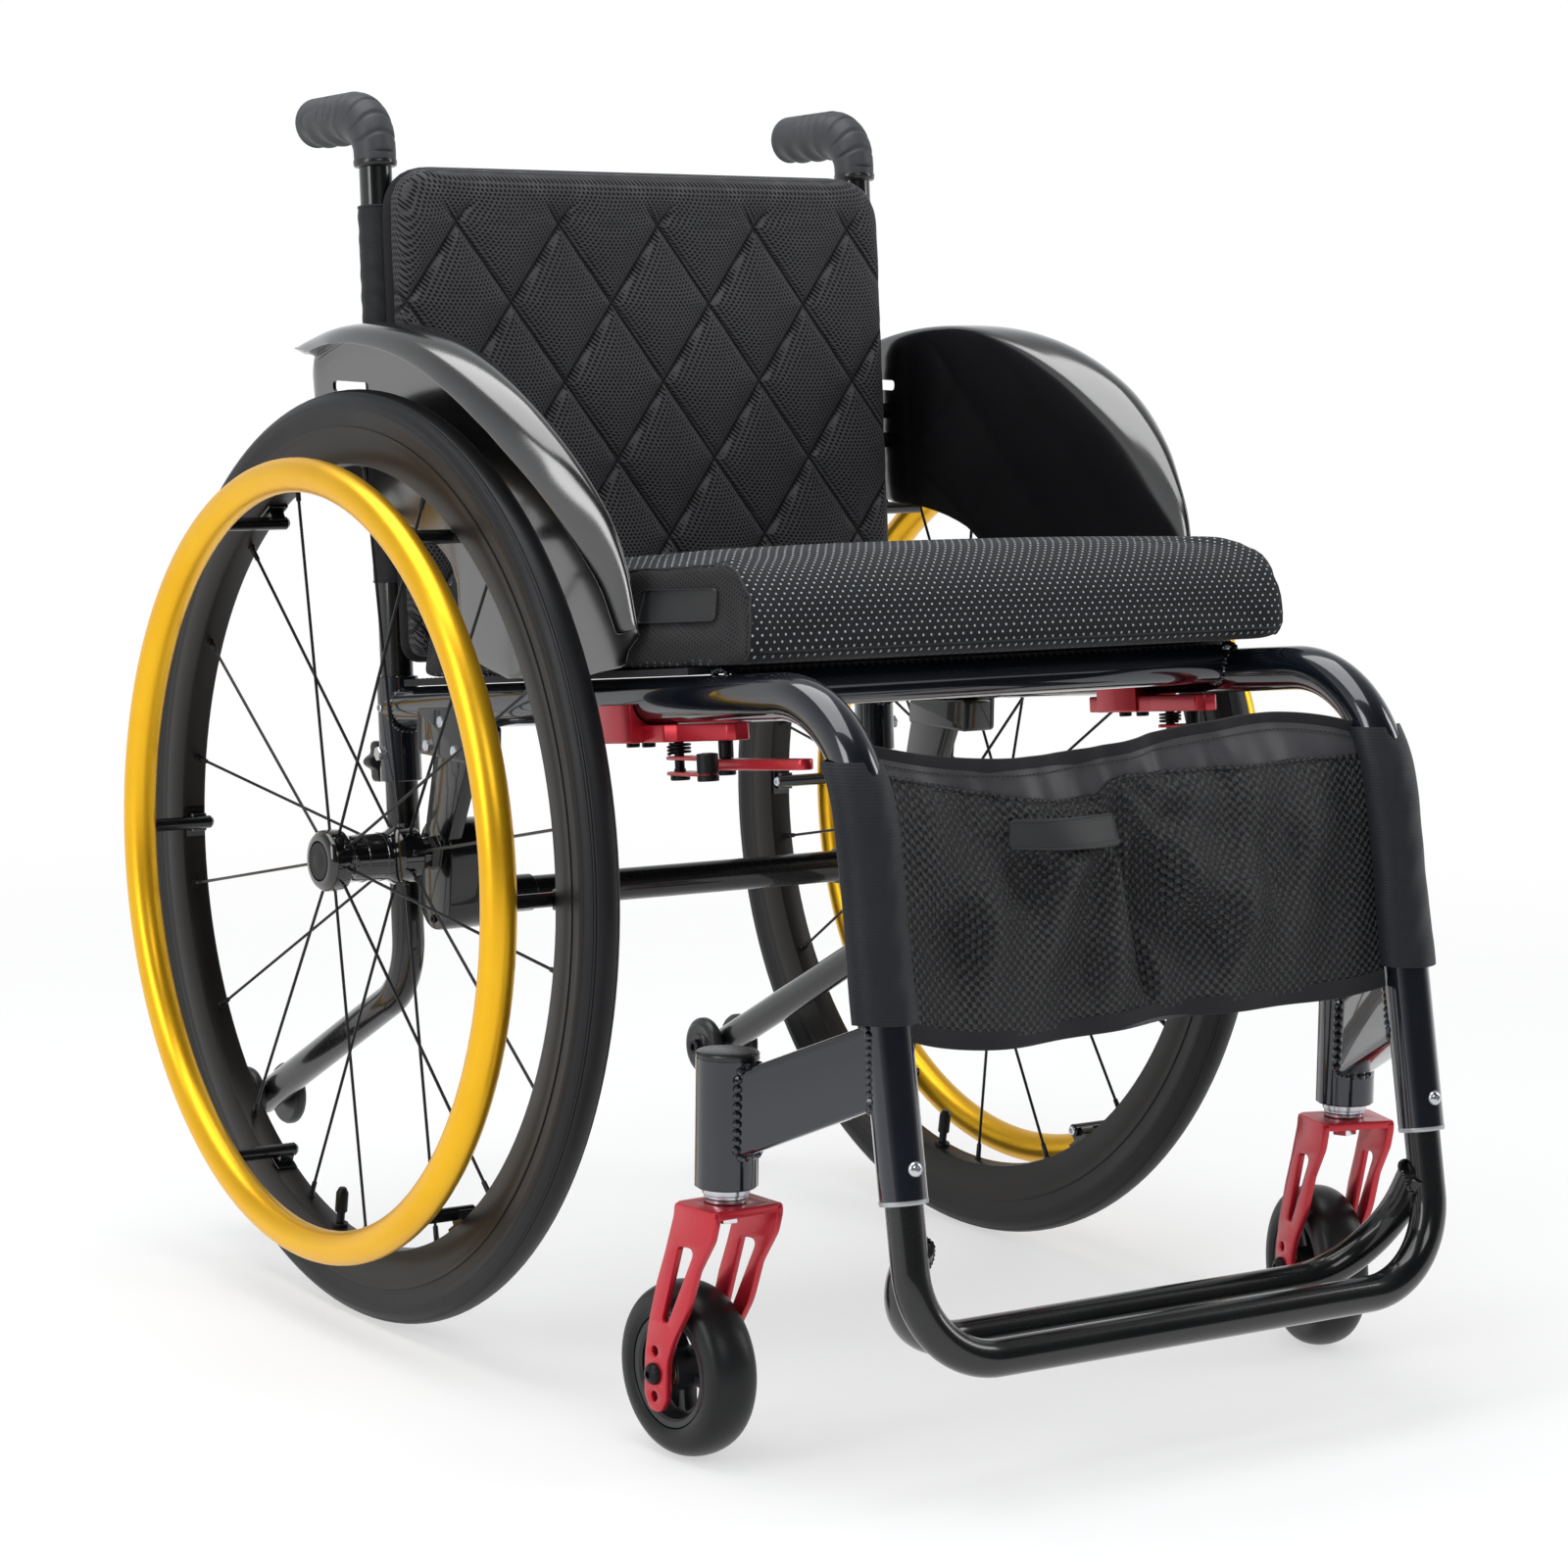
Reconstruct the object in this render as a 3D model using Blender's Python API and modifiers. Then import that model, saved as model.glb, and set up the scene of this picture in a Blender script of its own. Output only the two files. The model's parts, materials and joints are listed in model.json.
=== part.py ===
"""A lightweight manual wheelchair with a fixed frame, at its real size in metres.

The chair stands on z = 0 and faces -Y, and its middle plane is x = 0. Each named object is one
piece. Pieces that come in pairs are shaped for the sitter's right side, at -X, and mirrored.
"""

import math

import bmesh
import bpy
import numpy as np
from mathutils import Matrix, Vector

# Clearance between pieces that touch or slide on each other.
GAP = 0.0003

# Frame: half the distance between the side frames, the tubes that slide inside, and the wall of
# the main tubes round them.
FRAME_HALF = 0.1945
INNER_R = 0.0110
TUBE_WALL = 0.0030
TUBE_R = INNER_R + TUBE_WALL
AXLE_DROP = 0.0965
RAIL_SLOPE = math.radians(6.43)
RECLINE = math.radians(5.41)
FRONT_LEAN = math.radians(11.03)
CORNER_Y = -0.4773
CORNER_BEND = 0.080
DOWN_END_Z = 0.175
RECEIVER_Y = 0.0568
RECEIVER_UP = 0.0215
RECEIVER_DOWN = 0.0485
CROSS_TUBE_R = 0.0125
CROSS_TUBE_Y = -0.338

# Rear wheels.
WHEEL_R = 0.305
WHEEL_OUT = 0.0548
WHEEL_STEPS = 32
TYRE_HALF = 0.0130
TYRE_DEPTH = 0.0235
RIM_DEPTH = 0.0255
RIM_HALF = 0.0118
SPOKES = 18
SPOKE_R = 0.0012
SPOKE_START = math.radians(11.4)
PUSHRIM_INSET = 0.0055
PUSHRIM_TUBE_R = 0.0112
PUSHRIM_OUT = 0.0443
STANDOFFS = 6
STANDOFF_R = 0.0045
STANDOFF_START = math.radians(1.6)
STANDOFF_IN = 0.0093
AXLE_R = 0.00635
BUTTON_R = 0.0128
HUB_FACE = 0.0347

# Crossbar between the axle carriers, placed outboard of the side frame's middle plane.
CROSSBAR_R = 0.0110
CROSSBAR_DROP = 0.032
CROSSBAR_COLLAR_R = 0.0125
CROSSBAR_COLLAR = -0.0695
CARRIER_IN = -0.0325
CARRIER_OUT = 0.0035
NUT_OUT = 0.0112

# Casters.
CASTER_R = 0.052
CASTER_HALF = 0.0165
CASTER_OUT = 0.042
CASTER_Y = -0.415
CASTER_TRAIL = 0.034
RIGHT_CASTER_TURN = math.radians(4)
LEFT_CASTER_TURN = math.radians(-16.5)
CASTER_HUB_R = 0.034
CASTER_STEPS = 16
FORK_RISE = 0.054
FORK_INNER = 0.040
FORK_WALL = 0.005
FORK_PLATE = 0.005
HOUSING_R = 0.0185
HOUSING_GAP = 0.009
HOUSING_TALL = 0.0795
ARM_RISE = 0.0866
ARM_TALL = 0.0500
STEM_R = 0.006
CASTER_BOLT_R = 0.004

# Footrest.
FOOT_BAR_Z = 0.0835
FOOT_BEND = 0.055
FOOT_INSERT = 0.115
FOOT_TRAVEL_UP = 0.012
HEEL_BAR_R = 0.0105
HEEL_BAR_BACK = 0.052
HEEL_BAR_DROP = 0.002
HEEL_BAR_RISE = 0.068
HEEL_BAR_BEND = 0.062

# Back, grips and anti-tippers.
BACK_TOP = 0.3535
GRIP_END_Y = 0.179
CANE_END_Y = 0.160
GRIP_BEND = 0.026
GRIP_R = 0.0178
GRIP_COLLAR_R = 0.0140
SLEEVE_WALL = 0.0015
TIPPER_TURN_DROP = 0.1907
TIPPER_END = (0.257, 0.0925)
TIPPER_BEND = 0.050
TIPPER_WHEEL_R = 0.022
TIPPER_WHEEL_WIDE = 0.011
TIPPER_BOLT_R = 0.004

# Seat and back upholstery, calf pouch and side guards.
SLING_THICK = 0.005
SEAT_FRONT = -0.385
SEAT_REAR = 0.013
CUSHION_THICK = 0.066
CUSHION_CROWN = 0.006
CUSHION_MARGIN = 0.0125
WATERFALL = 0.055
BACK_THICK = 0.024
POUCH_WALL = 0.0016
POUCH_OVER_ARM = 0.0214
GUARD_WALL = 0.0025
GUARD_CLEAR = 0.005
GUARD_BOLT_DROPS = (0.020, 0.041)

# Brakes, measured in the plane under the rail.
BRAKE_BAR_THICK = 0.0105
BRAKE_A = (-0.0045, 0.2849)
BRAKE_B = (-0.0151, 0.3203)
BRAKE_ARM = 0.055
BRAKE_REST = math.radians(15)
BRAKE_PLATE = 0.0022
BRAKE_LEVER_THICK = 0.0065
BRAKE_SPRING_TALL = 0.0080
BRAKE_ROLLER_R = 0.0065

# Heights and lines that follow from the sizes above.
AXLE_Z = WHEEL_R
RAIL_Z = WHEEL_R + AXLE_DROP
WHEEL_X = FRAME_HALF + WHEEL_OUT
CASTER_X = FRAME_HALF + CASTER_OUT
GUARD_X = FRAME_HALF + TUBE_R + GUARD_CLEAR
RIM_TOP = WHEEL_R - TYRE_DEPTH
RIM_IN = RIM_TOP - RIM_DEPTH
PUSHRIM_R = RIM_IN - PUSHRIM_INSET


def rail_z(y):
    """Height of the seat rail's centre line."""
    return RAIL_Z - math.tan(RAIL_SLOPE) * y


CORNER_Z = rail_z(CORNER_Y)
RECEIVER_Z = rail_z(RECEIVER_Y)


def cane_y(z):
    """The reclined line that the receiver, the cane and the anti-tipper's top share."""
    return RECEIVER_Y + math.tan(RECLINE) * (z - RECEIVER_Z)


def front_y(z):
    """The leaning line of the down tube and the footrest leg."""
    return CORNER_Y + math.tan(FRONT_LEAN) * (z - CORNER_Z)


FRONT_REACH = -front_y(FOOT_BAR_Z) + INNER_R
RAIL_AXIS = Vector((0, -math.cos(RAIL_SLOPE), math.sin(RAIL_SLOPE)))
RAIL_UP = Vector((0, math.sin(RAIL_SLOPE), math.cos(RAIL_SLOPE)))
LEG_FRONT = Vector((0, -math.cos(FRONT_LEAN), math.sin(FRONT_LEAN)))
CANE_BACK = Vector((0, math.cos(RECLINE), -math.sin(RECLINE)))

for old in list(bpy.data.objects):
    bpy.data.objects.remove(old)

PARTS = bpy.data.collections.new("lightweight_wheelchair")
CUTTERS = bpy.data.collections.new("cutters")
bpy.context.scene.collection.children.link(PARTS)
bpy.context.scene.collection.children.link(CUTTERS)

# The rear axle lies behind the middle of the chair's footprint, which is the origin.
chair = bpy.data.objects.new("rear_axle_line", None)
chair.location = (0, (FRONT_REACH - WHEEL_R) / 2, 0)
PARTS.objects.link(chair)

# Colour, roughness and metallic value of each finish.
FINISHES = {
    "navy_lacquer": ((0.010, 0.012, 0.026), 0.15, 0.35),
    "black_lacquer": ((0.010, 0.010, 0.012), 0.18, 0.20),
    "red_anodised": ((0.420, 0.012, 0.014), 0.30, 0.85),
    "gold_anodised": ((0.560, 0.400, 0.090), 0.32, 0.90),
    "dark_anodised": ((0.030, 0.026, 0.024), 0.35, 0.80),
    "steel": ((0.620, 0.620, 0.600), 0.25, 1.00),
    "tyre_rubber": ((0.018, 0.018, 0.018), 0.80, 0.00),
    "grip_rubber": ((0.090, 0.092, 0.095), 0.60, 0.00),
    "black_plastic": ((0.016, 0.016, 0.018), 0.45, 0.00),
    "black_fabric": ((0.020, 0.020, 0.022), 0.90, 0.00),
}


def add_piece(name, mesh, finish, origin=(0, 0, 0)):
    """Adds a finished piece, with its own material and its origin at the given point."""
    origin = Vector(origin)
    mesh.transform(Matrix.Translation(-origin))
    mesh.name = name
    mesh.shade_smooth()
    mesh.set_sharp_from_angle(angle=math.radians(35))
    colour, roughness, metallic = FINISHES[finish]
    material = bpy.data.materials.new(f"{name}_{finish}")
    material.use_nodes = True
    shader = material.node_tree.nodes["Principled BSDF"]
    shader.inputs["Base Color"].default_value = (*colour, 1)
    shader.inputs["Roughness"].default_value = roughness
    shader.inputs["Metallic"].default_value = metallic
    material.diffuse_color = (*colour, 1)
    mesh.materials.append(material)
    added = bpy.data.objects.new(name, mesh)
    added.location = origin
    added.parent = chair
    PARTS.objects.link(added)
    return added


def add_pair(name, mesh, finish, origin=(0, 0, 0)):
    """Adds the right-hand piece and its mirror image on the left."""
    twin = mesh.copy()
    twin.transform(Matrix.Scale(-1, 4, (1, 0, 0)))
    twin.flip_normals()
    add_piece(f"right_{name}", mesh, finish, origin)
    add_piece(f"left_{name}", twin, finish, (-origin[0], origin[1], origin[2]))


def add_cutter(data):
    """Adds an object that only shapes others."""
    cutter = bpy.data.objects.new("cutter", data)
    cutter.hide_render = True
    cutter.display_type = "WIRE"
    CUTTERS.objects.link(cutter)
    return cutter


def face_out(form):
    """Points the faces of a closed form out."""
    bmesh.ops.recalc_face_normals(form, faces=form.faces)
    if form.calc_volume(signed=True) < 0:
        bmesh.ops.reverse_faces(form, faces=form.faces)


def weld(mesh, distance=2e-6):
    """Welds doubled points, drops collapsed faces and points the rest out."""
    form = bmesh.new()
    form.from_mesh(mesh)
    bmesh.ops.remove_doubles(form, verts=form.verts, dist=distance)
    bmesh.ops.dissolve_degenerate(form, edges=form.edges, dist=distance / 2)
    face_out(form)
    form.to_mesh(mesh)
    form.free()


def evaluated(holder):
    """The mesh that an object's curve or modifiers make. The object is removed."""
    graph = bpy.context.evaluated_depsgraph_get()
    mesh = bpy.data.meshes.new_from_object(holder.evaluated_get(graph))
    weld(mesh)
    bpy.data.objects.remove(holder)
    return mesh


def shaped(first, joined=(), removed=()):
    """One mesh with others joined to it and then others cut out of it."""
    body = add_cutter(first)
    tools = []
    for operation, group in (("UNION", joined), ("DIFFERENCE", removed)):
        for other in group:
            tools.append(add_cutter(other))
            step = body.modifiers.new(operation.title(), "BOOLEAN")
            step.operation = operation
            step.object = tools[-1]
    mesh = evaluated(body)
    for tool in tools:
        bpy.data.objects.remove(tool)
    return mesh


def from_form(form, matrix=None):
    """Turns a bmesh into a mesh with its faces pointing out."""
    if matrix is not None:
        bmesh.ops.transform(form, matrix=matrix, verts=form.verts)
    face_out(form)
    mesh = bpy.data.meshes.new("shape")
    form.to_mesh(mesh)
    form.free()
    return mesh


def aimed(place, direction, turn=0.0):
    """A matrix that stands local Z along a direction, turned about it first."""
    stand = Vector(direction).to_track_quat("Z", "Y").to_matrix().to_4x4()
    return Matrix.Translation(place) @ stand @ Matrix.Rotation(turn, 4, "Z")


def rod(start, end, radius, sides=12, end_radius=None):
    """A solid cylinder or cone between two points."""
    start = Vector(start)
    end = Vector(end)
    form = bmesh.new()
    bmesh.ops.create_cone(
        form,
        cap_ends=True,
        segments=sides,
        radius1=radius,
        radius2=radius if end_radius is None else end_radius,
        depth=(end - start).length,
    )
    return from_form(form, aimed((start + end) / 2, end - start, math.pi / sides))


def bore(start, end, radius, sides=12):
    """A cylinder to cut with, whose flats lie at the given radius."""
    return rod(start, end, radius / math.cos(math.pi / sides), sides)


def block(x, y, z):
    """A box between two values on each axis."""
    form = bmesh.new()
    bmesh.ops.create_cube(form, size=1)
    size = Matrix.Diagonal((abs(x[1] - x[0]), abs(y[1] - y[0]), abs(z[1] - z[0]), 1))
    middle = Matrix.Translation((sum(x) / 2, sum(y) / 2, sum(z) / 2))
    return from_form(form, middle @ size)


def turned(profile, steps, centre, direction, ring=False):
    """Turns points (along, radius), listed down the outer side, about a line through centre.

    A ring's flats lie at the given radii, and one faces straight down. A pin's corners do.
    """
    grow = 1 / math.cos(math.pi / steps) if ring else 1
    mesh = bpy.data.meshes.new("profile")
    points = [(radius * grow, 0, along) for along, radius in profile]
    edges = [(i, i + 1) for i in range(len(points) - 1)]
    if ring:
        edges.append((len(points) - 1, 0))
    mesh.from_pydata(points, edges, [])
    holder = add_cutter(mesh)
    screw = holder.modifiers.new("Screw", "SCREW")
    screw.axis = "Z"
    screw.steps = steps
    screw.render_steps = steps
    screw.use_merge_vertices = True
    screw.merge_threshold = 0.00001
    mesh = evaluated(holder)
    mesh.transform(aimed(centre, direction, math.pi / steps))
    return mesh


def tube(points, radius, resolution=4, sizes=None):
    """A round tube or wire along points, with closed ends."""
    curve = bpy.data.curves.new("tube", "CURVE")
    curve.dimensions = "3D"
    curve.bevel_depth = radius
    curve.bevel_resolution = resolution
    curve.use_fill_caps = True
    line = curve.splines.new("POLY")
    line.points.add(len(points) - 1)
    for index, place in enumerate(points):
        line.points[index].co = (*place, 1)
        if sizes:
            line.points[index].radius = sizes[index] / radius
    return evaluated(add_cutter(curve))


def plate(outlines, low, high, matrix):
    """A flat plate from closed outlines, between two values of local Z."""
    curve = bpy.data.curves.new("plate", "CURVE")
    curve.dimensions = "2D"
    curve.fill_mode = "BOTH"
    curve.extrude = (high - low) / 2
    for outline in outlines:
        line = curve.splines.new("POLY")
        line.points.add(len(outline) - 1)
        line.use_cyclic_u = True
        for index, (u, v) in enumerate(outline):
            line.points[index].co = (u, v, 0, 1)
    mesh = evaluated(add_cutter(curve))
    mesh.transform(matrix @ Matrix.Translation((0, 0, (high + low) / 2)))
    return mesh


def circle(u, v, radius, sides=16, start=0.0, sweep=2 * math.pi):
    """Points on a circle, or on part of one."""
    whole = abs(sweep - 2 * math.pi) < 1e-6
    count = sides if whole else sides + 1
    angles = [start + sweep * k / sides for k in range(count)]
    return [(u + radius * math.cos(a), v + radius * math.sin(a)) for a in angles]


def link(a, b, radius_a, radius_b, sides=6):
    """An outline with a round end at each of two points."""
    heading = math.atan2(b[1] - a[1], b[0] - a[0])
    far = circle(b[0], b[1], radius_b, sides, heading - math.pi / 2, math.pi)
    near = circle(a[0], a[1], radius_a, sides, heading + math.pi / 2, math.pi)
    return far + near


def bent(corners, radius, steps=6):
    """Points along straight runs joined by round bends."""
    corners = [Vector(corner) for corner in corners]
    path = [corners[0]]
    for before, corner, after in zip(corners, corners[1:], corners[2:]):
        arrive = (corner - before).normalized()
        leave = (after - corner).normalized()
        turn = arrive.angle(leave)
        start = corner - arrive * radius * math.tan(turn / 2)
        centre = corner + (leave - arrive).normalized() * radius / math.cos(turn / 2)
        axis = arrive.cross(leave).normalized()
        for k in range(steps + 1):
            path.append(centre + Matrix.Rotation(turn * k / steps, 3, axis) @ (start - centre))
    path.append(corners[-1])
    return path


def grid_form(columns, rows, place, thick):
    """A sheet of cells placed by a function of (u, v, layer), with a second layer if thick."""
    form = bmesh.new()
    bmesh.ops.create_grid(form, x_segments=columns, y_segments=rows, size=0.5)
    upper = set()
    if thick:
        made = bmesh.ops.extrude_face_region(form, geom=list(form.faces), use_keep_orig=True)
        upper = {item for item in made["geom"] if isinstance(item, bmesh.types.BMVert)}
    for vert in form.verts:
        vert.co = place(vert.co.x + 0.5, vert.co.y + 0.5, 1 if vert in upper else 0)
    return form


# Local frames for plates: the side view, and the plane under the right rail.
SIDE_VIEW = Matrix(((0, 0, 1, 0), (1, 0, 0, 0), (0, 1, 0, 0), (0, 0, 0, 1)))
UNDER_RAIL = Matrix(
    (
        (-1, 0, 0, -FRAME_HALF),
        (0, RAIL_AXIS.y, RAIL_UP.y, 0),
        (0, RAIL_AXIS.z, RAIL_UP.z, RAIL_Z),
        (0, 0, 0, 1),
    )
)


def on_right(out, y, z):
    """A point on the right side, at a distance out from the middle plane."""
    return Vector((-out, y, z))


def under_rail(out, forward, up):
    """A point given outboard of, along and above the right rail's centre line."""
    return UNDER_RAIL @ Vector((out, forward, up))


def rail_path(rear_y):
    """Centre line of the right rail, its corner and its down tube."""
    corners = [
        on_right(FRAME_HALF, rear_y, rail_z(rear_y)),
        on_right(FRAME_HALF, CORNER_Y, CORNER_Z),
        on_right(FRAME_HALF, front_y(DOWN_END_Z), DOWN_END_Z),
    ]
    return bent(corners, CORNER_BEND, 6)


def rail_bore(rear_y, front_rail_y, radius):
    """A straight cutter round the right rail."""
    return bore(
        on_right(FRAME_HALF, rear_y, rail_z(rear_y)),
        on_right(FRAME_HALF, front_rail_y, rail_z(front_rail_y)),
        radius,
        16,
    )


def on_cane(z, back=0.0):
    """A point on the right cane's line, or square behind it."""
    return on_right(FRAME_HALF, cane_y(z), z) + CANE_BACK * back


def on_leg(z):
    """A point on the right down tube's line."""
    return on_right(FRAME_HALF, front_y(z), z)


# Heights round the receiver.
RECEIVER_TOP = RECEIVER_Z + RECEIVER_UP
RECEIVER_LOW = RECEIVER_Z - RECEIVER_DOWN
CANE_FOOT = RECEIVER_Z - 0.0125
TIPPER_HEAD = CANE_FOOT - 0.003
KNOB_Z = RECEIVER_LOW + 0.013
KNOB_STUD_R = 0.0035

# Heights round the caster.
FORK_TOP = 2 * CASTER_R + FORK_RISE
HOUSING_LOW = FORK_TOP + HOUSING_GAP
HOUSING_TOP = HOUSING_LOW + HOUSING_TALL
ARM_Z = HOUSING_LOW + ARM_RISE
STEM_TOP = HOUSING_TOP - 0.0108
LOCK_Z = DOWN_END_Z + 0.019
LOCK_R = 0.0022
FOOT_TOP = DOWN_END_Z + FOOT_INSERT


def tapered_bar(start, end, wide, tall, rounding):
    """A box tube from one end section to another, each with its width and height."""
    start = Vector(start)
    end = Vector(end)
    across = (end - start).cross(Vector((0, 0, 1))).normalized()
    form = bmesh.new()
    bmesh.ops.create_cube(form, size=1)
    long_edges = [edge for edge in form.edges if abs(edge.verts[0].co.x - edge.verts[1].co.x) > 0.5]
    bmesh.ops.bevel(form, geom=long_edges, offset=rounding, segments=1, affect="EDGES")
    for vert in form.verts:
        index = 1 if vert.co.x > 0 else 0
        base = end if index else start
        lift = Vector((0, 0, vert.co.z * tall[index]))
        vert.co = base + across * vert.co.y * wide[index] + lift
    return from_form(form)


def make_side_frame():
    """Rail, corner and down tube in one bent tube, with the rear receiver and the caster arm."""
    receiver = rod(on_cane(RECEIVER_LOW), on_cane(RECEIVER_TOP), TUBE_R, 12)
    axis_low = on_right(CASTER_X, CASTER_Y, HOUSING_LOW)
    axis_top = on_right(CASTER_X, CASTER_Y, HOUSING_TOP)
    housing = rod(axis_low, axis_top, HOUSING_R, 14)
    arm = tapered_bar(
        on_leg(ARM_Z),
        on_right(CASTER_X, CASTER_Y, HOUSING_LOW + 0.0385),
        (0.024, 0.022),
        (ARM_TALL, 0.0520),
        0.18,
    )
    bolt_z = RECEIVER_LOW + 0.019
    bolt = rod(
        on_right(FRAME_HALF + TUBE_R - 0.001, cane_y(bolt_z), bolt_z),
        on_right(FRAME_HALF + TUBE_R + 0.004, cane_y(bolt_z), bolt_z),
        0.0045,
        6,
    )
    receiver_bore = bore(on_cane(RECEIVER_LOW - 0.02), on_cane(RECEIVER_TOP + 0.02), INNER_R + GAP, 12)
    leg_top = FOOT_TOP + FOOT_TRAVEL_UP + 0.006
    leg_bore = bore(on_leg(DOWN_END_Z - 0.02), on_leg(leg_top), INNER_R + GAP, 12)
    stem_top = on_right(CASTER_X, CASTER_Y, STEM_TOP + GAP)
    stem_bore = bore(axis_low - Vector((0, 0, 0.02)), stem_top, STEM_R + GAP, 12)
    knob_hole = bore(on_cane(KNOB_Z, 0.002), on_cane(KNOB_Z, TUBE_R + 0.01), KNOB_STUD_R + GAP, 8)
    lock_out = on_leg(LOCK_Z) + LEG_FRONT * (TUBE_R + 0.01)
    lock_hole = bore(on_leg(LOCK_Z), lock_out, LOCK_R + GAP, 8)
    mesh = shaped(
        tube(rail_path(cane_y(RECEIVER_Z)), TUBE_R, 4),
        joined=[receiver, arm, housing, bolt],
        removed=[receiver_bore, leg_bore, stem_bore, knob_hole, lock_hole],
    )
    add_pair("side_frame", mesh, "navy_lacquer")


def make_cross_tube():
    """The straight tube under the front of the seat, coped to the rails."""
    height = rail_z(CROSS_TUBE_Y) + 0.0049
    ends = FRAME_HALF - 0.002
    bar = rod((-ends, CROSS_TUBE_Y, height), (ends, CROSS_TUBE_Y, height), CROSS_TUBE_R, 14)
    right = rail_bore(CROSS_TUBE_Y + 0.05, CROSS_TUBE_Y - 0.05, TUBE_R + GAP)
    left = right.copy()
    left.transform(Matrix.Translation((2 * FRAME_HALF, 0, 0)))
    add_piece("front_cross_tube", shaped(bar, removed=[right, left]), "navy_lacquer")


def wheel_part(profile, steps, ring=False):
    """A piece turned about the right rear axle, its profile measured outboard of the tyre."""
    return turned(profile, steps, on_right(WHEEL_X, 0, AXLE_Z), (-1, 0, 0), ring)


def spoke_ray(angle, out, radius):
    """A point on the right wheel at an angle up from straight ahead."""
    return on_right(WHEEL_X + out, -radius * math.cos(angle), AXLE_Z + radius * math.sin(angle))


def make_wheel():
    """Tyre, rim, hub with its spokes, and pushrim: all turn together on the axle."""
    centre = on_right(WHEEL_X, 0, AXLE_Z)
    seat = RIM_TOP
    bead = RIM_HALF - GAP
    tyre = [
        (TYRE_HALF * 0.42, WHEEL_R),
        (-TYRE_HALF * 0.42, WHEEL_R),
        (-TYRE_HALF, WHEEL_R - 0.0095),
        (-bead, seat + GAP),
        (-bead + 0.003, seat - 0.0030),
        (bead - 0.003, seat - 0.0030),
        (bead, seat + GAP),
        (TYRE_HALF, WHEEL_R - 0.0095),
    ]
    add_pair("tyre", wheel_part(tyre, WHEEL_STEPS, True), "tyre_rubber", centre)
    rim = [
        (RIM_HALF, seat - GAP),
        (RIM_HALF * 0.70, RIM_IN),
        (-RIM_HALF * 0.70, RIM_IN),
        (-RIM_HALF, seat - GAP),
        (-bead + GAP / 2, seat - GAP),
        (-bead + 0.0026, seat - 0.0034),
        (bead - 0.0026, seat - 0.0034),
        (bead - GAP / 2, seat - GAP),
    ]
    rim.reverse()
    add_pair("rim", wheel_part(rim, WHEEL_STEPS, True), "dark_anodised", centre)

    ring = circle(PUSHRIM_OUT, PUSHRIM_R, PUSHRIM_TUBE_R, 6, math.pi / 2)
    pushrim = wheel_part(ring, WHEEL_STEPS, True)
    posts = []
    post_r = RIM_IN - 0.0040 - STANDOFF_R
    for k in range(STANDOFFS):
        # A post across the rim's inner side, with the tab that carries it on the rim.
        angle = STANDOFF_START + 2 * math.pi * k / STANDOFFS
        foot = spoke_ray(angle, -STANDOFF_IN, post_r)
        head = spoke_ray(angle, PUSHRIM_OUT, post_r)
        posts.append(rod(foot, head, STANDOFF_R, 8))
        low = spoke_ray(angle, 0, post_r)
        high = spoke_ray(angle, 0, RIM_IN - GAP)
        posts.append(rod(low, high, 0.0050, 4))
    add_pair("pushrim", shaped(pushrim, joined=posts), "gold_anodised", centre)

    face = HUB_FACE
    bearing = AXLE_R + GAP
    recess = BUTTON_R + 0.0005
    sleeve_end = NUT_OUT + GAP - WHEEL_OUT
    hub = [
        (face, recess),
        (face - 0.0004, 0.0172),
        (face - 0.0034, 0.0202),
        (face - 0.0150, 0.0202),
        (face - 0.0200, 0.0155),
        (-0.0140, 0.0155),
        (-0.0200, 0.0190),
        (-0.0348, 0.0185),
        (-0.0348, 0.0105),
        (sleeve_end, 0.0105),
        (sleeve_end, bearing),
        (face - 0.0140, bearing),
        (face - 0.0140, 0.0103),
        (face - 0.0055, 0.0103),
        (face - 0.0055, recess),
    ]
    shell = wheel_part(hub, 12, True)
    wires = []
    for k in range(SPOKES):
        angle = SPOKE_START + 2 * math.pi * k / SPOKES
        flange_out, flange_r = (0.0230, 0.0165) if k % 2 else (-0.0262, 0.0155)
        rim_out = 0.002 if k % 2 else -0.002
        start = spoke_ray(angle, flange_out, flange_r)
        end = spoke_ray(angle, rim_out, RIM_IN - GAP)
        wires.append(rod(start, end, SPOKE_R, 4))
    add_pair("hub_spokes", shaped(shell, joined=wires), "dark_anodised", centre)

    axle = [
        (face - 0.0062, 0.0098),
        (face - 0.0137, 0.0098),
        (face - 0.0137, AXLE_R),
        (CARRIER_IN - 0.003 - WHEEL_OUT, AXLE_R),
        (CARRIER_IN - 0.005 - WHEEL_OUT, AXLE_R * 0.7),
        (CARRIER_IN - 0.005 - WHEEL_OUT, 0),
    ]
    inner = [(face - 0.026, 0), (face - 0.026, 0.0043), (face - 0.0062, 0.0043)]
    add_pair("quick_release_axle", wheel_part(inner + axle, 12), "steel", centre)

    button = [
        (face + 0.0006, 0),
        (face + 0.0002, 0.0090),
        (face - 0.0010, BUTTON_R),
        (face - 0.0024, BUTTON_R),
        (face - 0.0024, 0.0040),
        (face - 0.0220, 0.0040),
        (face - 0.0220, 0),
    ]
    add_pair("axle_button", wheel_part(button, 12), "black_plastic", centre)


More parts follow.
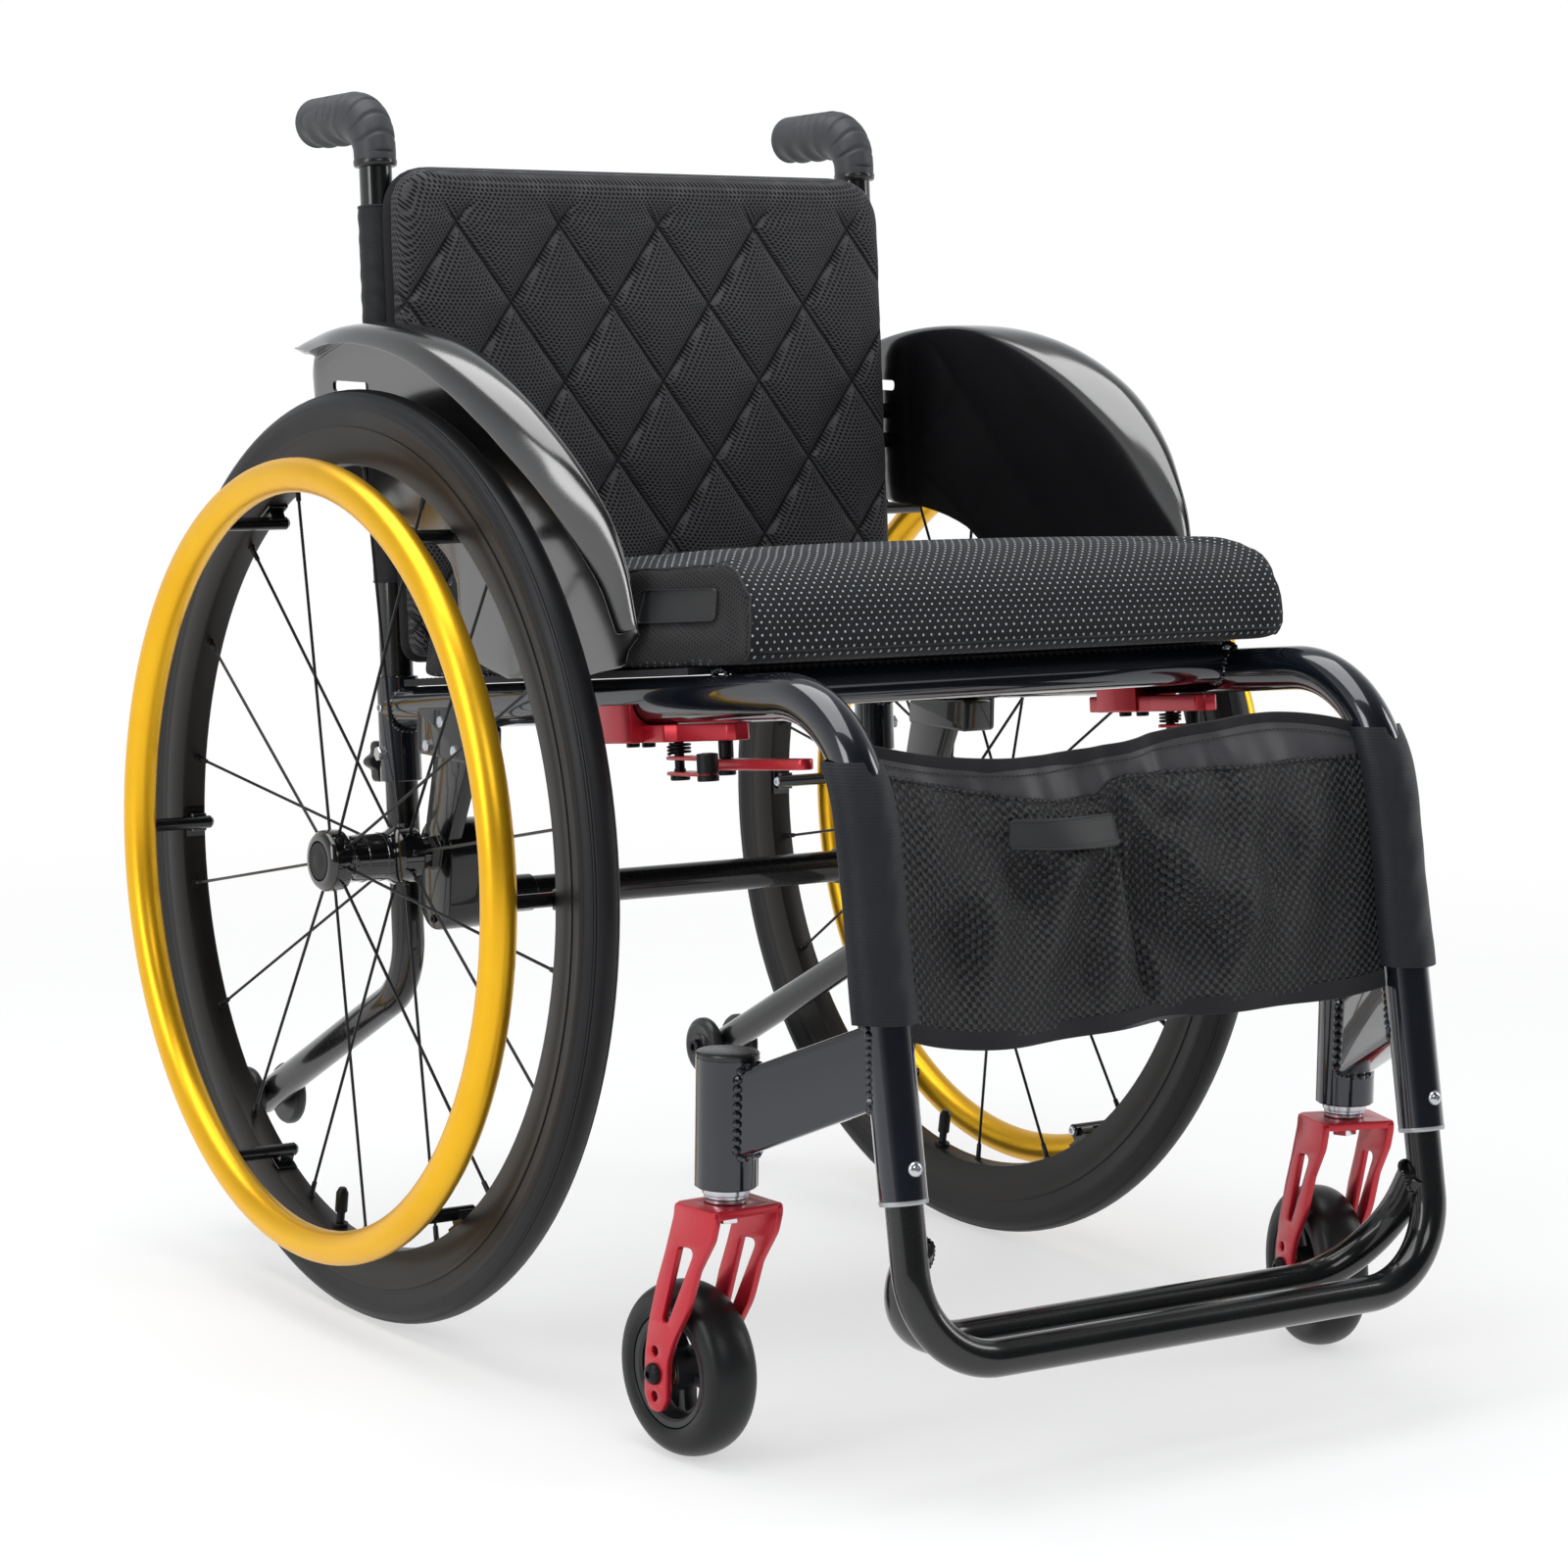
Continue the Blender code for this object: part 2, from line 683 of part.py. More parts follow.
def make_axle_carrier():
    """Clamp under the rail, leg, and the carrier that holds the axle and the crossbar."""
    low_ring = AXLE_Z - CROSSBAR_DROP
    ring = link((0, low_ring), (0, AXLE_Z), 0.020, 0.022, 6)
    keyhole = plate([ring], 0, CARRIER_OUT - CARRIER_IN, SIDE_VIEW)
    keyhole.transform(Matrix.Translation((-FRAME_HALF - CARRIER_OUT, 0, 0)))
    rail_low = rail_z(-0.03) - TUBE_R
    leg_top = rail_low - 0.006
    leg_low = AXLE_Z + 0.008
    leg = [(-0.052, leg_top), (-0.003, leg_top), (0.014, leg_low), (-0.018, leg_low)]
    leg_plate = plate([leg], 0, 0.0105, SIDE_VIEW)
    leg_plate.transform(Matrix.Translation((-FRAME_HALF - CARRIER_OUT - 0.0005, 0, 0)))
    clamp = block(
        (-FRAME_HALF + 0.0085, -FRAME_HALF - TUBE_R - 0.0035),
        (-0.067, 0.0),
        (rail_low - 0.019, rail_z(-0.067)),
    )
    nut = rod(
        on_right(FRAME_HALF + CARRIER_OUT - 0.001, 0, AXLE_Z),
        on_right(FRAME_HALF + NUT_OUT, 0, AXLE_Z),
        0.0125,
        10,
    )
    screws = []
    for y, up in ((-0.015, -0.0125), (-0.052, -0.0125), (-0.034, 0.005)):
        face = FRAME_HALF + TUBE_R + 0.0035
        height = rail_low + up
        screws.append(rod(on_right(face - 0.001, y, height), on_right(face + 0.0022, y, height), 0.0040, 6))
    axle_bore = bore(
        on_right(FRAME_HALF + CARRIER_IN - 0.01, 0, AXLE_Z),
        on_right(FRAME_HALF + NUT_OUT + 0.01, 0, AXLE_Z),
        AXLE_R + GAP,
        12,
    )
    bar_bore = bore(
        on_right(FRAME_HALF + CARRIER_IN - 0.01, 0, low_ring),
        on_right(FRAME_HALF - 0.004, 0, low_ring),
        CROSSBAR_R + GAP,
        12,
    )
    mesh = shaped(
        clamp,
        joined=[leg_plate, keyhole, nut] + screws,
        removed=[rail_bore(0.03, -0.12, TUBE_R + GAP), axle_bore, bar_bore],
    )
    add_pair("axle_carrier", mesh, "black_lacquer")


def make_crossbar():
    """The axle crossbar, with a collar against each carrier."""
    end = FRAME_HALF - 0.004 - GAP
    stop = FRAME_HALF + CARRIER_IN - GAP
    inner = FRAME_HALF + CROSSBAR_COLLAR
    half = [
        (end, 0),
        (end, CROSSBAR_R),
        (stop, CROSSBAR_R),
        (stop, CROSSBAR_COLLAR_R),
        (inner, CROSSBAR_COLLAR_R),
        (inner, CROSSBAR_R),
    ]
    profile = half + [(-along, radius) for along, radius in reversed(half)]
    mesh = turned(profile, 12, (0, 0, AXLE_Z - CROSSBAR_DROP), (1, 0, 0))
    add_piece("axle_crossbar", mesh, "black_lacquer")


def add_casters(name, mesh, finish, origin):
    """Adds a caster piece on both sides, each turned about its own stem to where it trails."""
    twin = mesh.copy()
    twin.transform(Matrix.Scale(-1, 4, (1, 0, 0)))
    twin.flip_normals()
    for side, form, turn in (
        ("right", mesh, RIGHT_CASTER_TURN),
        ("left", twin, LEFT_CASTER_TURN),
    ):
        sign = -1 if side == "right" else 1
        stem = Vector((sign * CASTER_X, CASTER_Y, 0))
        swing = Matrix.Translation(stem) @ Matrix.Rotation(turn, 4, "Z") @ Matrix.Translation(-stem)
        form.transform(swing)
        add_piece(f"{side}_{name}", form, finish, swing @ Vector((-sign * origin.x, origin.y, origin.z)))


def make_caster():
    """Fork, stem with its washers and nut, tyre, hub and axle bolt. The fork swivels freely."""
    swivel = on_right(CASTER_X, CASTER_Y, FORK_TOP)
    axle_y = CASTER_Y + CASTER_TRAIL
    axle = on_right(CASTER_X, axle_y, CASTER_R)
    top = FORK_TOP
    low = CASTER_R
    side = [
        (CASTER_Y + 0.0165, top),
        (CASTER_Y + 0.0172, top - 0.008),
        (CASTER_Y + 0.0256, top - 0.032),
        (axle_y - 0.0008, top - 0.051),
        (axle_y + 0.0068, low + 0.029),
        (axle_y + 0.0100, low + 0.010),
        (axle_y + 0.0100, low - 0.014),
        (axle_y + 0.0045, low - 0.0225),
        (axle_y - 0.0055, low - 0.0225),
        (axle_y - 0.0110, low - 0.014),
        (axle_y - 0.0112, low + 0.008),
        (axle_y - 0.0170, low + 0.022),
        (CASTER_Y + 0.0018, low + 0.043),
        (CASTER_Y - 0.0055, top - 0.038),
        (CASTER_Y - 0.0112, top - 0.0295),
        (CASTER_Y - 0.0190, top - 0.018),
        (CASTER_Y - 0.0226, top - 0.006),
        (CASTER_Y - 0.0222, top),
    ]
    wide = FORK_INNER + 2 * FORK_WALL
    body = plate([side], -wide / 2, wide / 2, SIDE_VIEW)
    body.transform(Matrix.Translation((-CASTER_X, 0, 0)))
    gap_box = block(
        (-CASTER_X - FORK_INNER / 2, -CASTER_X + FORK_INNER / 2),
        (CASTER_Y - 0.1, axle_y + 0.1),
        (-0.01, top - FORK_PLATE),
    )
    slot = [
        (CASTER_Y + 0.0122, top - 0.026),
        (CASTER_Y - 0.0035, top - 0.0245),
        (axle_y - 0.0122, low + 0.033),
        (axle_y - 0.0062, low + 0.0325),
    ]
    slot_cut = plate([slot], -wide, wide, SIDE_VIEW)
    slot_cut.transform(Matrix.Translation((-CASTER_X, 0, 0)))
    cuts = [gap_box, slot_cut]
    for lift, radius in ((-0.0135, 0.0030), (0.0, CASTER_BOLT_R + GAP), (0.0135, 0.0030)):
        left = Vector((-CASTER_X - wide, axle_y, low + lift))
        right = Vector((-CASTER_X + wide, axle_y, low + lift))
        cuts.append(bore(left, right, radius, 6))
    cuts.append(bore(swivel - Vector((0, 0, 0.02)), swivel + Vector((0, 0, 0.02)), STEM_R + GAP, 12))
    add_casters("caster_fork", shaped(body, removed=cuts), "red_anodised", swivel)

    stem = [
        (STEM_TOP - FORK_TOP, 0),
        (STEM_TOP - FORK_TOP, STEM_R),
        (HOUSING_GAP - GAP, STEM_R),
        (HOUSING_GAP - GAP, 0.0140),
        (HOUSING_GAP / 2 + 0.0004, 0.0140),
        (HOUSING_GAP / 2, 0.0130),
        (GAP, 0.0130),
        (GAP, STEM_R),
        (-FORK_PLATE - GAP, STEM_R),
        (-FORK_PLATE - GAP, 0.0085),
        (-FORK_PLATE - 0.0070, 0.0085),
        (-FORK_PLATE - 0.0070, 0),
    ]
    add_casters("caster_stem", turned(stem, 10, swivel, (0, 0, 1)), "steel", swivel)

    hub = CASTER_HUB_R
    tyre = [
        (CASTER_HALF * 0.55, CASTER_R),
        (-CASTER_HALF * 0.55, CASTER_R),
        (-CASTER_HALF, CASTER_R - 0.0065),
        (-CASTER_HALF, hub + 0.003),
        (-CASTER_HALF * 0.9, hub),
        (CASTER_HALF * 0.9, hub),
        (CASTER_HALF, hub + 0.003),
        (CASTER_HALF, CASTER_R - 0.0065),
    ]
    add_casters("caster_tyre", turned(tyre, CASTER_STEPS, axle, (-1, 0, 0), True), "tyre_rubber", axle)
    rim_low = hub - 0.0058
    boss = 0.0105
    half = [
        (0.0145, hub - GAP),
        (0.0145, rim_low),
        (0.0045, rim_low - 0.0008),
        (0.0045, boss + 0.0010),
        (CASTER_HALF, boss),
        (CASTER_HALF, CASTER_BOLT_R + GAP),
    ]
    profile = half + [(-along, radius) for along, radius in reversed(half)]
    wheel = turned(profile, CASTER_STEPS, axle, (-1, 0, 0), True)
    windows = []
    ring = (rim_low + boss) / 2
    for k in range(5):
        angle = 2 * math.pi * k / 5 + math.pi / 2
        middle = axle + Vector((0, ring * math.cos(angle), ring * math.sin(angle)))
        windows.append(rod(middle - Vector((0.03, 0, 0)), middle + Vector((0.03, 0, 0)), 0.0066, 6))
    add_casters("caster_hub", shaped(wheel, removed=windows), "black_plastic", axle)

    reach = wide / 2 + GAP
    bolt = [
        (reach + 0.0045, 0),
        (reach + 0.0045, 0.0065),
        (reach, 0.0065),
        (reach, CASTER_BOLT_R),
        (-reach, CASTER_BOLT_R),
        (-reach, 0.0065),
        (-reach - 0.0045, 0.0065),
        (-reach - 0.0045, 0),
    ]
    add_casters("caster_axle_bolt", turned(bolt, 8, axle, (-1, 0, 0)), "steel", axle)


def make_footrest():
    """The footrest tube that slides in both down tubes, with the heel bar welded behind it."""
    front = front_y(FOOT_BAR_Z)
    corners = [
        (-FRAME_HALF, front_y(FOOT_TOP), FOOT_TOP),
        (-FRAME_HALF, front, FOOT_BAR_Z),
        (FRAME_HALF, front, FOOT_BAR_Z),
        (FRAME_HALF, front_y(FOOT_TOP), FOOT_TOP),
    ]
    heel_z = FOOT_BAR_Z + HEEL_BAR_RISE
    heel_x = FRAME_HALF - 0.007
    run = (front + HEEL_BAR_BACK, FOOT_BAR_Z - HEEL_BAR_DROP)
    heel = [
        (-heel_x, front_y(heel_z) + 0.003, heel_z),
        (-heel_x, *run),
        (heel_x, *run),
        (heel_x, front_y(heel_z) + 0.003, heel_z),
    ]
    mesh = shaped(
        tube(bent(corners, FOOT_BEND, 4), INNER_R, 4),
        joined=[tube(bent(heel, HEEL_BAR_BEND, 5), HEEL_BAR_R, 3)],
    )
    add_piece("footrest", mesh, "black_lacquer", (0, front_y(FOOT_TOP), FOOT_TOP))
    seat = on_leg(LOCK_Z)
    face = seat + LEG_FRONT * (TUBE_R + GAP)
    head = rod(face + LEG_FRONT * 0.003, face, 0.0045, 8)
    stud = rod(face + LEG_FRONT * 0.001, seat + LEG_FRONT * (INNER_R + GAP + 0.0004), LOCK_R, 8)
    add_pair("footrest_lock_screw", shaped(head, joined=[stud]), "steel", face)


def grip_line(end_y, first_z):
    """The cane's line from a height, over its bend and back to a given depth."""
    top = RAIL_Z + BACK_TOP + 0.033
    corners = [on_cane(first_z), on_cane(top), on_right(FRAME_HALF, end_y, top - 0.004)]
    return bent(corners, GRIP_BEND, 4)


def make_back():
    """Canes that stand in the receivers, with a rubber grip and a fabric sleeve on each."""
    add_pair("back_cane", tube(grip_line(CANE_END_Y, CANE_FOOT), INNER_R, 4), "black_lacquer")

    collar = RAIL_Z + BACK_TOP
    path = grip_line(GRIP_END_Y, collar)
    bend = path[1:-1]
    end = path[-1]
    back = (end - bend[-1]).normalized()
    length = (end - bend[-1]).length
    points = [path[0], path[0] + (bend[0] - path[0]) * 0.6] + bend
    sizes = [GRIP_COLLAR_R, GRIP_COLLAR_R]
    for k in range(len(bend)):
        sizes.append(GRIP_COLLAR_R + (GRIP_R - GRIP_COLLAR_R) * (k + 1) / len(bend))
    # Three shallow finger waves, then the rounded end.
    for k in range(1, 7):
        points.append(bend[-1] + back * length * k / 7)
        sizes.append(GRIP_R - 0.0016 * (k % 2))
    points += [end - back * 0.003, end]
    sizes += [GRIP_R * 0.93, GRIP_R * 0.72]
    body = tube(points, GRIP_R, 3, sizes)
    room = grip_line(CANE_END_Y + 0.001, collar - 0.02)
    grow = (INNER_R + GAP) / math.cos(math.pi / 10)
    add_pair("grip", shaped(body, removed=[tube(room, grow, 3)]), "grip_rubber")

    low = RAIL_Z + 0.0765
    top = RAIL_Z + 0.3275
    window = (RAIL_Z + 0.2505, RAIL_Z + 0.2675)
    sleeve = rod(on_cane(low), on_cane(top), INNER_R + GAP + SLEEVE_WALL, 12)
    inside = bore(on_cane(low - 0.02), on_cane(top + 0.02), INNER_R + GAP, 12)
    middle = cane_y(sum(window) / 2)
    opening = block((-FRAME_HALF - 0.03, -FRAME_HALF + 0.03), (middle - 0.004, middle + 0.03), window)
    add_pair("back_sleeve", shaped(sleeve, removed=[inside, opening]), "black_fabric")


def make_anti_tipper():
    """A tube clamped in the receiver by a knob, with two small wheels on a bolt at its end."""
    end_y, end_z = TIPPER_END
    turn_z = RECEIVER_Z - TIPPER_TURN_DROP + 0.0055
    corners = [on_cane(TIPPER_HEAD), on_cane(turn_z), on_right(FRAME_HALF, end_y, end_z)]
    away = (corners[2] - corners[1]).normalized()
    axle = corners[2] - away * 0.0078
    half = TIPPER_WHEEL_WIDE / 2
    wheel_in = INNER_R + 0.0006
    wheel_out = wheel_in + 2 * half
    reach = wheel_out + GAP
    bolt = rod(axle - Vector((reach, 0, 0)), axle + Vector((reach, 0, 0)), TIPPER_BOLT_R, 8)
    heads = []
    for s in (-1, 1):
        inner = axle + Vector((s * (reach - 0.0002), 0, 0))
        heads.append(rod(inner, axle + Vector((s * (reach + 0.004), 0, 0)), 0.0065, 6))
    mesh = shaped(tube(bent(corners, TIPPER_BEND, 4), INNER_R, 4), joined=[bolt] + heads)
    add_pair("anti_tipper", mesh, "black_lacquer", corners[0])

    r = TIPPER_WHEEL_R
    profile = [
        (half * 0.60, r * 0.86),
        (half * 0.15, r),
        (-half * 0.60, r),
        (-half, r * 0.93),
        (-half, TIPPER_BOLT_R + GAP),
        (half, TIPPER_BOLT_R + GAP),
        (half, r * 0.45),
    ]
    for side, name in ((1, "outer_tip_wheel"), (-1, "inner_tip_wheel")):
        centre = axle + Vector((-side * (wheel_in + half), 0, 0))
        wheel = turned(profile, 12, centre, (-side, 0, 0), True)
        add_pair(name, wheel, "black_plastic", centre)

    face = on_cane(KNOB_Z, TUBE_R + 0.0012)
    star = []
    for k in range(24):
        angle = 2 * math.pi * k / 24
        radius = 0.0135 + 0.0020 * math.cos(6 * angle)
        star.append((radius * math.cos(angle), radius * math.sin(angle)))
    head = plate([star], 0, 0.011, aimed(face, CANE_BACK))
    stud = rod(on_cane(KNOB_Z, INNER_R + 0.0008), face + CANE_BACK * 0.002, KNOB_STUD_R, 8)
    add_pair("clamp_knob", shaped(head, joined=[stud]), "black_plastic", face)


def make_brake():
    """Bar and half clamp under the rail, lever, hinged arm with its roller, and the arm's spring."""
    bar_top = -TUBE_R - 0.0006
    bar_low = bar_top - BRAKE_BAR_THICK
    spring_low = bar_low - BRAKE_SPRING_TALL - GAP
    upper_low = spring_low - GAP - BRAKE_PLATE
    lever_top = upper_low - GAP
    lever_low = lever_top - BRAKE_LEVER_THICK
    lower_top = lever_low - GAP
    lower_low = lower_top - BRAKE_PLATE
    pin_low = lower_low - GAP
    a_out, a_along = BRAKE_A
    b_out, b_along = BRAKE_B

    rear = 0.208
    front = b_along + 0.0185
    outline = [
        (-0.0115, rear),
        (0.0085, rear),
        (0.0085, a_along + 0.004),
        (0.0040, a_along + 0.012),
        (b_out + 0.0085, front - 0.004),
        (b_out + 0.0045, front),
        (b_out - 0.0045, front),
        (b_out - 0.0085, front - 0.005),
        (-0.0170, a_along - 0.004),
    ]
    bar = plate([outline], bar_low, bar_top, UNDER_RAIL)
    clamp_outline = [(-0.0175, 0.2245), (0.0175, 0.2245), (0.0175, 0.2655), (-0.0175, 0.2655)]
    clamp = plate([clamp_outline], bar_low, -0.002, UNDER_RAIL)
    pins = []
    for out, along, radius, low in (
        (a_out, a_along, 0.0030, pin_low - 0.0001),
        (b_out, b_along, 0.0030, lower_top - 0.0001),
        (b_out, b_along, 0.0045, lever_top + GAP),
    ):
        pins.append(rod(under_rail(out, along, low), under_rail(out, along, bar_low + 0.002), radius, 6))
    for out, along, radius, top in (
        (a_out, a_along, 0.0060, pin_low),
        (b_out, b_along, 0.0055, lower_top),
    ):
        pins.append(rod(under_rail(out, along, top - 0.0030), under_rail(out, along, top), radius, 6))
    for along in (0.236, 0.254):
        foot = under_rail(-0.0025, along, bar_low - 0.0032)
        pins.append(rod(foot, under_rail(-0.0025, along, bar_low + 0.001), 0.0042, 6))
    mesh = shaped(
        bar,
        joined=[clamp] + pins,
        removed=[rail_bore(-0.15, -0.42, TUBE_R + GAP)],
    )
    add_pair("brake_mount", mesh, "red_anodised")

    tip = (b_out + 0.0055, b_along + 0.090)
    tail = (b_out - 0.0010, b_along - 0.0185)
    handle = plate([link((b_out, b_along), tip, 0.0085, 0.0055, 6)], lever_low, lever_top, UNDER_RAIL)
    stub = plate([link((b_out, b_along), tail, 0.0080, 0.0042, 4)], lever_low, lever_top, UNDER_RAIL)
    pin_room = bore(
        under_rail(b_out, b_along, lever_low - 0.01),
        under_rail(b_out, b_along, lever_top + 0.01),
        0.0030 + GAP,
        8,
    )
    lever = shaped(handle, joined=[stub], removed=[pin_room])
    add_pair("brake_lever", lever, "red_anodised", under_rail(b_out, b_along, (lever_low + lever_top) / 2))

    end = (a_out + BRAKE_ARM * math.sin(BRAKE_REST), a_along + BRAKE_ARM * math.cos(BRAKE_REST))
    outline = link((a_out, a_along), end, 0.0080, 0.0060, 5)
    upper = plate([outline], upper_low, upper_low + BRAKE_PLATE, UNDER_RAIL)
    lower = plate([outline], lower_low, lower_top, UNDER_RAIL)
    roller = rod(
        under_rail(*end, lower_low - 0.0030),
        under_rail(*end, upper_low + BRAKE_PLATE + 0.0045),
        BRAKE_ROLLER_R,
        10,
    )
    pin_room = bore(
        under_rail(a_out, a_along, lower_low - 0.01),
        under_rail(a_out, a_along, upper_low + 0.01),
        0.0030 + GAP,
        8,
    )
    arm = shaped(upper, joined=[roller, lower], removed=[pin_room])
    add_pair("brake_arm", arm, "red_anodised", under_rail(a_out, a_along, (lever_low + lever_top) / 2))

    wire = 0.0008
    curls = 3
    coil_r = 0.0066
    first = bar_low - GAP - wire
    last = spring_low + wire
    helix = []
    for k in range(curls * 8 + 1):
        angle = 2 * math.pi * k / 8
        up = first + (last - first) * k / (curls * 8)
        helix.append(under_rail(a_out + coil_r * math.cos(angle), a_along + coil_r * math.sin(angle), up))
    pitch = (first - last) / curls
    print(f"brake spring: least gap between curls {1000 * (pitch - 2 * wire):.2f} mm")
    add_pair("brake_spring", tube(helix, wire, 1), "steel")


def make_seat():
    """Fabric sling over the rails and the cushion on it."""
    wide = FRAME_HALF + CUSHION_MARGIN
    rear = 0.028
    front = CROSS_TUBE_Y + 0.018

    def on_sling(u, v, layer):
        y = rear + (front - rear) * v
        return Vector(((2 * u - 1) * (wide - 0.001), y, rail_z(y) + TUBE_R + GAP + layer * SLING_THICK))

    add_piece("seat_sling", from_form(grid_form(2, 2, on_sling, True)), "black_fabric")

    def on_cushion(u, v, layer):
        across = 2 * u - 1
        y = SEAT_REAR + (SEAT_FRONT - SEAT_REAR) * v
        base = rail_z(y) + TUBE_R + 2 * GAP + SLING_THICK
        if not layer:
            return Vector((across * wide, y, base))
        edge = min(v * (SEAT_REAR - SEAT_FRONT), 0.016) / 0.016
        side = min((1 - abs(across)) * wide, 0.020) / 0.020
        crown = CUSHION_CROWN * math.cos(math.pi / 2 * across) ** 0.5 * math.sin(math.pi * min(v * 4, 0.5))
        tall = CUSHION_THICK - 0.010 * (1 - side) ** 2 - 0.012 * (1 - edge) ** 2 + crown
        fall = min(y - SEAT_FRONT, WATERFALL) / WATERFALL
        tall *= 0.14 + 0.86 * math.sqrt(1 - (1 - fall) ** 2)
        return Vector((across * (wide - 0.002 * (1 - side)), y, base + tall))

    def spread(u, v, layer):
        # Rows crowd towards the front edge and columns towards the sides, where the form curves.
        v = 1 - (1 - v) ** 1.5
        across = 2 * u - 1
        across = math.copysign(1 - (1 - abs(across)) ** 1.4, across)
        return on_cushion((across + 1) / 2, v, layer)

    add_piece("seat_cushion", from_form(grid_form(12, 14, spread, True)), "black_fabric")


def make_backrest():
    """Quilted backrest pad in front of the canes."""
    wide = FRAME_HALF + 0.0015
    low = RAIL_Z + 0.0285
    high = RAIL_Z + BACK_TOP
    rear = INNER_R + GAP + SLEEVE_WALL + 2 * GAP
    quilt_x, quilt_z = 0.085, 0.110

    def on_pad(u, v, layer):
        across = 2 * u - 1
        z = low + (high - low) * v
        x = across * wide
        if not layer:
            return Vector((x, cane_y(z) - rear, z))
        side = min((1 - abs(across)) * wide, 0.022) / 0.022
        end = min(min(v, 1 - v) * (high - low), 0.022) / 0.022
        a = (x / quilt_x + (z - low) / quilt_z) % 1
        b = (x / quilt_x - (z - low) / quilt_z) % 1
        quilt = 0.0035 * min(math.sin(math.pi * a), math.sin(math.pi * b))
        deep = BACK_THICK - 0.0035 - 0.013 * (1 - min(side, end)) ** 1.5 + quilt * min(side, end)
        return Vector((x, cane_y(z) - rear - deep, z))

    add_piece("backrest_upholstery", from_form(grid_form(16, 10, on_pad, True)), "black_fabric")


def make_pouch():
    """Calf pouch hung between the down tubes, with a sleeve of cloth round each."""
    out = TUBE_R + GAP + POUCH_WALL
    top = RAIL_Z + 0.0165
    low = ARM_Z + POUCH_OVER_ARM
    behind = 0.0045
    reach = FRAME_HALF - TUBE_R - GAP - 0.0006
    path = rail_path(0)
    peak = max(range(len(path)), key=lambda k: path[k].z)
    climb = list(reversed(path[peak + 1 :]))

    def tube_y(z):
        return float(np.interp(z, [point.z for point in climb], [point.y for point in climb]))

    def on_cloth(u, v, layer):
        across = 2 * u - 1
        slack = 1 - across * across
        z_top = top + 0.0080 - 0.0260 * slack
        z_low = low - 0.0145 - 0.0140 * slack
        z = z_low + (z_top - z_low) * v
        folds = 0.0050 * math.sin(7.5 * across + 1.2) * math.sin(math.pi * v) + 0.0035 * math.sin(
            13 * across + 5 * v
        )
        sag = 0.012 * slack * math.sin(math.pi * (0.15 + 0.7 * v)) + folds * slack
        return Vector((across * reach, tube_y(z) + behind + sag + (layer - 0.5) * POUCH_WALL, z))

    room = (TUBE_R + GAP) / math.cos(math.pi / 12)
    sleeves = []
    holes = []
    for side in (-1, 1):
        line = [on_right(FRAME_HALF, tube_y(low), low)]
        line += [point for point in climb if low + 0.002 < point.z < top - 0.002]
        line.append(on_right(FRAME_HALF, tube_y(top), top))
        sleeves.append(tube([Vector((-side * point.x, point.y, point.z)) for point in line], out + 0.0004, 4))
        holes.append(tube([Vector((-side * point.x, point.y, point.z)) for point in climb], room, 4))
    cloth = from_form(grid_form(12, 5, on_cloth, True))
    add_piece("calf_pouch", shaped(cloth, joined=sleeves, removed=holes), "black_fabric")


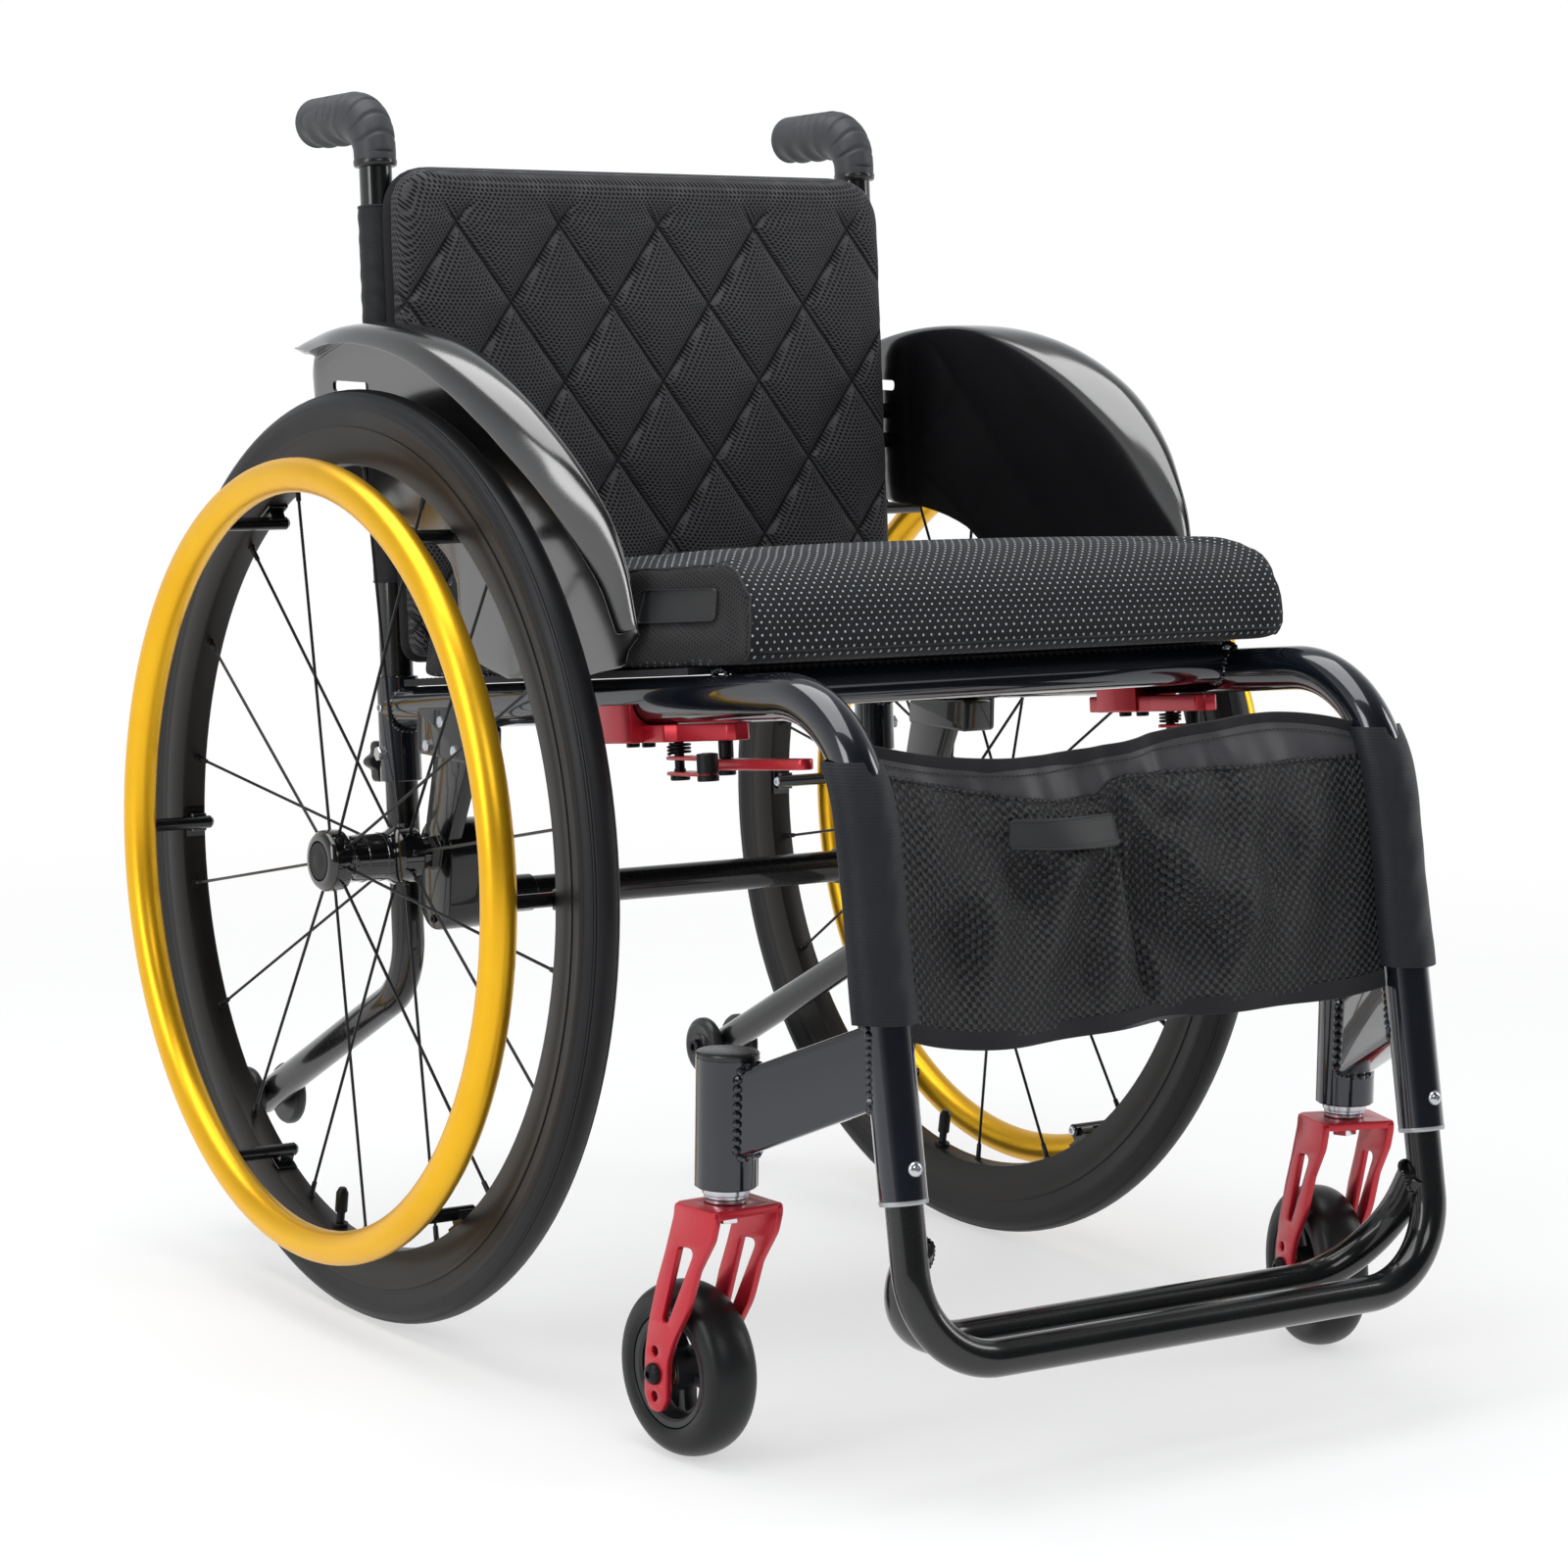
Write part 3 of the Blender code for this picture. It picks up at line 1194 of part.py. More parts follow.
def make_side_guard():
    """Moulded guard: a flat panel inside the wheel, curling out over the tyre."""
    r = WHEEL_R
    # Depth of the panel below its curl at angles up from straight ahead, in degrees.
    spread = [29, 31, 34, 40, 46, 53, 60, 68, 74, 82, 93, 105, 119]
    depth = [0.015, 0.045, 0.085, 0.120, 0.147, 0.160, 0.168, 0.165, 0.125, 0.114, 0.106, 0.096, 0.063]
    # Each row of the curl: its distance out, where it starts and ends, and its lift over the tyre.
    stations = [30, 36, 42, 50, 60, 75, 90, 105]
    curl = [
        (0.0000, 30.5, 115.0, [0.003, 0.018, 0.022, 0.026, 0.028, 0.036, 0.040, 0.040]),
        (0.0085, 33.5, 111.5, [0.020, 0.031, 0.035, 0.036, 0.036, 0.040, 0.042, 0.043]),
        (0.0235, 36.5, 110.0, [0.022, 0.032, 0.046, 0.051, 0.051, 0.047, 0.042, 0.040]),
        (0.0365, 39.0, 107.5, [0.010, 0.017, 0.031, 0.041, 0.044, 0.044, 0.042, 0.041]),
        (0.0485, 41.0, 103.0, [0.007, 0.010, 0.015, 0.029, 0.036, 0.040, 0.042, 0.042]),
    ]
    rows = len(curl)

    def on_shell(u, v, layer):
        level = int(v * (rows + 1) + 0.5)
        out, begin, stop, lifts = curl[max(level - 2, 0)]
        if level < 2:
            begin, stop = 29.5, 119 - 2 * level
        angle = begin + (stop - begin) * u ** 1.15
        radius = r + float(np.interp(angle, stations, lifts))
        if level < 2:
            bottom = r + 0.015 - float(np.interp(angle, spread, depth))
            radius = bottom + (radius - bottom) * level / 2
        turn = math.radians(angle)
        flare = float(np.interp(angle, [95, 103], [1.0, 0.85]))
        return on_right(GUARD_X + out * flare, -radius * math.cos(turn), AXLE_Z + radius * math.sin(turn))

    holder = add_cutter(from_form(grid_form(14, rows + 1, on_shell, False)))
    skin = holder.modifiers.new("Solidify", "SOLIDIFY")
    skin.thickness = GUARD_WALL
    skin.offset = 0
    skin.use_even_offset = True
    shell = evaluated(holder)
    parts = []
    for drop in GUARD_BOLT_DROPS:
        z = AXLE_Z + r - drop
        y = cane_y(z)
        inner = FRAME_HALF + INNER_R + GAP + SLEEVE_WALL + GAP
        parts.append(rod(on_right(inner, y, z), on_right(GUARD_X + 0.0008, y, z), 0.0055, 6))
        parts.append(rod(on_right(GUARD_X, y, z), on_right(GUARD_X + 0.0042, y, z), 0.0048, 6))
    slot_tall = (AXLE_Z + r - 0.0050, AXLE_Z + r + 0.0025)
    slot = block((-GUARD_X - 0.01, -GUARD_X + 0.01), (0.062, 0.112), slot_tall)
    add_pair("side_guard", shaped(shell, joined=parts, removed=[slot]), "black_plastic")


make_side_frame()
make_cross_tube()
make_wheel()
make_axle_carrier()
make_crossbar()
make_caster()
make_footrest()
make_back()
make_anti_tipper()
make_brake()
make_seat()
make_backrest()
make_pouch()
make_side_guard()
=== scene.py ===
"""A lightweight manual wheelchair in a plain studio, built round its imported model.

The chair stands on z = 0 and faces -Y, with the sitter's right at -X. Sizes are in metres.
"""

import json
import math

import bmesh
import bpy
import numpy as np
from mathutils import Matrix, Vector
from mathutils.bvhtree import BVHTree

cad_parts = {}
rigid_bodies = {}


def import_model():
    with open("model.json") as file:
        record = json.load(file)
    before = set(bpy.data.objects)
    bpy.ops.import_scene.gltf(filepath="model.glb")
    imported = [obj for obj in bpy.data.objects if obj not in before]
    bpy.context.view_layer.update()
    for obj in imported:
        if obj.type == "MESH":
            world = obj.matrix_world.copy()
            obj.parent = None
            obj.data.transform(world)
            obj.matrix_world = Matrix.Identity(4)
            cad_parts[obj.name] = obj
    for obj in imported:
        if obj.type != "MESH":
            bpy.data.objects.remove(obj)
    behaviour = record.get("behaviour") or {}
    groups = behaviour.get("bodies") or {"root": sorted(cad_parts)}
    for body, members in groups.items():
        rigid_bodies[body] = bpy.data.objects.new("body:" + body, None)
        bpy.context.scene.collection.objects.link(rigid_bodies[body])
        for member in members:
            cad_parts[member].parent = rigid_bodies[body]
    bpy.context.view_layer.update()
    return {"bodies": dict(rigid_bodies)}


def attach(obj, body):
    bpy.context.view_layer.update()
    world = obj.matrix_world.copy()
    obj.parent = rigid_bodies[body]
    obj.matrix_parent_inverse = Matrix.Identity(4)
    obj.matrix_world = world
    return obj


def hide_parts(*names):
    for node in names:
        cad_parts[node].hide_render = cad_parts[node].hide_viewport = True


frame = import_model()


# The studio
# A pale floor that runs out into a white backdrop, four soft boxes, and the camera a little above
# the seat, in front of the chair and to the sitter's right.
scene = bpy.context.scene
scene.view_settings.view_transform = "Standard"


def new_material(name):
    """An empty node material, with its tree and its output."""
    made = bpy.data.materials.new(name)
    made.use_nodes = True
    made.node_tree.nodes.clear()
    return made, made.node_tree, made.node_tree.nodes.new("ShaderNodeOutputMaterial")


def node(tree, kind, values=None, **settings):
    """Adds a node, with its settings and its inputs' values or incoming links."""
    made = tree.nodes.new(kind)
    for key, value in settings.items():
        setattr(made, key, value)
    for key, value in (values or {}).items():
        if isinstance(value, bpy.types.NodeSocket):
            tree.links.new(value, made.inputs[key])
        else:
            made.inputs[key].default_value = value
    return made


def calc(tree, operation, a, b=0.0, c=0.0, clamp=False):
    """The output of a Math node."""
    made = node(tree, "ShaderNodeMath", {0: a, 1: b, 2: c}, operation=operation)
    made.use_clamp = clamp
    return made.outputs[0]


def mapped(tree, value, start, end, to_start=0.0, to_end=1.0, smooth=False):
    """A value carried from one range to another, with soft ends where asked."""
    ranges = {"Value": value, "From Min": start, "From Max": end, "To Min": to_start, "To Max": to_end}
    kind = "SMOOTHSTEP" if smooth else "LINEAR"
    return node(tree, "ShaderNodeMapRange", ranges, interpolation_type=kind).outputs["Result"]


def object_point(tree):
    """The point being shaded, in the piece's own coordinates."""
    return node(tree, "ShaderNodeTexCoord").outputs["Object"]


def placed(name, data):
    """A new object, put in the scene."""
    made = bpy.data.objects.new(name, data)
    scene.collection.objects.link(made)
    return made


def full_turn(count):
    """Even angles round a circle, in radians."""
    return [2 * math.pi * k / count for k in range(count)]


def seen_rays(tree):
    """1 for the rays that show the background: straight from the camera, mirrored or let through."""
    path = node(tree, "ShaderNodeLightPath")
    both = calc(tree, "ADD", path.outputs["Is Camera Ray"], path.outputs["Is Glossy Ray"])
    return calc(tree, "ADD", both, path.outputs["Is Transmission Ray"], clamp=True)


floor_mesh = bpy.data.meshes.new("floor")
FLOOR_R, FLOOR_SIDES = 26, 64
floor_rim = [(FLOOR_R * math.cos(a), FLOOR_R * math.sin(a), 0) for a in full_turn(FLOOR_SIDES)]
floor_mesh.from_pydata(floor_rim, [], [list(range(FLOOR_SIDES))])
placed("studio_floor", floor_mesh)
floor_paint, tree, out = new_material("pale_floor")
# Near the chair the floor keeps some shade, and it is plain white from 2.4 m out.
away = node(tree, "ShaderNodeVectorMath", {0: object_point(tree)}, operation="LENGTH").outputs["Value"]
fade = mapped(tree, away, 0.75, 2.4, 0.55, smooth=True)
shade = node(tree, "ShaderNodeBsdfPrincipled", {"Base Color": (0.90, 0.905, 0.915, 1), "Roughness": 0.62})
white = node(tree, "ShaderNodeEmission", {"Color": (1, 1, 1, 1), "Strength": 1.0})
share = calc(tree, "MULTIPLY", fade, seen_rays(tree))
mixed = node(tree, "ShaderNodeMixShader", {0: share, 1: shade.outputs[0], 2: white.outputs[0]})
tree.links.new(mixed.outputs[0], out.inputs["Surface"])
floor_mesh.materials.append(floor_paint)

world = bpy.data.worlds.new("studio")
scene.world = world
world.use_nodes = True
tree = world.node_tree
tree.nodes.clear()
sky = node(tree, "ShaderNodeTexCoord").outputs["Generated"]
parts = node(tree, "ShaderNodeSeparateXYZ", {0: sky})
# The back and the sides of the room are white, and it is dimmer behind the camera.
front = mapped(tree, parts.outputs["Y"], -0.75, 0.35, 0.10, 0.92, smooth=True)
top = mapped(tree, parts.outputs["Z"], 0.10, 0.75, 1.0, 0.45)
mirrored = calc(tree, "MULTIPLY", front, top)
path = node(tree, "ShaderNodeLightPath")
glossy = calc(tree, "ADD", path.outputs["Is Glossy Ray"], path.outputs["Is Transmission Ray"], clamp=True)
room = node(tree, "ShaderNodeMix", {"Factor": glossy, "A": 0.50, "B": mirrored}, data_type="FLOAT")
level = node(
    tree, "ShaderNodeMix", {"Factor": path.outputs["Is Camera Ray"], "A": room.outputs[0], "B": 1.04},
    data_type="FLOAT"
)
back = node(tree, "ShaderNodeBackground", {"Color": (0.97, 0.985, 1, 1), "Strength": level.outputs[0]})
tree.links.new(back.outputs[0], node(tree, "ShaderNodeOutputWorld").inputs["Surface"])


def soft_box(name, place, target, size, watts):
    """A rectangular lamp turned to a point."""
    lamp = bpy.data.lights.new(name, "AREA")
    lamp.shape = "RECTANGLE"
    lamp.size, lamp.size_y = size
    lamp.energy = watts
    holder = placed(name, lamp)
    holder.location = place
    holder.rotation_euler = (Vector(target) - Vector(place)).to_track_quat("-Z", "Y").to_euler()


soft_box("overhead_box", (-0.5, 0.3, 2.9), (0, 0, 0.3), (2.6, 2.2), 62)
soft_box("left_box", (-3.0, -0.5, 1.6), (0, 0, 0.4), (0.9, 2.2), 34)
soft_box("right_box", (2.9, -1.3, 1.7), (0, 0, 0.4), (0.8, 2.2), 26)
soft_box("front_box", (-0.6, -3.4, 2.4), (0, 0, 0.3), (1.6, 1.0), 20)

CAMERA_AT, FOCAL_MM, SENSOR_MM = (-1.48850655, -2.19498373, 0.69265082), 92.894, 36
camera = placed("camera", bpy.data.cameras.new("camera"))
scene.camera = camera
camera.data.lens, camera.data.sensor_width = FOCAL_MM, SENSOR_MM
camera.data.clip_end = 100
yaw, pitch, roll = (math.radians(a) for a in (34.0262706, -7.29153169, 0.84436419))
ahead = Vector((math.sin(yaw) * math.cos(pitch), math.cos(yaw) * math.cos(pitch), math.sin(pitch)))
level_right = Vector((math.cos(yaw), -math.sin(yaw), 0))
level_up = level_right.cross(ahead)
camera_right = level_right * math.cos(roll) + level_up * math.sin(roll)
camera_up = level_up * math.cos(roll) - level_right * math.sin(roll)
turn = Matrix((camera_right, camera_up, -ahead)).transposed().to_4x4()
camera.matrix_world = Matrix.Translation(CAMERA_AT) @ turn


# Side frames
# Each side is one bent aluminium tube, with a receiver for the back cane welded at the rear and a
# box arm with the caster's housing welded outside the down tube. The lacquer is a near-black navy
# under a clear coat, and the welds show as rows of small beads.
AXLE_Y, AXLE_Z = 0.127885, 0.305
FRAME_X = 0.1945
TUBE_R, INNER_R = 0.0140, 0.0110
RAIL_SLOPE, RECLINE, FRONT_LEAN = (math.tan(math.radians(a)) for a in (6.43, 5.41, 11.03))
# The rail's height over the axle, the cane's place on the rail, and the corner over the front tube.
RAIL_Z, CANE_FOOT = 0.4015, 0.0568
CORNER = (-0.4773, RAIL_Z + RAIL_SLOPE * 0.4773)
STEM_X, STEM_Y, HOUSING_Z = 0.2365, -0.415, 0.167
ACROSS, UP = Vector((1, 0, 0)), Vector((0, 0, 1))
cane_way = Vector((0, RECLINE, 1)).normalized()
cane_back = Vector((0, 1, -RECLINE)).normalized()
leg_way = Vector((0, FRONT_LEAN, 1)).normalized()
leg_front = Vector((0, -1, FRONT_LEAN)).normalized()


def at(out, y, z):
    """A point on the sitter's right, with y measured back from the rear axle."""
    return Vector((-out, y + AXLE_Y, z))


def rail_z(y):
    """The rail's height, at a depth."""
    return RAIL_Z - RAIL_SLOPE * y


def cane_y(z):
    """The cane's depth, at a height."""
    return CANE_FOOT + RECLINE * (z - rail_z(CANE_FOOT))


def front_y(z):
    """The down tube's depth, at a height."""
    return CORNER[0] + FRONT_LEAN * (z - CORNER[1])


def on_cane(z, back=0.0):
    """A point on the right cane's centre line, or behind it."""
    return at(FRAME_X, cane_y(z), z) + cane_back * back


def on_leg(z, front=0.0):
    """A point on the right down tube's centre line, or in front of it."""
    return at(FRAME_X, front_y(z), z) + leg_front * front


def tint(red, green, blue):
    """A colour as it looks on a screen, from 0 to 255, for a shader's socket."""
    return tuple(
        ((v / 255 + 0.055) / 1.055) ** 2.4 if v > 10 else v / 3294.6 for v in (red, green, blue)
    ) + (1,)


def tidied(mesh):
    """Merges a mesh's doubled points and turns its faces out."""
    form = bmesh.new()
    form.from_mesh(mesh)
    bmesh.ops.remove_doubles(form, verts=form.verts, dist=1e-6)
    bmesh.ops.recalc_face_normals(form, faces=form.faces)
    form.to_mesh(mesh)
    form.free()
    return mesh


def mesh_of(points, faces, uvs=None):
    """A tidied mesh from its points and faces, with its uv map in metres."""
    mesh = bpy.data.meshes.new("shape")
    mesh.from_pydata([tuple(p) for p in points], [], faces)
    layer = mesh.uv_layers.new(name="cloth")
    if uvs is not None:
        layer.data.foreach_set("uv", np.array(uvs, np.float32).ravel())
    return tidied(mesh)


def baked(holder):
    """The mesh of an object with its modifiers applied. The object itself goes."""
    mesh = bpy.data.meshes.new_from_object(holder.evaluated_get(bpy.context.evaluated_depsgraph_get()))
    bpy.data.objects.remove(holder)
    return mesh


def skinned(rings):
    """A closed form through rings of points, capped at both ends."""
    sides, last = len(rings[0]), len(rings) - 1
    faces = []
    for low, high in ((r * sides, (r + 1) * sides) for r in range(last)):
        for k in range(sides):
            n = (k + 1) % sides
            faces.append((low + k, low + n, high + n, high + k))
    faces += [tuple(range(sides)), tuple(last * sides + k for k in range(sides))]
    return mesh_of([p for ring in rings for p in ring], faces)


def circle(radius, sides, tall=None):
    """Points of a circle, or of an oval."""
    return [(radius * math.cos(a), (tall or radius) * math.sin(a)) for a in full_turn(sides)]


def swept(path, section, closed=False, sizes=None, first=None):
    """A section carried along a path. It keeps its turn, or starts with its first axis as given."""
    path = [Vector(p) for p in path]
    count, sides = len(path), len(section)
    step = lambda k: path[k % count] if closed else path[min(max(k, 0), count - 1)]
    ways = [(step(k + 1) - step(k - 1)).normalized() for k in range(count)]
    across = Vector(first) if first is not None else ways[0].orthogonal()
    rings, frames = [], []
    for way in ways:
        across = (across - way * across.dot(way)).normalized()
        frames.append((across.copy(), way.cross(across)))
    if closed and first is None:
        # The turn left over after one round is shared out along the path.
        home = (across - ways[0] * across.dot(ways[0])).normalized()
        left = math.atan2(home.dot(frames[0][1]), home.dot(frames[0][0]))
        for k in range(count):
            spin = Matrix.Rotation(-left * k / count, 3, ways[k])
            frames[k] = (spin @ frames[k][0], spin @ frames[k][1])
    for k, (a, b) in enumerate(frames):
        size = sizes[k] if sizes else 1.0
        rings.append([path[k] + a * (u * size) + b * (v * size) for u, v in section])
    around = [0.0]
    for i in range(sides):
        p, q = section[i], section[(i + 1) % sides]
        around.append(around[-1] + math.hypot(q[0] - p[0], q[1] - p[1]))
    along = [0.0]
    for k in range(count):
        along.append(along[-1] + (step(k + 1) - path[k]).length)
    faces, uvs = [], []
    for k in range(count if closed else count - 1):
        j = (k + 1) % count
        for i in range(sides):
            n = (i + 1) % sides
            faces.append((k * sides + i, k * sides + n, j * sides + n, j * sides + i))
            uvs += [
                (around[i], along[k]), (around[i + 1], along[k]), (around[i + 1], along[k + 1]),
                (around[i], along[k + 1])
            ]
    if not closed:
        for k in (0, count - 1):
            faces.append(tuple(k * sides + i for i in range(sides)))
            uvs += [section[i] for i in range(sides)]
    return mesh_of([p for ring in rings for p in ring], faces, uvs)


def tube(path, radius, sides=28, closed=False, edge=0.0005, sizes=None):
    """A round tube with slightly broken edges at its ends."""
    path = [Vector(p) for p in path]
    if closed:
        return swept(path, circle(radius, sides), True)
    sizes = list(sizes) if sizes else [1.0] * len(path)
    lead = (path[1] - path[0]).normalized() * edge
    tail = (path[-1] - path[-2]).normalized() * edge
    line = [path[0], path[0] + lead, *path[1:-1], path[-1] - tail, path[-1]]
    sizes = [sizes[0] - edge / radius, sizes[0], *sizes[1:-1], sizes[-1], sizes[-1] - edge / radius]
    return swept(line, circle(radius, sides), sizes=sizes)


def bent(corners, radius, steps=14):
    """Points along straight runs joined by round bends."""
    corners = [Vector(c) for c in corners]
    path = [corners[0]]
    for before, corner, after in zip(corners, corners[1:], corners[2:]):
        arrive, leave = (corner - before).normalized(), (after - corner).normalized()
        angle = arrive.angle(leave)
        start = corner - arrive * radius * math.tan(angle / 2)
        centre = corner + (leave - arrive).normalized() * radius / math.cos(angle / 2)
        axis = arrive.cross(leave).normalized()
        path += [
            centre + Matrix.Rotation(angle * k / steps, 3, axis) @ (start - centre) for k in range(steps + 1)
        ]
    return path + [corners[-1]]


def spun(profile, centre, axis, steps=64, closed=False):
    """Points (along, radius) turned about an axis."""
    axis = Vector(axis).normalized()
    a = axis.orthogonal().normalized()
    b = axis.cross(a)
    points, faces, rows = [], [], []
    for along, radius in profile:
        base = Vector(centre) + axis * along
        if radius < 1e-7:
            rows.append([len(points)] * steps)
            points.append(base)
            continue
        rows.append([len(points) + k for k in range(steps)])
        points += [base + (a * math.cos(t) + b * math.sin(t)) * radius for t in full_turn(steps)]
    pairs = list(zip(rows, rows[1:])) + ([(rows[-1], rows[0])] if closed else [])
    for low, high in pairs:
        for k in range(steps):
            face = list(dict.fromkeys((low[k], low[(k + 1) % steps], high[(k + 1) % steps], high[k])))
            if len(face) > 2:
                faces.append(face)
    return mesh_of(points, faces)


def pin(start, end, radius, edge=0.0004, steps=24):
    """A round pin or bolt with broken edges."""
    way = Vector(end) - Vector(start)
    long = way.length
    profile = [
        (0, 0), (0, radius - edge), (edge, radius), (long - edge, radius), (long, radius - edge), (long, 0)
    ]
    return spun(profile, start, way, steps)


def slab(outline, low, high, matrix, holes=(), edge=0.0006):
    """A flat plate between two heights, with rounded edges and holes."""
    curve = bpy.data.curves.new("slab", "CURVE")
    curve.dimensions = "2D"
    curve.fill_mode = "BOTH"
    curve.extrude = (high - low) / 2 - edge
    curve.bevel_depth = edge
    curve.bevel_resolution = 1
    curve.offset = -edge
    for loop in [outline, *holes]:
        line = curve.splines.new("POLY")
        line.points.add(len(loop) - 1)
        line.use_cyclic_u = True
        for k, (u, v) in enumerate(loop):
            line.points[k].co = (u, v, 0, 1)
    mesh = baked(placed("slab", curve))
    mesh.transform(matrix @ Matrix.Translation((0, 0, (high + low) / 2)))
    return tidied(mesh)


def rounded(corners, radius, steps=5):
    """A closed outline with each corner rounded. A radius may be given for each corner."""
    out, count = [], len(corners)
    for k in range(count):
        p, c, n = (Vector(corners[j % count]) for j in (k - 1, k, k + 1))
        r = radius[k] if hasattr(radius, "__len__") else radius
        arrive, leave = (c - p).normalized(), (n - c).normalized()
        turn = arrive.angle(leave, 0)
        reach = min(r * math.tan(turn / 2), (c - p).length * 0.49, (n - c).length * 0.49)
        if reach < 1e-6:
            out.append(tuple(c))
            continue
        start, end = c - arrive * reach, c + leave * reach
        for j in range(steps + 1):
            t = j / steps
            out.append(tuple(start * (1 - t) ** 2 + c * 2 * t * (1 - t) + end * t * t))
    return out


def moved(mesh, matrix):
    """A copy of a mesh put somewhere else."""
    made = mesh.copy()
    made.transform(matrix)
    if matrix.determinant() < 0:
        made.flip_normals()
    return made


MIRROR = Matrix.Diagonal((-1, 1, 1, 1))


def piece(name, parts, body, nodes=(), sharp=32):
    """One object from meshes and their materials. It rides on a body and stands for CAD nodes."""
    form = bmesh.new()
    paints = []
    for mesh, paint in parts:
        if paint not in paints:
            paints.append(paint)
        first = len(form.faces)
        form.from_mesh(mesh)
        form.faces.ensure_lookup_table()
        for face in form.faces[first:]:
            face.material_index = paints.index(paint)
    mesh = bpy.data.meshes.new(name)
    form.to_mesh(mesh)
    form.free()
    for paint in paints:
        mesh.materials.append(paint)
    mesh.shade_smooth()
    mesh.set_sharp_from_angle(angle=math.radians(sharp))
    made = placed(name, mesh)
    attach(made, body)
    if nodes:
        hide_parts(*nodes)
    return made


def pair(name, parts, body, nodes=(), sharp=32):
    """The right-hand piece and its mirror image, each on its own side's body."""
    made = []
    for side, matrix in (("right", Matrix.Identity(4)), ("left", MIRROR)):
        carrier = body if body in frame["bodies"] else f"{side}_{body}"
        shapes = [(moved(mesh, matrix), paint) for mesh, paint in parts]
        made.append(
            piece(f"{side}_{name}_look", shapes, carrier, [f"{side}_{n}" for n in nodes], sharp)
        )
    return made


def value_group(name, inputs, outputs):
    """A shader group with named inputs and outputs."""
    group = bpy.data.node_groups.new(name, "ShaderNodeTree")
    for label, kind, value in inputs:
        socket = group.interface.new_socket(label, in_out="INPUT", socket_type=kind)
        if value is not None:
            socket.default_value = value
    for label in outputs:
        group.interface.new_socket(label, in_out="OUTPUT", socket_type="NodeSocketFloat")
    return group, group.nodes.new("NodeGroupInput").outputs, group.nodes.new("NodeGroupOutput").inputs


VECTOR, FLOAT = "NodeSocketVector", "NodeSocketFloat"

# Fine grain: an uneven tone and roughness, and a low relief, as on lacquer, rubber and castings.
GRAIN, given, gives = value_group(
    "fine_grain",
    [("Vector", VECTOR, None), ("Scale", FLOAT, 300.0), ("Low", FLOAT, 0.2), ("High", FLOAT, 0.3)],
    ["Tone", "Roughness", "Height"],
)
broad = node(GRAIN, "ShaderNodeTexNoise", {"Vector": given["Vector"], "Scale": 14.0, "Detail": 3.0})
fine = node(GRAIN, "ShaderNodeTexNoise", {"Vector": given["Vector"], "Scale": given["Scale"], "Detail": 3.0})
both = calc(GRAIN, "MULTIPLY_ADD", broad.outputs[0], 0.6, calc(GRAIN, "MULTIPLY", fine.outputs[0], 0.4))
rough = mapped(GRAIN, both, 0.3, 0.7, given["Low"], given["High"])
GRAIN.links.new(both, gives["Tone"])
GRAIN.links.new(rough, gives["Roughness"])
GRAIN.links.new(fine.outputs[0], gives["Height"])


def principled(tree, out, values):
    """A Principled shader with its values or links, wired to the output."""
    shader = node(tree, "ShaderNodeBsdfPrincipled", values)
    tree.links.new(shader.outputs[0], out.inputs["Surface"])


def blended(tree, factor, low, high):
    """A colour between two others."""
    return node(tree, "ShaderNodeMix", {"Factor": factor, 6: low, 7: high}, data_type="RGBA").outputs[2]


def bumped(tree, height, strength, depth):
    """The normal of a relief, from its height, its strength and its depth in metres."""
    return node(
        tree, "ShaderNodeBump", {"Strength": strength, "Distance": depth, "Height": height}
    ).outputs[0]


def grain_at(tree, spot, scale, roughness):
    """The fine grain at a scale, its roughness kept between two values."""
    low, high = roughness
    values = {"Vector": spot, "Scale": scale, "Low": low, "High": high}
    return node(tree, "ShaderNodeGroup", values, node_tree=GRAIN).outputs


def grained(name, dark, light, roughness, metallic=0.0, scale=300.0, relief=0.08, depth=0.0002, **more):
    """A hard material with fine grain: two tones, a roughness range and a low relief."""
    made, tree, out = new_material(name)
    grain = grain_at(tree, object_point(tree), scale, roughness)
    values = {
        "Base Color": blended(tree, grain["Tone"], dark, light),
        "Roughness": grain["Roughness"],
        "Metallic": metallic,
        "Normal": bumped(tree, grain["Height"], relief, depth),
    }
    values.update({key.replace("_", " "): value for key, value in more.items()})
    principled(tree, out, values)
    return made


def geometry_tree(name, inputs):
    """A Geometry Nodes tree with named inputs, its input and output nodes."""
    tree = bpy.data.node_groups.new(name, "GeometryNodeTree")
    tree.interface.new_socket("Geometry", in_out="INPUT", socket_type="NodeSocketGeometry")
    for label, kind in inputs.items():
        tree.interface.new_socket(label, in_out="INPUT", socket_type=kind)
    tree.interface.new_socket("Geometry", in_out="OUTPUT", socket_type="NodeSocketGeometry")
    return tree, tree.nodes.new("NodeGroupInput").outputs, tree.nodes.new("NodeGroupOutput").inputs


def grown(tree, base, **values):
    """The plain mesh that a tree makes from a base mesh and its inputs' values."""
    holder = placed("grown", base)
    modifier = holder.modifiers.new("grow", "NODES")
    modifier.node_group = tree
    for item in tree.interface.items_tree:
        if item.in_out == "INPUT" and item.name in values:
            modifier[item.identifier] = values[item.name]
    return baked(holder)


def line_mesh(points, closed=False):
    """A mesh of edges only, for a tree to follow."""
    count = len(points)
    edges = [(k, (k + 1) % count) for k in range(count if closed else count - 1)]
    mesh = bpy.data.meshes.new("line")
    mesh.from_pydata([tuple(p) for p in points], edges, [])
    return mesh


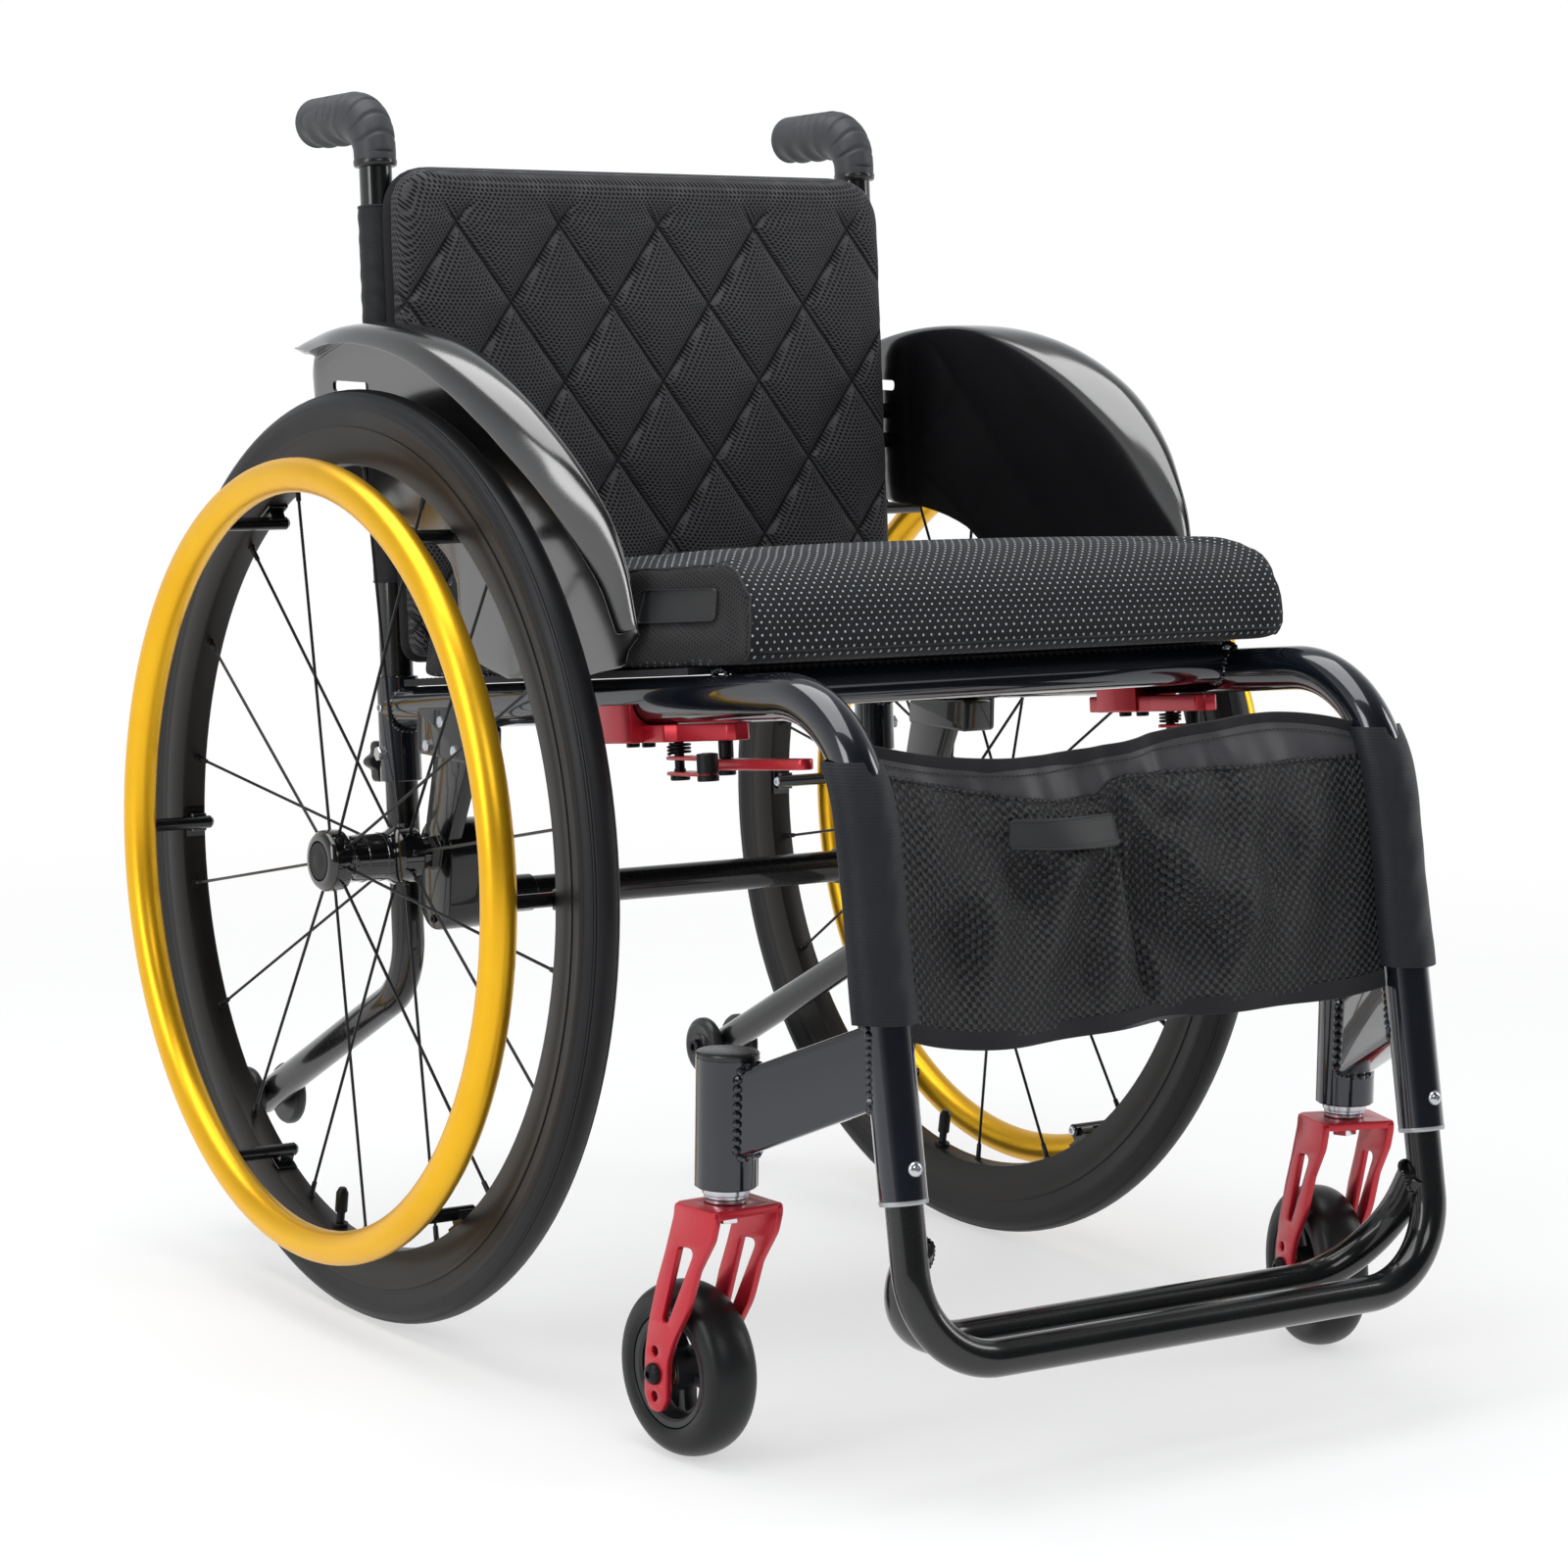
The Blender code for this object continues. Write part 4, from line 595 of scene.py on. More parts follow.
# Beads in a row along a line: weld beads and stitches are both this.
BEADS, given, gives = geometry_tree(
    "beads_along_line", {"Spacing": FLOAT, "Wide": FLOAT, "Long": FLOAT, "Finish": "NodeSocketMaterial"}
)
curve = node(BEADS, "GeometryNodeMeshToCurve", {0: given["Geometry"]})
spots = node(
    BEADS, "GeometryNodeResampleCurve", {"Curve": curve.outputs[0], "Length": given["Spacing"]}, mode="LENGTH"
)
ball = node(BEADS, "GeometryNodeMeshUVSphere", {"Segments": 8, "Rings": 5, "Radius": 1.0})
lie = node(
    BEADS, "FunctionNodeAlignRotationToVector",
    {"Vector": node(BEADS, "GeometryNodeInputTangent").outputs[0]}, axis="Z"
)
size = node(BEADS, "ShaderNodeCombineXYZ", {0: given["Wide"], 1: given["Wide"], 2: given["Long"]})
copies = node(
    BEADS, "GeometryNodeInstanceOnPoints",
    {
        "Points": spots.outputs[0], "Instance": ball.outputs[0], "Rotation": lie.outputs[0],
        "Scale": size.outputs[0]
    }
)
real = node(BEADS, "GeometryNodeRealizeInstances", {0: copies.outputs[0]})
soft = node(BEADS, "GeometryNodeSetShadeSmooth", {0: real.outputs[0]})
done = node(BEADS, "GeometryNodeSetMaterial", {"Geometry": soft.outputs[0], "Material": given["Finish"]})
BEADS.links.new(done.outputs[0], gives["Geometry"])

navy = grained(
    "navy_lacquer", tint(9, 12, 19), tint(25, 31, 43), (0.14, 0.21), metallic=0.5, scale=900, relief=0.02,
    depth=0.0001, Coat_Weight=1.0, Coat_Roughness=0.02
)
bare_edge = grained(
    "bare_aluminium", tint(150, 152, 155), tint(190, 192, 196), (0.28, 0.4), metallic=1.0, scale=700
)
zinc = grained(
    "zinc_plated_steel", tint(168, 172, 178), tint(214, 217, 222), (0.16, 0.3), metallic=1.0, scale=500
)
black_cap = grained("black_cap_plastic", tint(17, 18, 20), tint(30, 31, 34), (0.22, 0.34), scale=500)


def weld(points, wide=0.0021, spacing=0.0030, paint=None):
    """A row of weld beads round a seam."""
    return grown(
        BEADS, line_mesh(points, True), Spacing=spacing, Wide=wide, Long=wide * 0.95, Finish=paint or navy
    )


def on_pipe(point, way, base, axis, radius):
    """Where a line from a point meets a round tube."""
    axis = Vector(axis).normalized()
    off = Vector(point) - Vector(base)
    p, d = off - axis * off.dot(axis), way - axis * way.dot(axis)
    a, b, c = d.dot(d), 2 * p.dot(d), p.dot(p) - radius * radius
    t = (-b - math.sqrt(max(b * b - 4 * a * c, 0))) / (2 * a)
    return Vector(point) + way * t


def hex_screw(place, way, radius, tall, socket=True):
    """A hexagon head with broken corners, or a round cap head with its socket."""
    place, way = Vector(place), Vector(way).normalized()
    if socket:
        rim = [(0, 0), (0, radius), (tall * 0.8, radius), (tall, radius * 0.86)]
        well = [(tall, radius * 0.52), (tall * 0.45, radius * 0.48), (tall * 0.45, 0)]
        return spun(rim + well, place, way, 24)
    head = [(0, 0), (0, radius), (tall * 0.82, radius), (tall, radius * 0.84), (tall, 0)]
    return spun(head, place, way, 6)


def dome_screw(place, way, radius, tall):
    """A round-headed screw with a small socket."""
    steps = [(tall * math.sin(a), radius * math.cos(a)) for a in (k * math.pi / 16 for k in range(7))]
    well = [(tall * 0.93, radius * 0.30), (tall * 0.45, radius * 0.28), (tall * 0.45, 0)]
    return spun([(0, 0), *steps, *well], place, way, 24)


rail = bent([on_cane(rail_z(CANE_FOOT)), at(FRAME_X, *CORNER), on_leg(0.3120)], 0.080, 22)
# Below its bend the down tube is hollow, and the footrest's tube slides in it.
LEG_END = 0.175
leg_low, leg_long = on_leg(LEG_END), (0.3124 - LEG_END) / leg_way.z
hollow = [(0, 0.0113), (0, 0.0136), (0.0004, TUBE_R), (leg_long, TUBE_R), (leg_long, 0.0113)]
hollow = spun(hollow, leg_low, leg_way, 32, closed=True)
receiver = tube([on_cane(0.3466), on_cane(0.4166)], TUBE_R)
housing_low = at(STEM_X, STEM_Y, HOUSING_Z)
HOUSING_R, HOUSING_TALL = 0.0185, 0.0755
housing = [(0, 0.0070), (0, 0.0177), (0.0008, HOUSING_R), (HOUSING_TALL, HOUSING_R), (HOUSING_TALL, 0.0070)]
housing = spun(housing, housing_low, UP, 48, closed=True)
cap = [
    (HOUSING_TALL, 0), (HOUSING_TALL, 0.0182), (0.0780, 0.0186), (0.0790, 0.0178), (0.0795, 0.0150),
    (0.0790, 0)
]
cap = spun(cap, housing_low, UP, 48)
arm_from, arm_to = on_leg(0.2536), at(STEM_X, STEM_Y, 0.2055)
arm_way = (arm_to - arm_from).normalized()
arm_side = arm_way.cross(UP).normalized()


def box(low_u, low_v, high_u, high_v):
    """The corners of a box's outline."""
    return [(low_u, low_v), (high_u, low_v), (high_u, high_v), (low_u, high_v)]


def arm_ring(share, wide, tall):
    """The arm's outline at a share of the way from the down tube to the housing."""
    loop = rounded(box(-wide / 2, -tall / 2, wide / 2, tall / 2), 0.0055, 4)
    return [arm_from.lerp(arm_to, share) + arm_side * u + Vector((0, 0, v)) for u, v in loop]


rings = [arm_ring(t, 0.024 - 0.002 * t, 0.0500 + 0.0020 * t) for t in (0.0, 0.2, 0.4, 0.6, 0.8, 1.0)]
arm = skinned(rings)
middle = arm_ring(0.5, 0.0235, 0.0512)
far = [q - p for p, q in zip(rings[0], rings[-1])]
leg_seam = [on_pipe(p, -w.normalized(), arm_from, leg_way, TUBE_R) for p, w in zip(middle, far)]
stem_seam = [on_pipe(p, w.normalized(), arm_to, UP, HOUSING_R) for p, w in zip(middle, far)]
rear_oval = circle(TUBE_R, 40, TUBE_R * 1.02)
rear_seam = [on_cane(0.395) + Vector((u, -0.0142, v)) for u, v in rear_oval]
bolt_z, screw_z, drain_z = 0.3656, 0.396, 0.3478
end_ring = [(-0.0004, 0.0113), (-0.0004, 0.0139), (0.0008, 0.0142), (0.0022, 0.0142), (0.0022, 0.0113)]
end_ring = spun(end_ring, leg_low, leg_way, 48, closed=True)
beads = [weld(leg_seam, 0.0027, 0.0042), weld(stem_seam, 0.0029, 0.0052), weld(rear_seam, 0.0017)]
frame_parts = [(mesh, navy) for mesh in (tube(rail, TUBE_R, 32), hollow, receiver, housing, arm, *beads)]
frame_parts += [
    (cap, black_cap),
    (end_ring, bare_edge),
    (hex_screw(at(FRAME_X + TUBE_R - 0.001, cane_y(bolt_z), bolt_z), -ACROSS, 0.0050, 0.0050, False), zinc),
    (hex_screw(at(FRAME_X + TUBE_R - 0.0006, cane_y(screw_z), screw_z), -ACROSS, 0.0030, 0.0016), zinc),
    (pin(on_cane(drain_z, 0.011), on_cane(drain_z, 0.0148), 0.0052), navy),
]
pair("side_frame", frame_parts, "chair", ["side_frame"])


# Cross tube
# A straight aluminium tube under the front of the seat, coped to both rails, welded all round and
# lacquered with the side frames.
CROSS_Y, CROSS_R, CROSS_END = -0.338, 0.0125, 0.1835
cross_z, rail_there = rail_z(CROSS_Y) + 0.0049, at(FRAME_X, CROSS_Y, rail_z(CROSS_Y))
cross = tube([at(CROSS_END, CROSS_Y, cross_z), at(-CROSS_END, CROSS_Y, cross_z)], CROSS_R, 32)
seam = [
    on_pipe(at(0.10, CROSS_Y + u, cross_z + v), -ACROSS, rail_there, (0, -1, RAIL_SLOPE), TUBE_R)
    for u, v in circle(CROSS_R, 36)
]
bead = weld(seam, wide=0.0018)
cross_parts = [(mesh, navy) for mesh in (cross, bead, moved(bead, MIRROR))]
piece("front_cross_tube_look", cross_parts, "chair", ["front_cross_tube"])


# Axle carriers and crossbar
# A machined aluminium clamp under each rail, with a leg down to the keyhole block that holds the
# axle and the crossbar. Gloss black, with three zinc screws in each clamp.
RAIL_COS, RAIL_SIN = math.cos(math.atan(RAIL_SLOPE)), math.sin(math.atan(RAIL_SLOPE))
SIDE_VIEW = Matrix(((0, 0, 1, 0), (1, 0, 0, AXLE_Y), (0, 1, 0, 0), (0, 0, 0, 1)))
UNDER_RAIL = Matrix(
    ((-1, 0, 0, -FRAME_X), (0, -RAIL_COS, RAIL_SIN, AXLE_Y), (0, RAIL_SIN, RAIL_COS, RAIL_Z), (0, 0, 0, 1))
)

black_gloss = grained(
    "black_lacquer", tint(5, 6, 7), tint(12, 13, 15), (0.20, 0.30), scale=900, relief=0.03, depth=0.0001,
    Specular_IOR_Level=0.3, Coat_Weight=0.6, Coat_Roughness=0.05
)
black_steel = grained(
    "blackened_steel", tint(22, 22, 24), tint(42, 42, 45), (0.34, 0.46), metallic=0.8, scale=600
)


def link(a, b, radius_a, radius_b):
    """An outline with a round end at each of two points."""
    heading = math.atan2(b[1] - a[1], b[0] - a[0])
    turns = [math.pi * k / 14 - math.pi / 2 for k in range(15)]
    far = [(b[0] + radius_b * math.cos(heading + t), b[1] + radius_b * math.sin(heading + t)) for t in turns]
    return far + [
        (a[0] - radius_a * math.cos(heading + t), a[1] - radius_a * math.sin(heading + t)) for t in turns
    ]


def side_plate(outline, low, high, holes=(), edge=0.0008):
    """A plate seen from the side, between two distances out from the middle plane."""
    return slab(outline, -high, -low, SIDE_VIEW, holes, edge)


low_ring = AXLE_Z - 0.032
rail_low = rail_z(-0.03) - TUBE_R
clamp_x = FRAME_X + TUBE_R + 0.0035
# Seen from the side: the leg, the clamp's outer face and the shelf under the rail.
leg_line = [
    (-0.052, rail_low - 0.003), (-0.003, rail_low - 0.003), (0.014, AXLE_Z + 0.008), (-0.018, AXLE_Z + 0.008)
]
CLAMP_Y, clamp_low = -0.067, rail_low - 0.019
clamp_line = [(CLAMP_Y, clamp_low), (0.0, clamp_low), (0.0, RAIL_Z), (CLAMP_Y, rail_z(CLAMP_Y))]
shelf_line = [(CLAMP_Y, clamp_low), (0.0, clamp_low), (0.0, rail_low - 0.0028), (CLAMP_Y, rail_low + 0.0042)]
axle_nut = [
    (0.0030, 0.0065), (0.0030, 0.0115), (0.0037, 0.0125), (0.0050, 0.0116), (0.0108, 0.0116),
    (0.0112, 0.0110), (0.0112, 0.0065)
]
carrier = [
    side_plate(
        link((0, low_ring), (0, AXLE_Z), 0.020, 0.022), FRAME_X - 0.0325, FRAME_X + 0.0035, edge=0.0014
    ),
    side_plate(rounded(leg_line, 0.006), FRAME_X - 0.0065, FRAME_X + 0.0040, edge=0.0012),
    side_plate(rounded(clamp_line, 0.004), FRAME_X + TUBE_R - 0.001, clamp_x, edge=0.0012),
    side_plate(rounded(shelf_line, 0.003), FRAME_X - 0.0085, FRAME_X + TUBE_R, edge=0.0012),
    spun(axle_nut, at(FRAME_X, 0, AXLE_Z), -ACROSS, 6, closed=True),
]
carrier_parts = [(mesh, black_gloss) for mesh in carrier]
for y, up in ((-0.015, -0.0125), (-0.052, -0.0125), (-0.034, 0.005)):
    carrier_parts.append(
        (hex_screw(at(clamp_x - 0.0005, y, rail_low + up), -ACROSS, 0.0042, 0.0026, False), zinc)
    )
for y, z, r in (
    (0.013, AXLE_Z + 0.008, 0.0030), (-0.013, AXLE_Z + 0.008, 0.0030), (0.0, low_ring - 0.0125, 0.0028)
):
    carrier_parts.append((hex_screw(at(FRAME_X + 0.0030, y, z), -ACROSS, r, 0.0022), black_steel))
pair("axle_carrier", carrier_parts, "chair", ["axle_carrier"])

stop, inner = FRAME_X - 0.0328, FRAME_X - 0.0695
half = [
    (0.190, 0), (0.190, 0.0104), (0.1894, 0.0110), (stop, 0.0110), (stop, 0.0121), (stop - 0.0004, 0.0125),
    (inner + 0.0006, 0.0125), (inner, 0.0120), (inner, 0.0110)
]
bar = spun(half + [(-a, r) for a, r in reversed(half)], (0, AXLE_Y, low_ring), (1, 0, 0), 48)
piece("axle_crossbar_look", [(bar, black_gloss)], "chair", ["axle_crossbar"])


# Rear wheels
# A ribbed rubber tyre on a deep anodised rim, nine black spokes to each flange of a gloss black
# hub, and a gold anodised pushrim on six black posts with zinc screws.
WHEEL_X, RIM_IN, PUSHRIM_R = 0.2493, 0.256, 0.2475


def rubber(name, dark, light, roughness, relief=0.18, dust=0.25):
    """Moulded rubber: matt, a little dusty where it is worn, with a fine pebbled skin."""
    made, tree, out = new_material(name)
    spot = object_point(tree)
    grain = grain_at(tree, spot, 1400, roughness)
    blotch = node(
        tree, "ShaderNodeTexNoise", {"Vector": spot, "Scale": 38.0, "Detail": 5.0, "Roughness": 0.6}
    )
    worn = mapped(tree, blotch.outputs[0], 0.5, 0.75, 0.0, dust)
    tone = calc(tree, "MAXIMUM", worn, calc(tree, "MULTIPLY", grain["Tone"], 0.6))
    principled(tree, out, {
        "Base Color": blended(tree, tone, dark, light),
        "Roughness": grain["Roughness"],
        "Normal": bumped(tree, grain["Height"], relief, 0.0002),
        "Specular IOR Level": 0.28,
    })
    return made


tyre_rubber = rubber("tyre_rubber", tint(13, 13, 15), tint(35, 36, 39), (0.38, 0.52))
rim_finish = grained(
    "rim_anodising", tint(23, 21, 20), tint(41, 38, 36), (0.34, 0.46), metallic=0.6, scale=1200, relief=0.05
)
cap_satin = grained(
    "cap_satin", tint(8, 8, 9), tint(17, 17, 19), (0.30, 0.42), scale=900, Specular_IOR_Level=0.2
)
spoke_black = grained(
    "spoke_black", tint(20, 20, 21), tint(40, 40, 42), (0.26, 0.38), metallic=0.7, scale=800
)
hub_gloss = grained(
    "hub_gloss", tint(8, 8, 10), tint(20, 21, 23), (0.10, 0.18), metallic=0.4, scale=700, relief=0.02,
    Coat_Weight=1.0, Coat_Roughness=0.03
)

# Satin gold: rough enough that the bright band along the tube stays soft.
gold = grained(
    "gold_anodising", tint(228, 164, 16), tint(252, 202, 48), (0.30, 0.40), metallic=0.82, scale=1500,
    relief=0.04, depth=0.0001
)


def wheel_part(profile, steps, closed=True):
    """A piece turned about the right rear axle."""
    return spun(profile, at(WHEEL_X, 0, AXLE_Z), -ACROSS, steps, closed)


def on_wheel(degrees, out, radius):
    """A point on the right wheel at an angle up from straight ahead."""
    a = math.radians(degrees)
    return at(WHEEL_X + out, -radius * math.cos(a), AXLE_Z + radius * math.sin(a))


# The tyre's section: an oval crown with pairs of moulded grooves at its shoulders and walls.
section = [(0.0113, 0.2812), (0.0108, 0.2786), (-0.0108, 0.2786), (-0.0113, 0.2812)]
for k in range(-54, 55):
    a = k * 2.0
    cut = sum(math.exp(-(((abs(a) - g) / 1.4) ** 2)) for g in (34, 41, 74, 80)) * 0.0009
    wide, tall = 0.0130 * math.sin(math.radians(a)), (0.0125 - cut) * math.cos(math.radians(a))
    section.append((wide * (1 - cut * 20), 0.2925 + tall))
pair("tyre", [(wheel_part(section, 150), tyre_rubber)], "wheel", ["tyre"], 50)

rim_half = [
    (0.0112, 0.2784), (0.0116, 0.2812), (0.0118, 0.2812), (0.0118, 0.2790), (0.0112, 0.2770),
    (0.0116, 0.2740), (0.0106, 0.2660), (0.0094, 0.2590), (0.0084, 0.2568), (0.0060, 0.2561), (0.0, 0.2560)
]
rim = wheel_part(rim_half + [(-a, r) for a, r in reversed(rim_half[:-1])], 150)
rim_parts = [(rim, rim_finish)]
valve = 262.0
valve_cap = [on_wheel(valve, 0, RIM_IN - r) for r in (0.010, 0.0235, 0.025, 0.027)]
rim_parts += [
    (pin(on_wheel(valve, 0, RIM_IN + 0.001), on_wheel(valve, 0, RIM_IN - 0.016), 0.0028), black_steel),
    (tube(valve_cap, 0.0042, 18, sizes=(1, 1, 0.8, 0.66)), cap_satin),
    (pin(on_wheel(valve, 0, RIM_IN + 0.0005), on_wheel(valve, 0, RIM_IN - 0.0025), 0.0055), black_steel),
]
# Each spoke: its angle, its place on a hub flange, and how far out it meets the rim.
SPOKES = [
    (11.4 + 20 * k, *(((0.0230, 0.0165), 0.002) if k % 2 else ((-0.0262, 0.0155), -0.002))) for k in range(18)
]
nipple = [
    (0, 0), (0, 0.0026), (0.0014, 0.0024), (0.0020, 0.0018), (0.0110, 0.0017), (0.0118, 0.0012), (0.0118, 0)
]
for a, flange, out_rim in SPOKES:
    foot = on_wheel(a, out_rim, RIM_IN + 0.0005)
    rim_parts.append((spun(nipple, foot, (on_wheel(a, *flange) - foot).normalized(), 10), spoke_black))
pair("rim", rim_parts, "wheel", ["rim"])

pushrim = wheel_part([(0.0443 + u, 0.2505 + v) for u, v in circle(0.0112, 28)], 160)
push_parts = [(pushrim, gold)]
post_screw = [
    (-0.0002, 0), (-0.0002, 0.0034), (0.0008, 0.0034), (0.0012, 0.0030), (0.0012, 0.0016), (0.0004, 0.0014),
    (0.0004, 0)
]
post_block = rounded(box(-0.0062, -0.0043, 0.0062, 0.0043), 0.0012, 3)
post_foot = rounded(box(-0.0105, -0.0012, 0.0105, 0.0008), 0.0006, 2)
for k in range(6):
    a = 1.6 + 60 * k
    foot, head = on_wheel(a, -0.0085, PUSHRIM_R), on_wheel(a, 0.0400, PUSHRIM_R)
    tangent = (on_wheel(a + 1, 0, PUSHRIM_R) - on_wheel(a - 1, 0, PUSHRIM_R)).normalized()
    push_parts += [
        (tube([foot, foot.lerp(head, 0.5), head], 0.0045, 20, edge=0.0007), black_gloss),
        (spun(post_screw, foot, ACROSS, 16), zinc),
        (swept([on_wheel(a, s, 0.2515) for s in (-0.0050, 0.0050)], post_block, first=tangent), black_gloss),
        (swept([on_wheel(a, s, 0.2550) for s in (-0.0070, 0.0070)], post_foot, first=tangent), black_gloss),
    ]
pair("pushrim", push_parts, "wheel", ["pushrim"])

face = 0.0347
hub = [
    (face - 0.0055, 0.0133), (face, 0.0133), (face, 0.0160), (face - 0.0006, 0.0174), (face - 0.0018, 0.0186),
    (face - 0.0034, 0.0199), (face - 0.0048, 0.0202), (face - 0.0140, 0.0202), (face - 0.0152, 0.0198),
    (face - 0.0170, 0.0174), (face - 0.0200, 0.0159), (face - 0.0230, 0.0155), (0.0050, 0.0155),
    (0.0046, 0.0160), (0.0036, 0.0160), (0.0032, 0.0155), (-0.0090, 0.0155), (-0.0094, 0.0160),
    (-0.0104, 0.0160), (-0.0108, 0.0156), (-0.0140, 0.0158), (-0.0190, 0.0184), (-0.0200, 0.0190),
    (-0.0335, 0.0187), (-0.0348, 0.0178), (-0.0348, 0.0105), (-0.0432, 0.0105), (-0.0432, 0.0066),
    (face - 0.0140, 0.0066), (face - 0.0140, 0.0103), (face - 0.0055, 0.0103)
]
hub_parts = [(wheel_part(hub, 64), hub_gloss)]
for a, flange, out_rim in SPOKES:
    start, end = on_wheel(a, *flange), on_wheel(a, out_rim, RIM_IN)
    hub_parts.append((tube([start, start.lerp(end, 0.93), end], 0.00105, 8, edge=0.0002), spoke_black))
    hub_parts.append(
        (pin(on_wheel(a, flange[0], 0.0180), on_wheel(a, flange[0], 0.0206), 0.0021, 0.0004, 10), hub_gloss)
    )
pair("hub_spokes", hub_parts, "wheel", ["hub_spokes"])

axle = [
    (face - 0.026, 0), (face - 0.026, 0.0043), (face - 0.0062, 0.0043), (face - 0.0062, 0.0098),
    (face - 0.0137, 0.0098), (face - 0.0137, 0.00635), (-0.0903, 0.00635), (-0.0923, 0.0045), (-0.0923, 0)
]
pair("axle", [(wheel_part(axle, 32, False), zinc)], "chair", ["quick_release_axle"])
button = [
    (face + 0.0006, 0), (face + 0.0005, 0.0060), (face + 0.0000, 0.0098), (face + 0.0002, 0.0108),
    (face + 0.0000, 0.0120), (face - 0.0010, 0.0128), (face - 0.0024, 0.0128), (face - 0.0024, 0.0040),
    (face - 0.0220, 0.0040), (face - 0.0220, 0)
]
pair("button", [(wheel_part(button, 48, False), cap_satin)], "button", ["axle_button"])


# Casters
# A red anodised fork with a long slot and three holes in each cheek, on a stem with washers and a
# chromed nut. The wheel is a solid rubber tyre on a five-spoke plastic hub.
CASTER_Z, FORK_TOP, TRAIL_Y = 0.052, 0.158, -0.381
red = grained(
    "red_anodising", tint(168, 22, 38), tint(205, 40, 56), (0.28, 0.38), metallic=0.55, scale=1300,
    relief=0.05, Coat_Weight=0.35, Coat_Roughness=0.18
)
chrome = grained(
    "chromed_steel", tint(205, 208, 212), tint(235, 237, 240), (0.06, 0.14), metallic=1.0, scale=600,
    relief=0.02
)
brass = grained("bearing_ring", tint(150, 122, 66), tint(196, 166, 98), (0.2, 0.34), metallic=1.0, scale=900)
hub_plastic = grained("hub_plastic", tint(18, 19, 21), tint(34, 35, 38), (0.3, 0.44), scale=700, relief=0.1)
caster_rubber = rubber("caster_rubber", tint(11, 12, 13), tint(32, 33, 35), (0.28, 0.42), 0.10, 0.12)


def caster_pair(name, parts, body, nodes):
    """The right caster's piece and its mirror image, each turned about its stem to where it trails."""
    for side, sign, turn in (("right", 1, 4.0), ("left", -1, -16.5)):
        stem = at(sign * STEM_X, STEM_Y, 0)
        spin = Matrix.Rotation(math.radians(turn), 4, "Z")
        swing = Matrix.Translation(stem) @ spin @ Matrix.Translation(-stem)
        swing = swing @ (MIRROR if sign < 0 else Matrix.Identity(4))
        shapes = [(moved(mesh, swing), paint) for mesh, paint in parts]
        piece(f"{side}_{name}_look", shapes, f"{side}_{body}", [f"{side}_{n}" for n in nodes])


y0, y1, top, low = STEM_Y, TRAIL_Y, FORK_TOP, CASTER_Z
outline = rounded(
    [
        (y0 + 0.0165, top), (y0 + 0.0172, top - 0.008), (y0 + 0.0256, top - 0.032),
        (y1 - 0.0008, top - 0.051), (y1 + 0.0068, low + 0.029), (y1 + 0.0100, low + 0.010),
        (y1 + 0.0100, low - 0.014), (y1 + 0.0045, low - 0.0225), (y1 - 0.0055, low - 0.0225),
        (y1 - 0.0110, low - 0.014), (y1 - 0.0112, low + 0.008), (y1 - 0.0170, low + 0.022),
        (y0 + 0.0034, low + 0.043), (y0 - 0.0055, top - 0.038), (y0 - 0.0112, top - 0.0295),
        (y0 - 0.0190, top - 0.018), (y0 - 0.0226, top - 0.006), (y0 - 0.0222, top)
    ],
    [
        0.004, 0.02, 0.03, 0.05, 0.05, 0.05, 0.008, 0.006, 0.006, 0.008, 0.02, 0.05, 0.05, 0.02, 0.02, 0.02,
        0.02, 0.004
    ]
)
slot_hole = rounded(
    [
        (y0 + 0.0122, top - 0.0260), (y0 - 0.0035, top - 0.0245), (y1 - 0.0122, low + 0.0330),
        (y1 - 0.0062, low + 0.0325)
    ],
    [0.004, 0.004, 0.0022, 0.0022]
)
holes = [slot_hole] + [
    [(y1 + u, low + lift + v) for u, v in circle(r, 20)]
    for lift, r in ((-0.0135, 0.0030), (0.0, 0.0044), (0.0135, 0.0030))
]
cheeks = [
    side_plate(outline, STEM_X + a, STEM_X + b, holes, 0.0011) for a, b in ((-0.025, -0.020), (0.020, 0.025))
]
crown_line = rounded(box(-0.0234, y0 - 0.0222, 0.0234, y0 + 0.0165), 0.003)
stem_hole = [(u, y0 + v) for u, v in circle(0.0064, 24)]
crown = slab(crown_line, top - 0.0050, top + 0.00004, Matrix.Translation((-STEM_X, AXLE_Y, 0)), [stem_hole])
caster_pair(
    "caster_fork", [(mesh, red) for mesh in (*cheeks, crown)], "caster", ["caster_fork"]
)

swivel = at(STEM_X, y0, top)
stem = [
    (0.0777, 0), (0.0777, 0.006), (0.0087, 0.006), (0.0087, 0.0132), (0.0083, 0.0140), (0.0056, 0.0140),
    (0.0052, 0.0134), (0.0048, 0.0134), (0.0044, 0.0129), (0.0032, 0.0129), (0.0028, 0.0112),
    (0.0024, 0.0129), (0.0008, 0.0129), (0.0003, 0.0124), (0.0003, 0.006), (-0.0053, 0.006), (-0.0053, 0)
]
nut = [
    (0.0053, 0), (0.0053, 0.0080), (0.0060, 0.0085), (0.0112, 0.0085), (0.0118, 0.0078), (0.0118, 0.0045),
    (0.0120, 0)
]
stem_parts = [(spun(stem, swivel, UP, 40), zinc), (spun(nut, swivel, -UP, 6), chrome)]
caster_pair("caster_stem", stem_parts, "caster", ["caster_stem"])

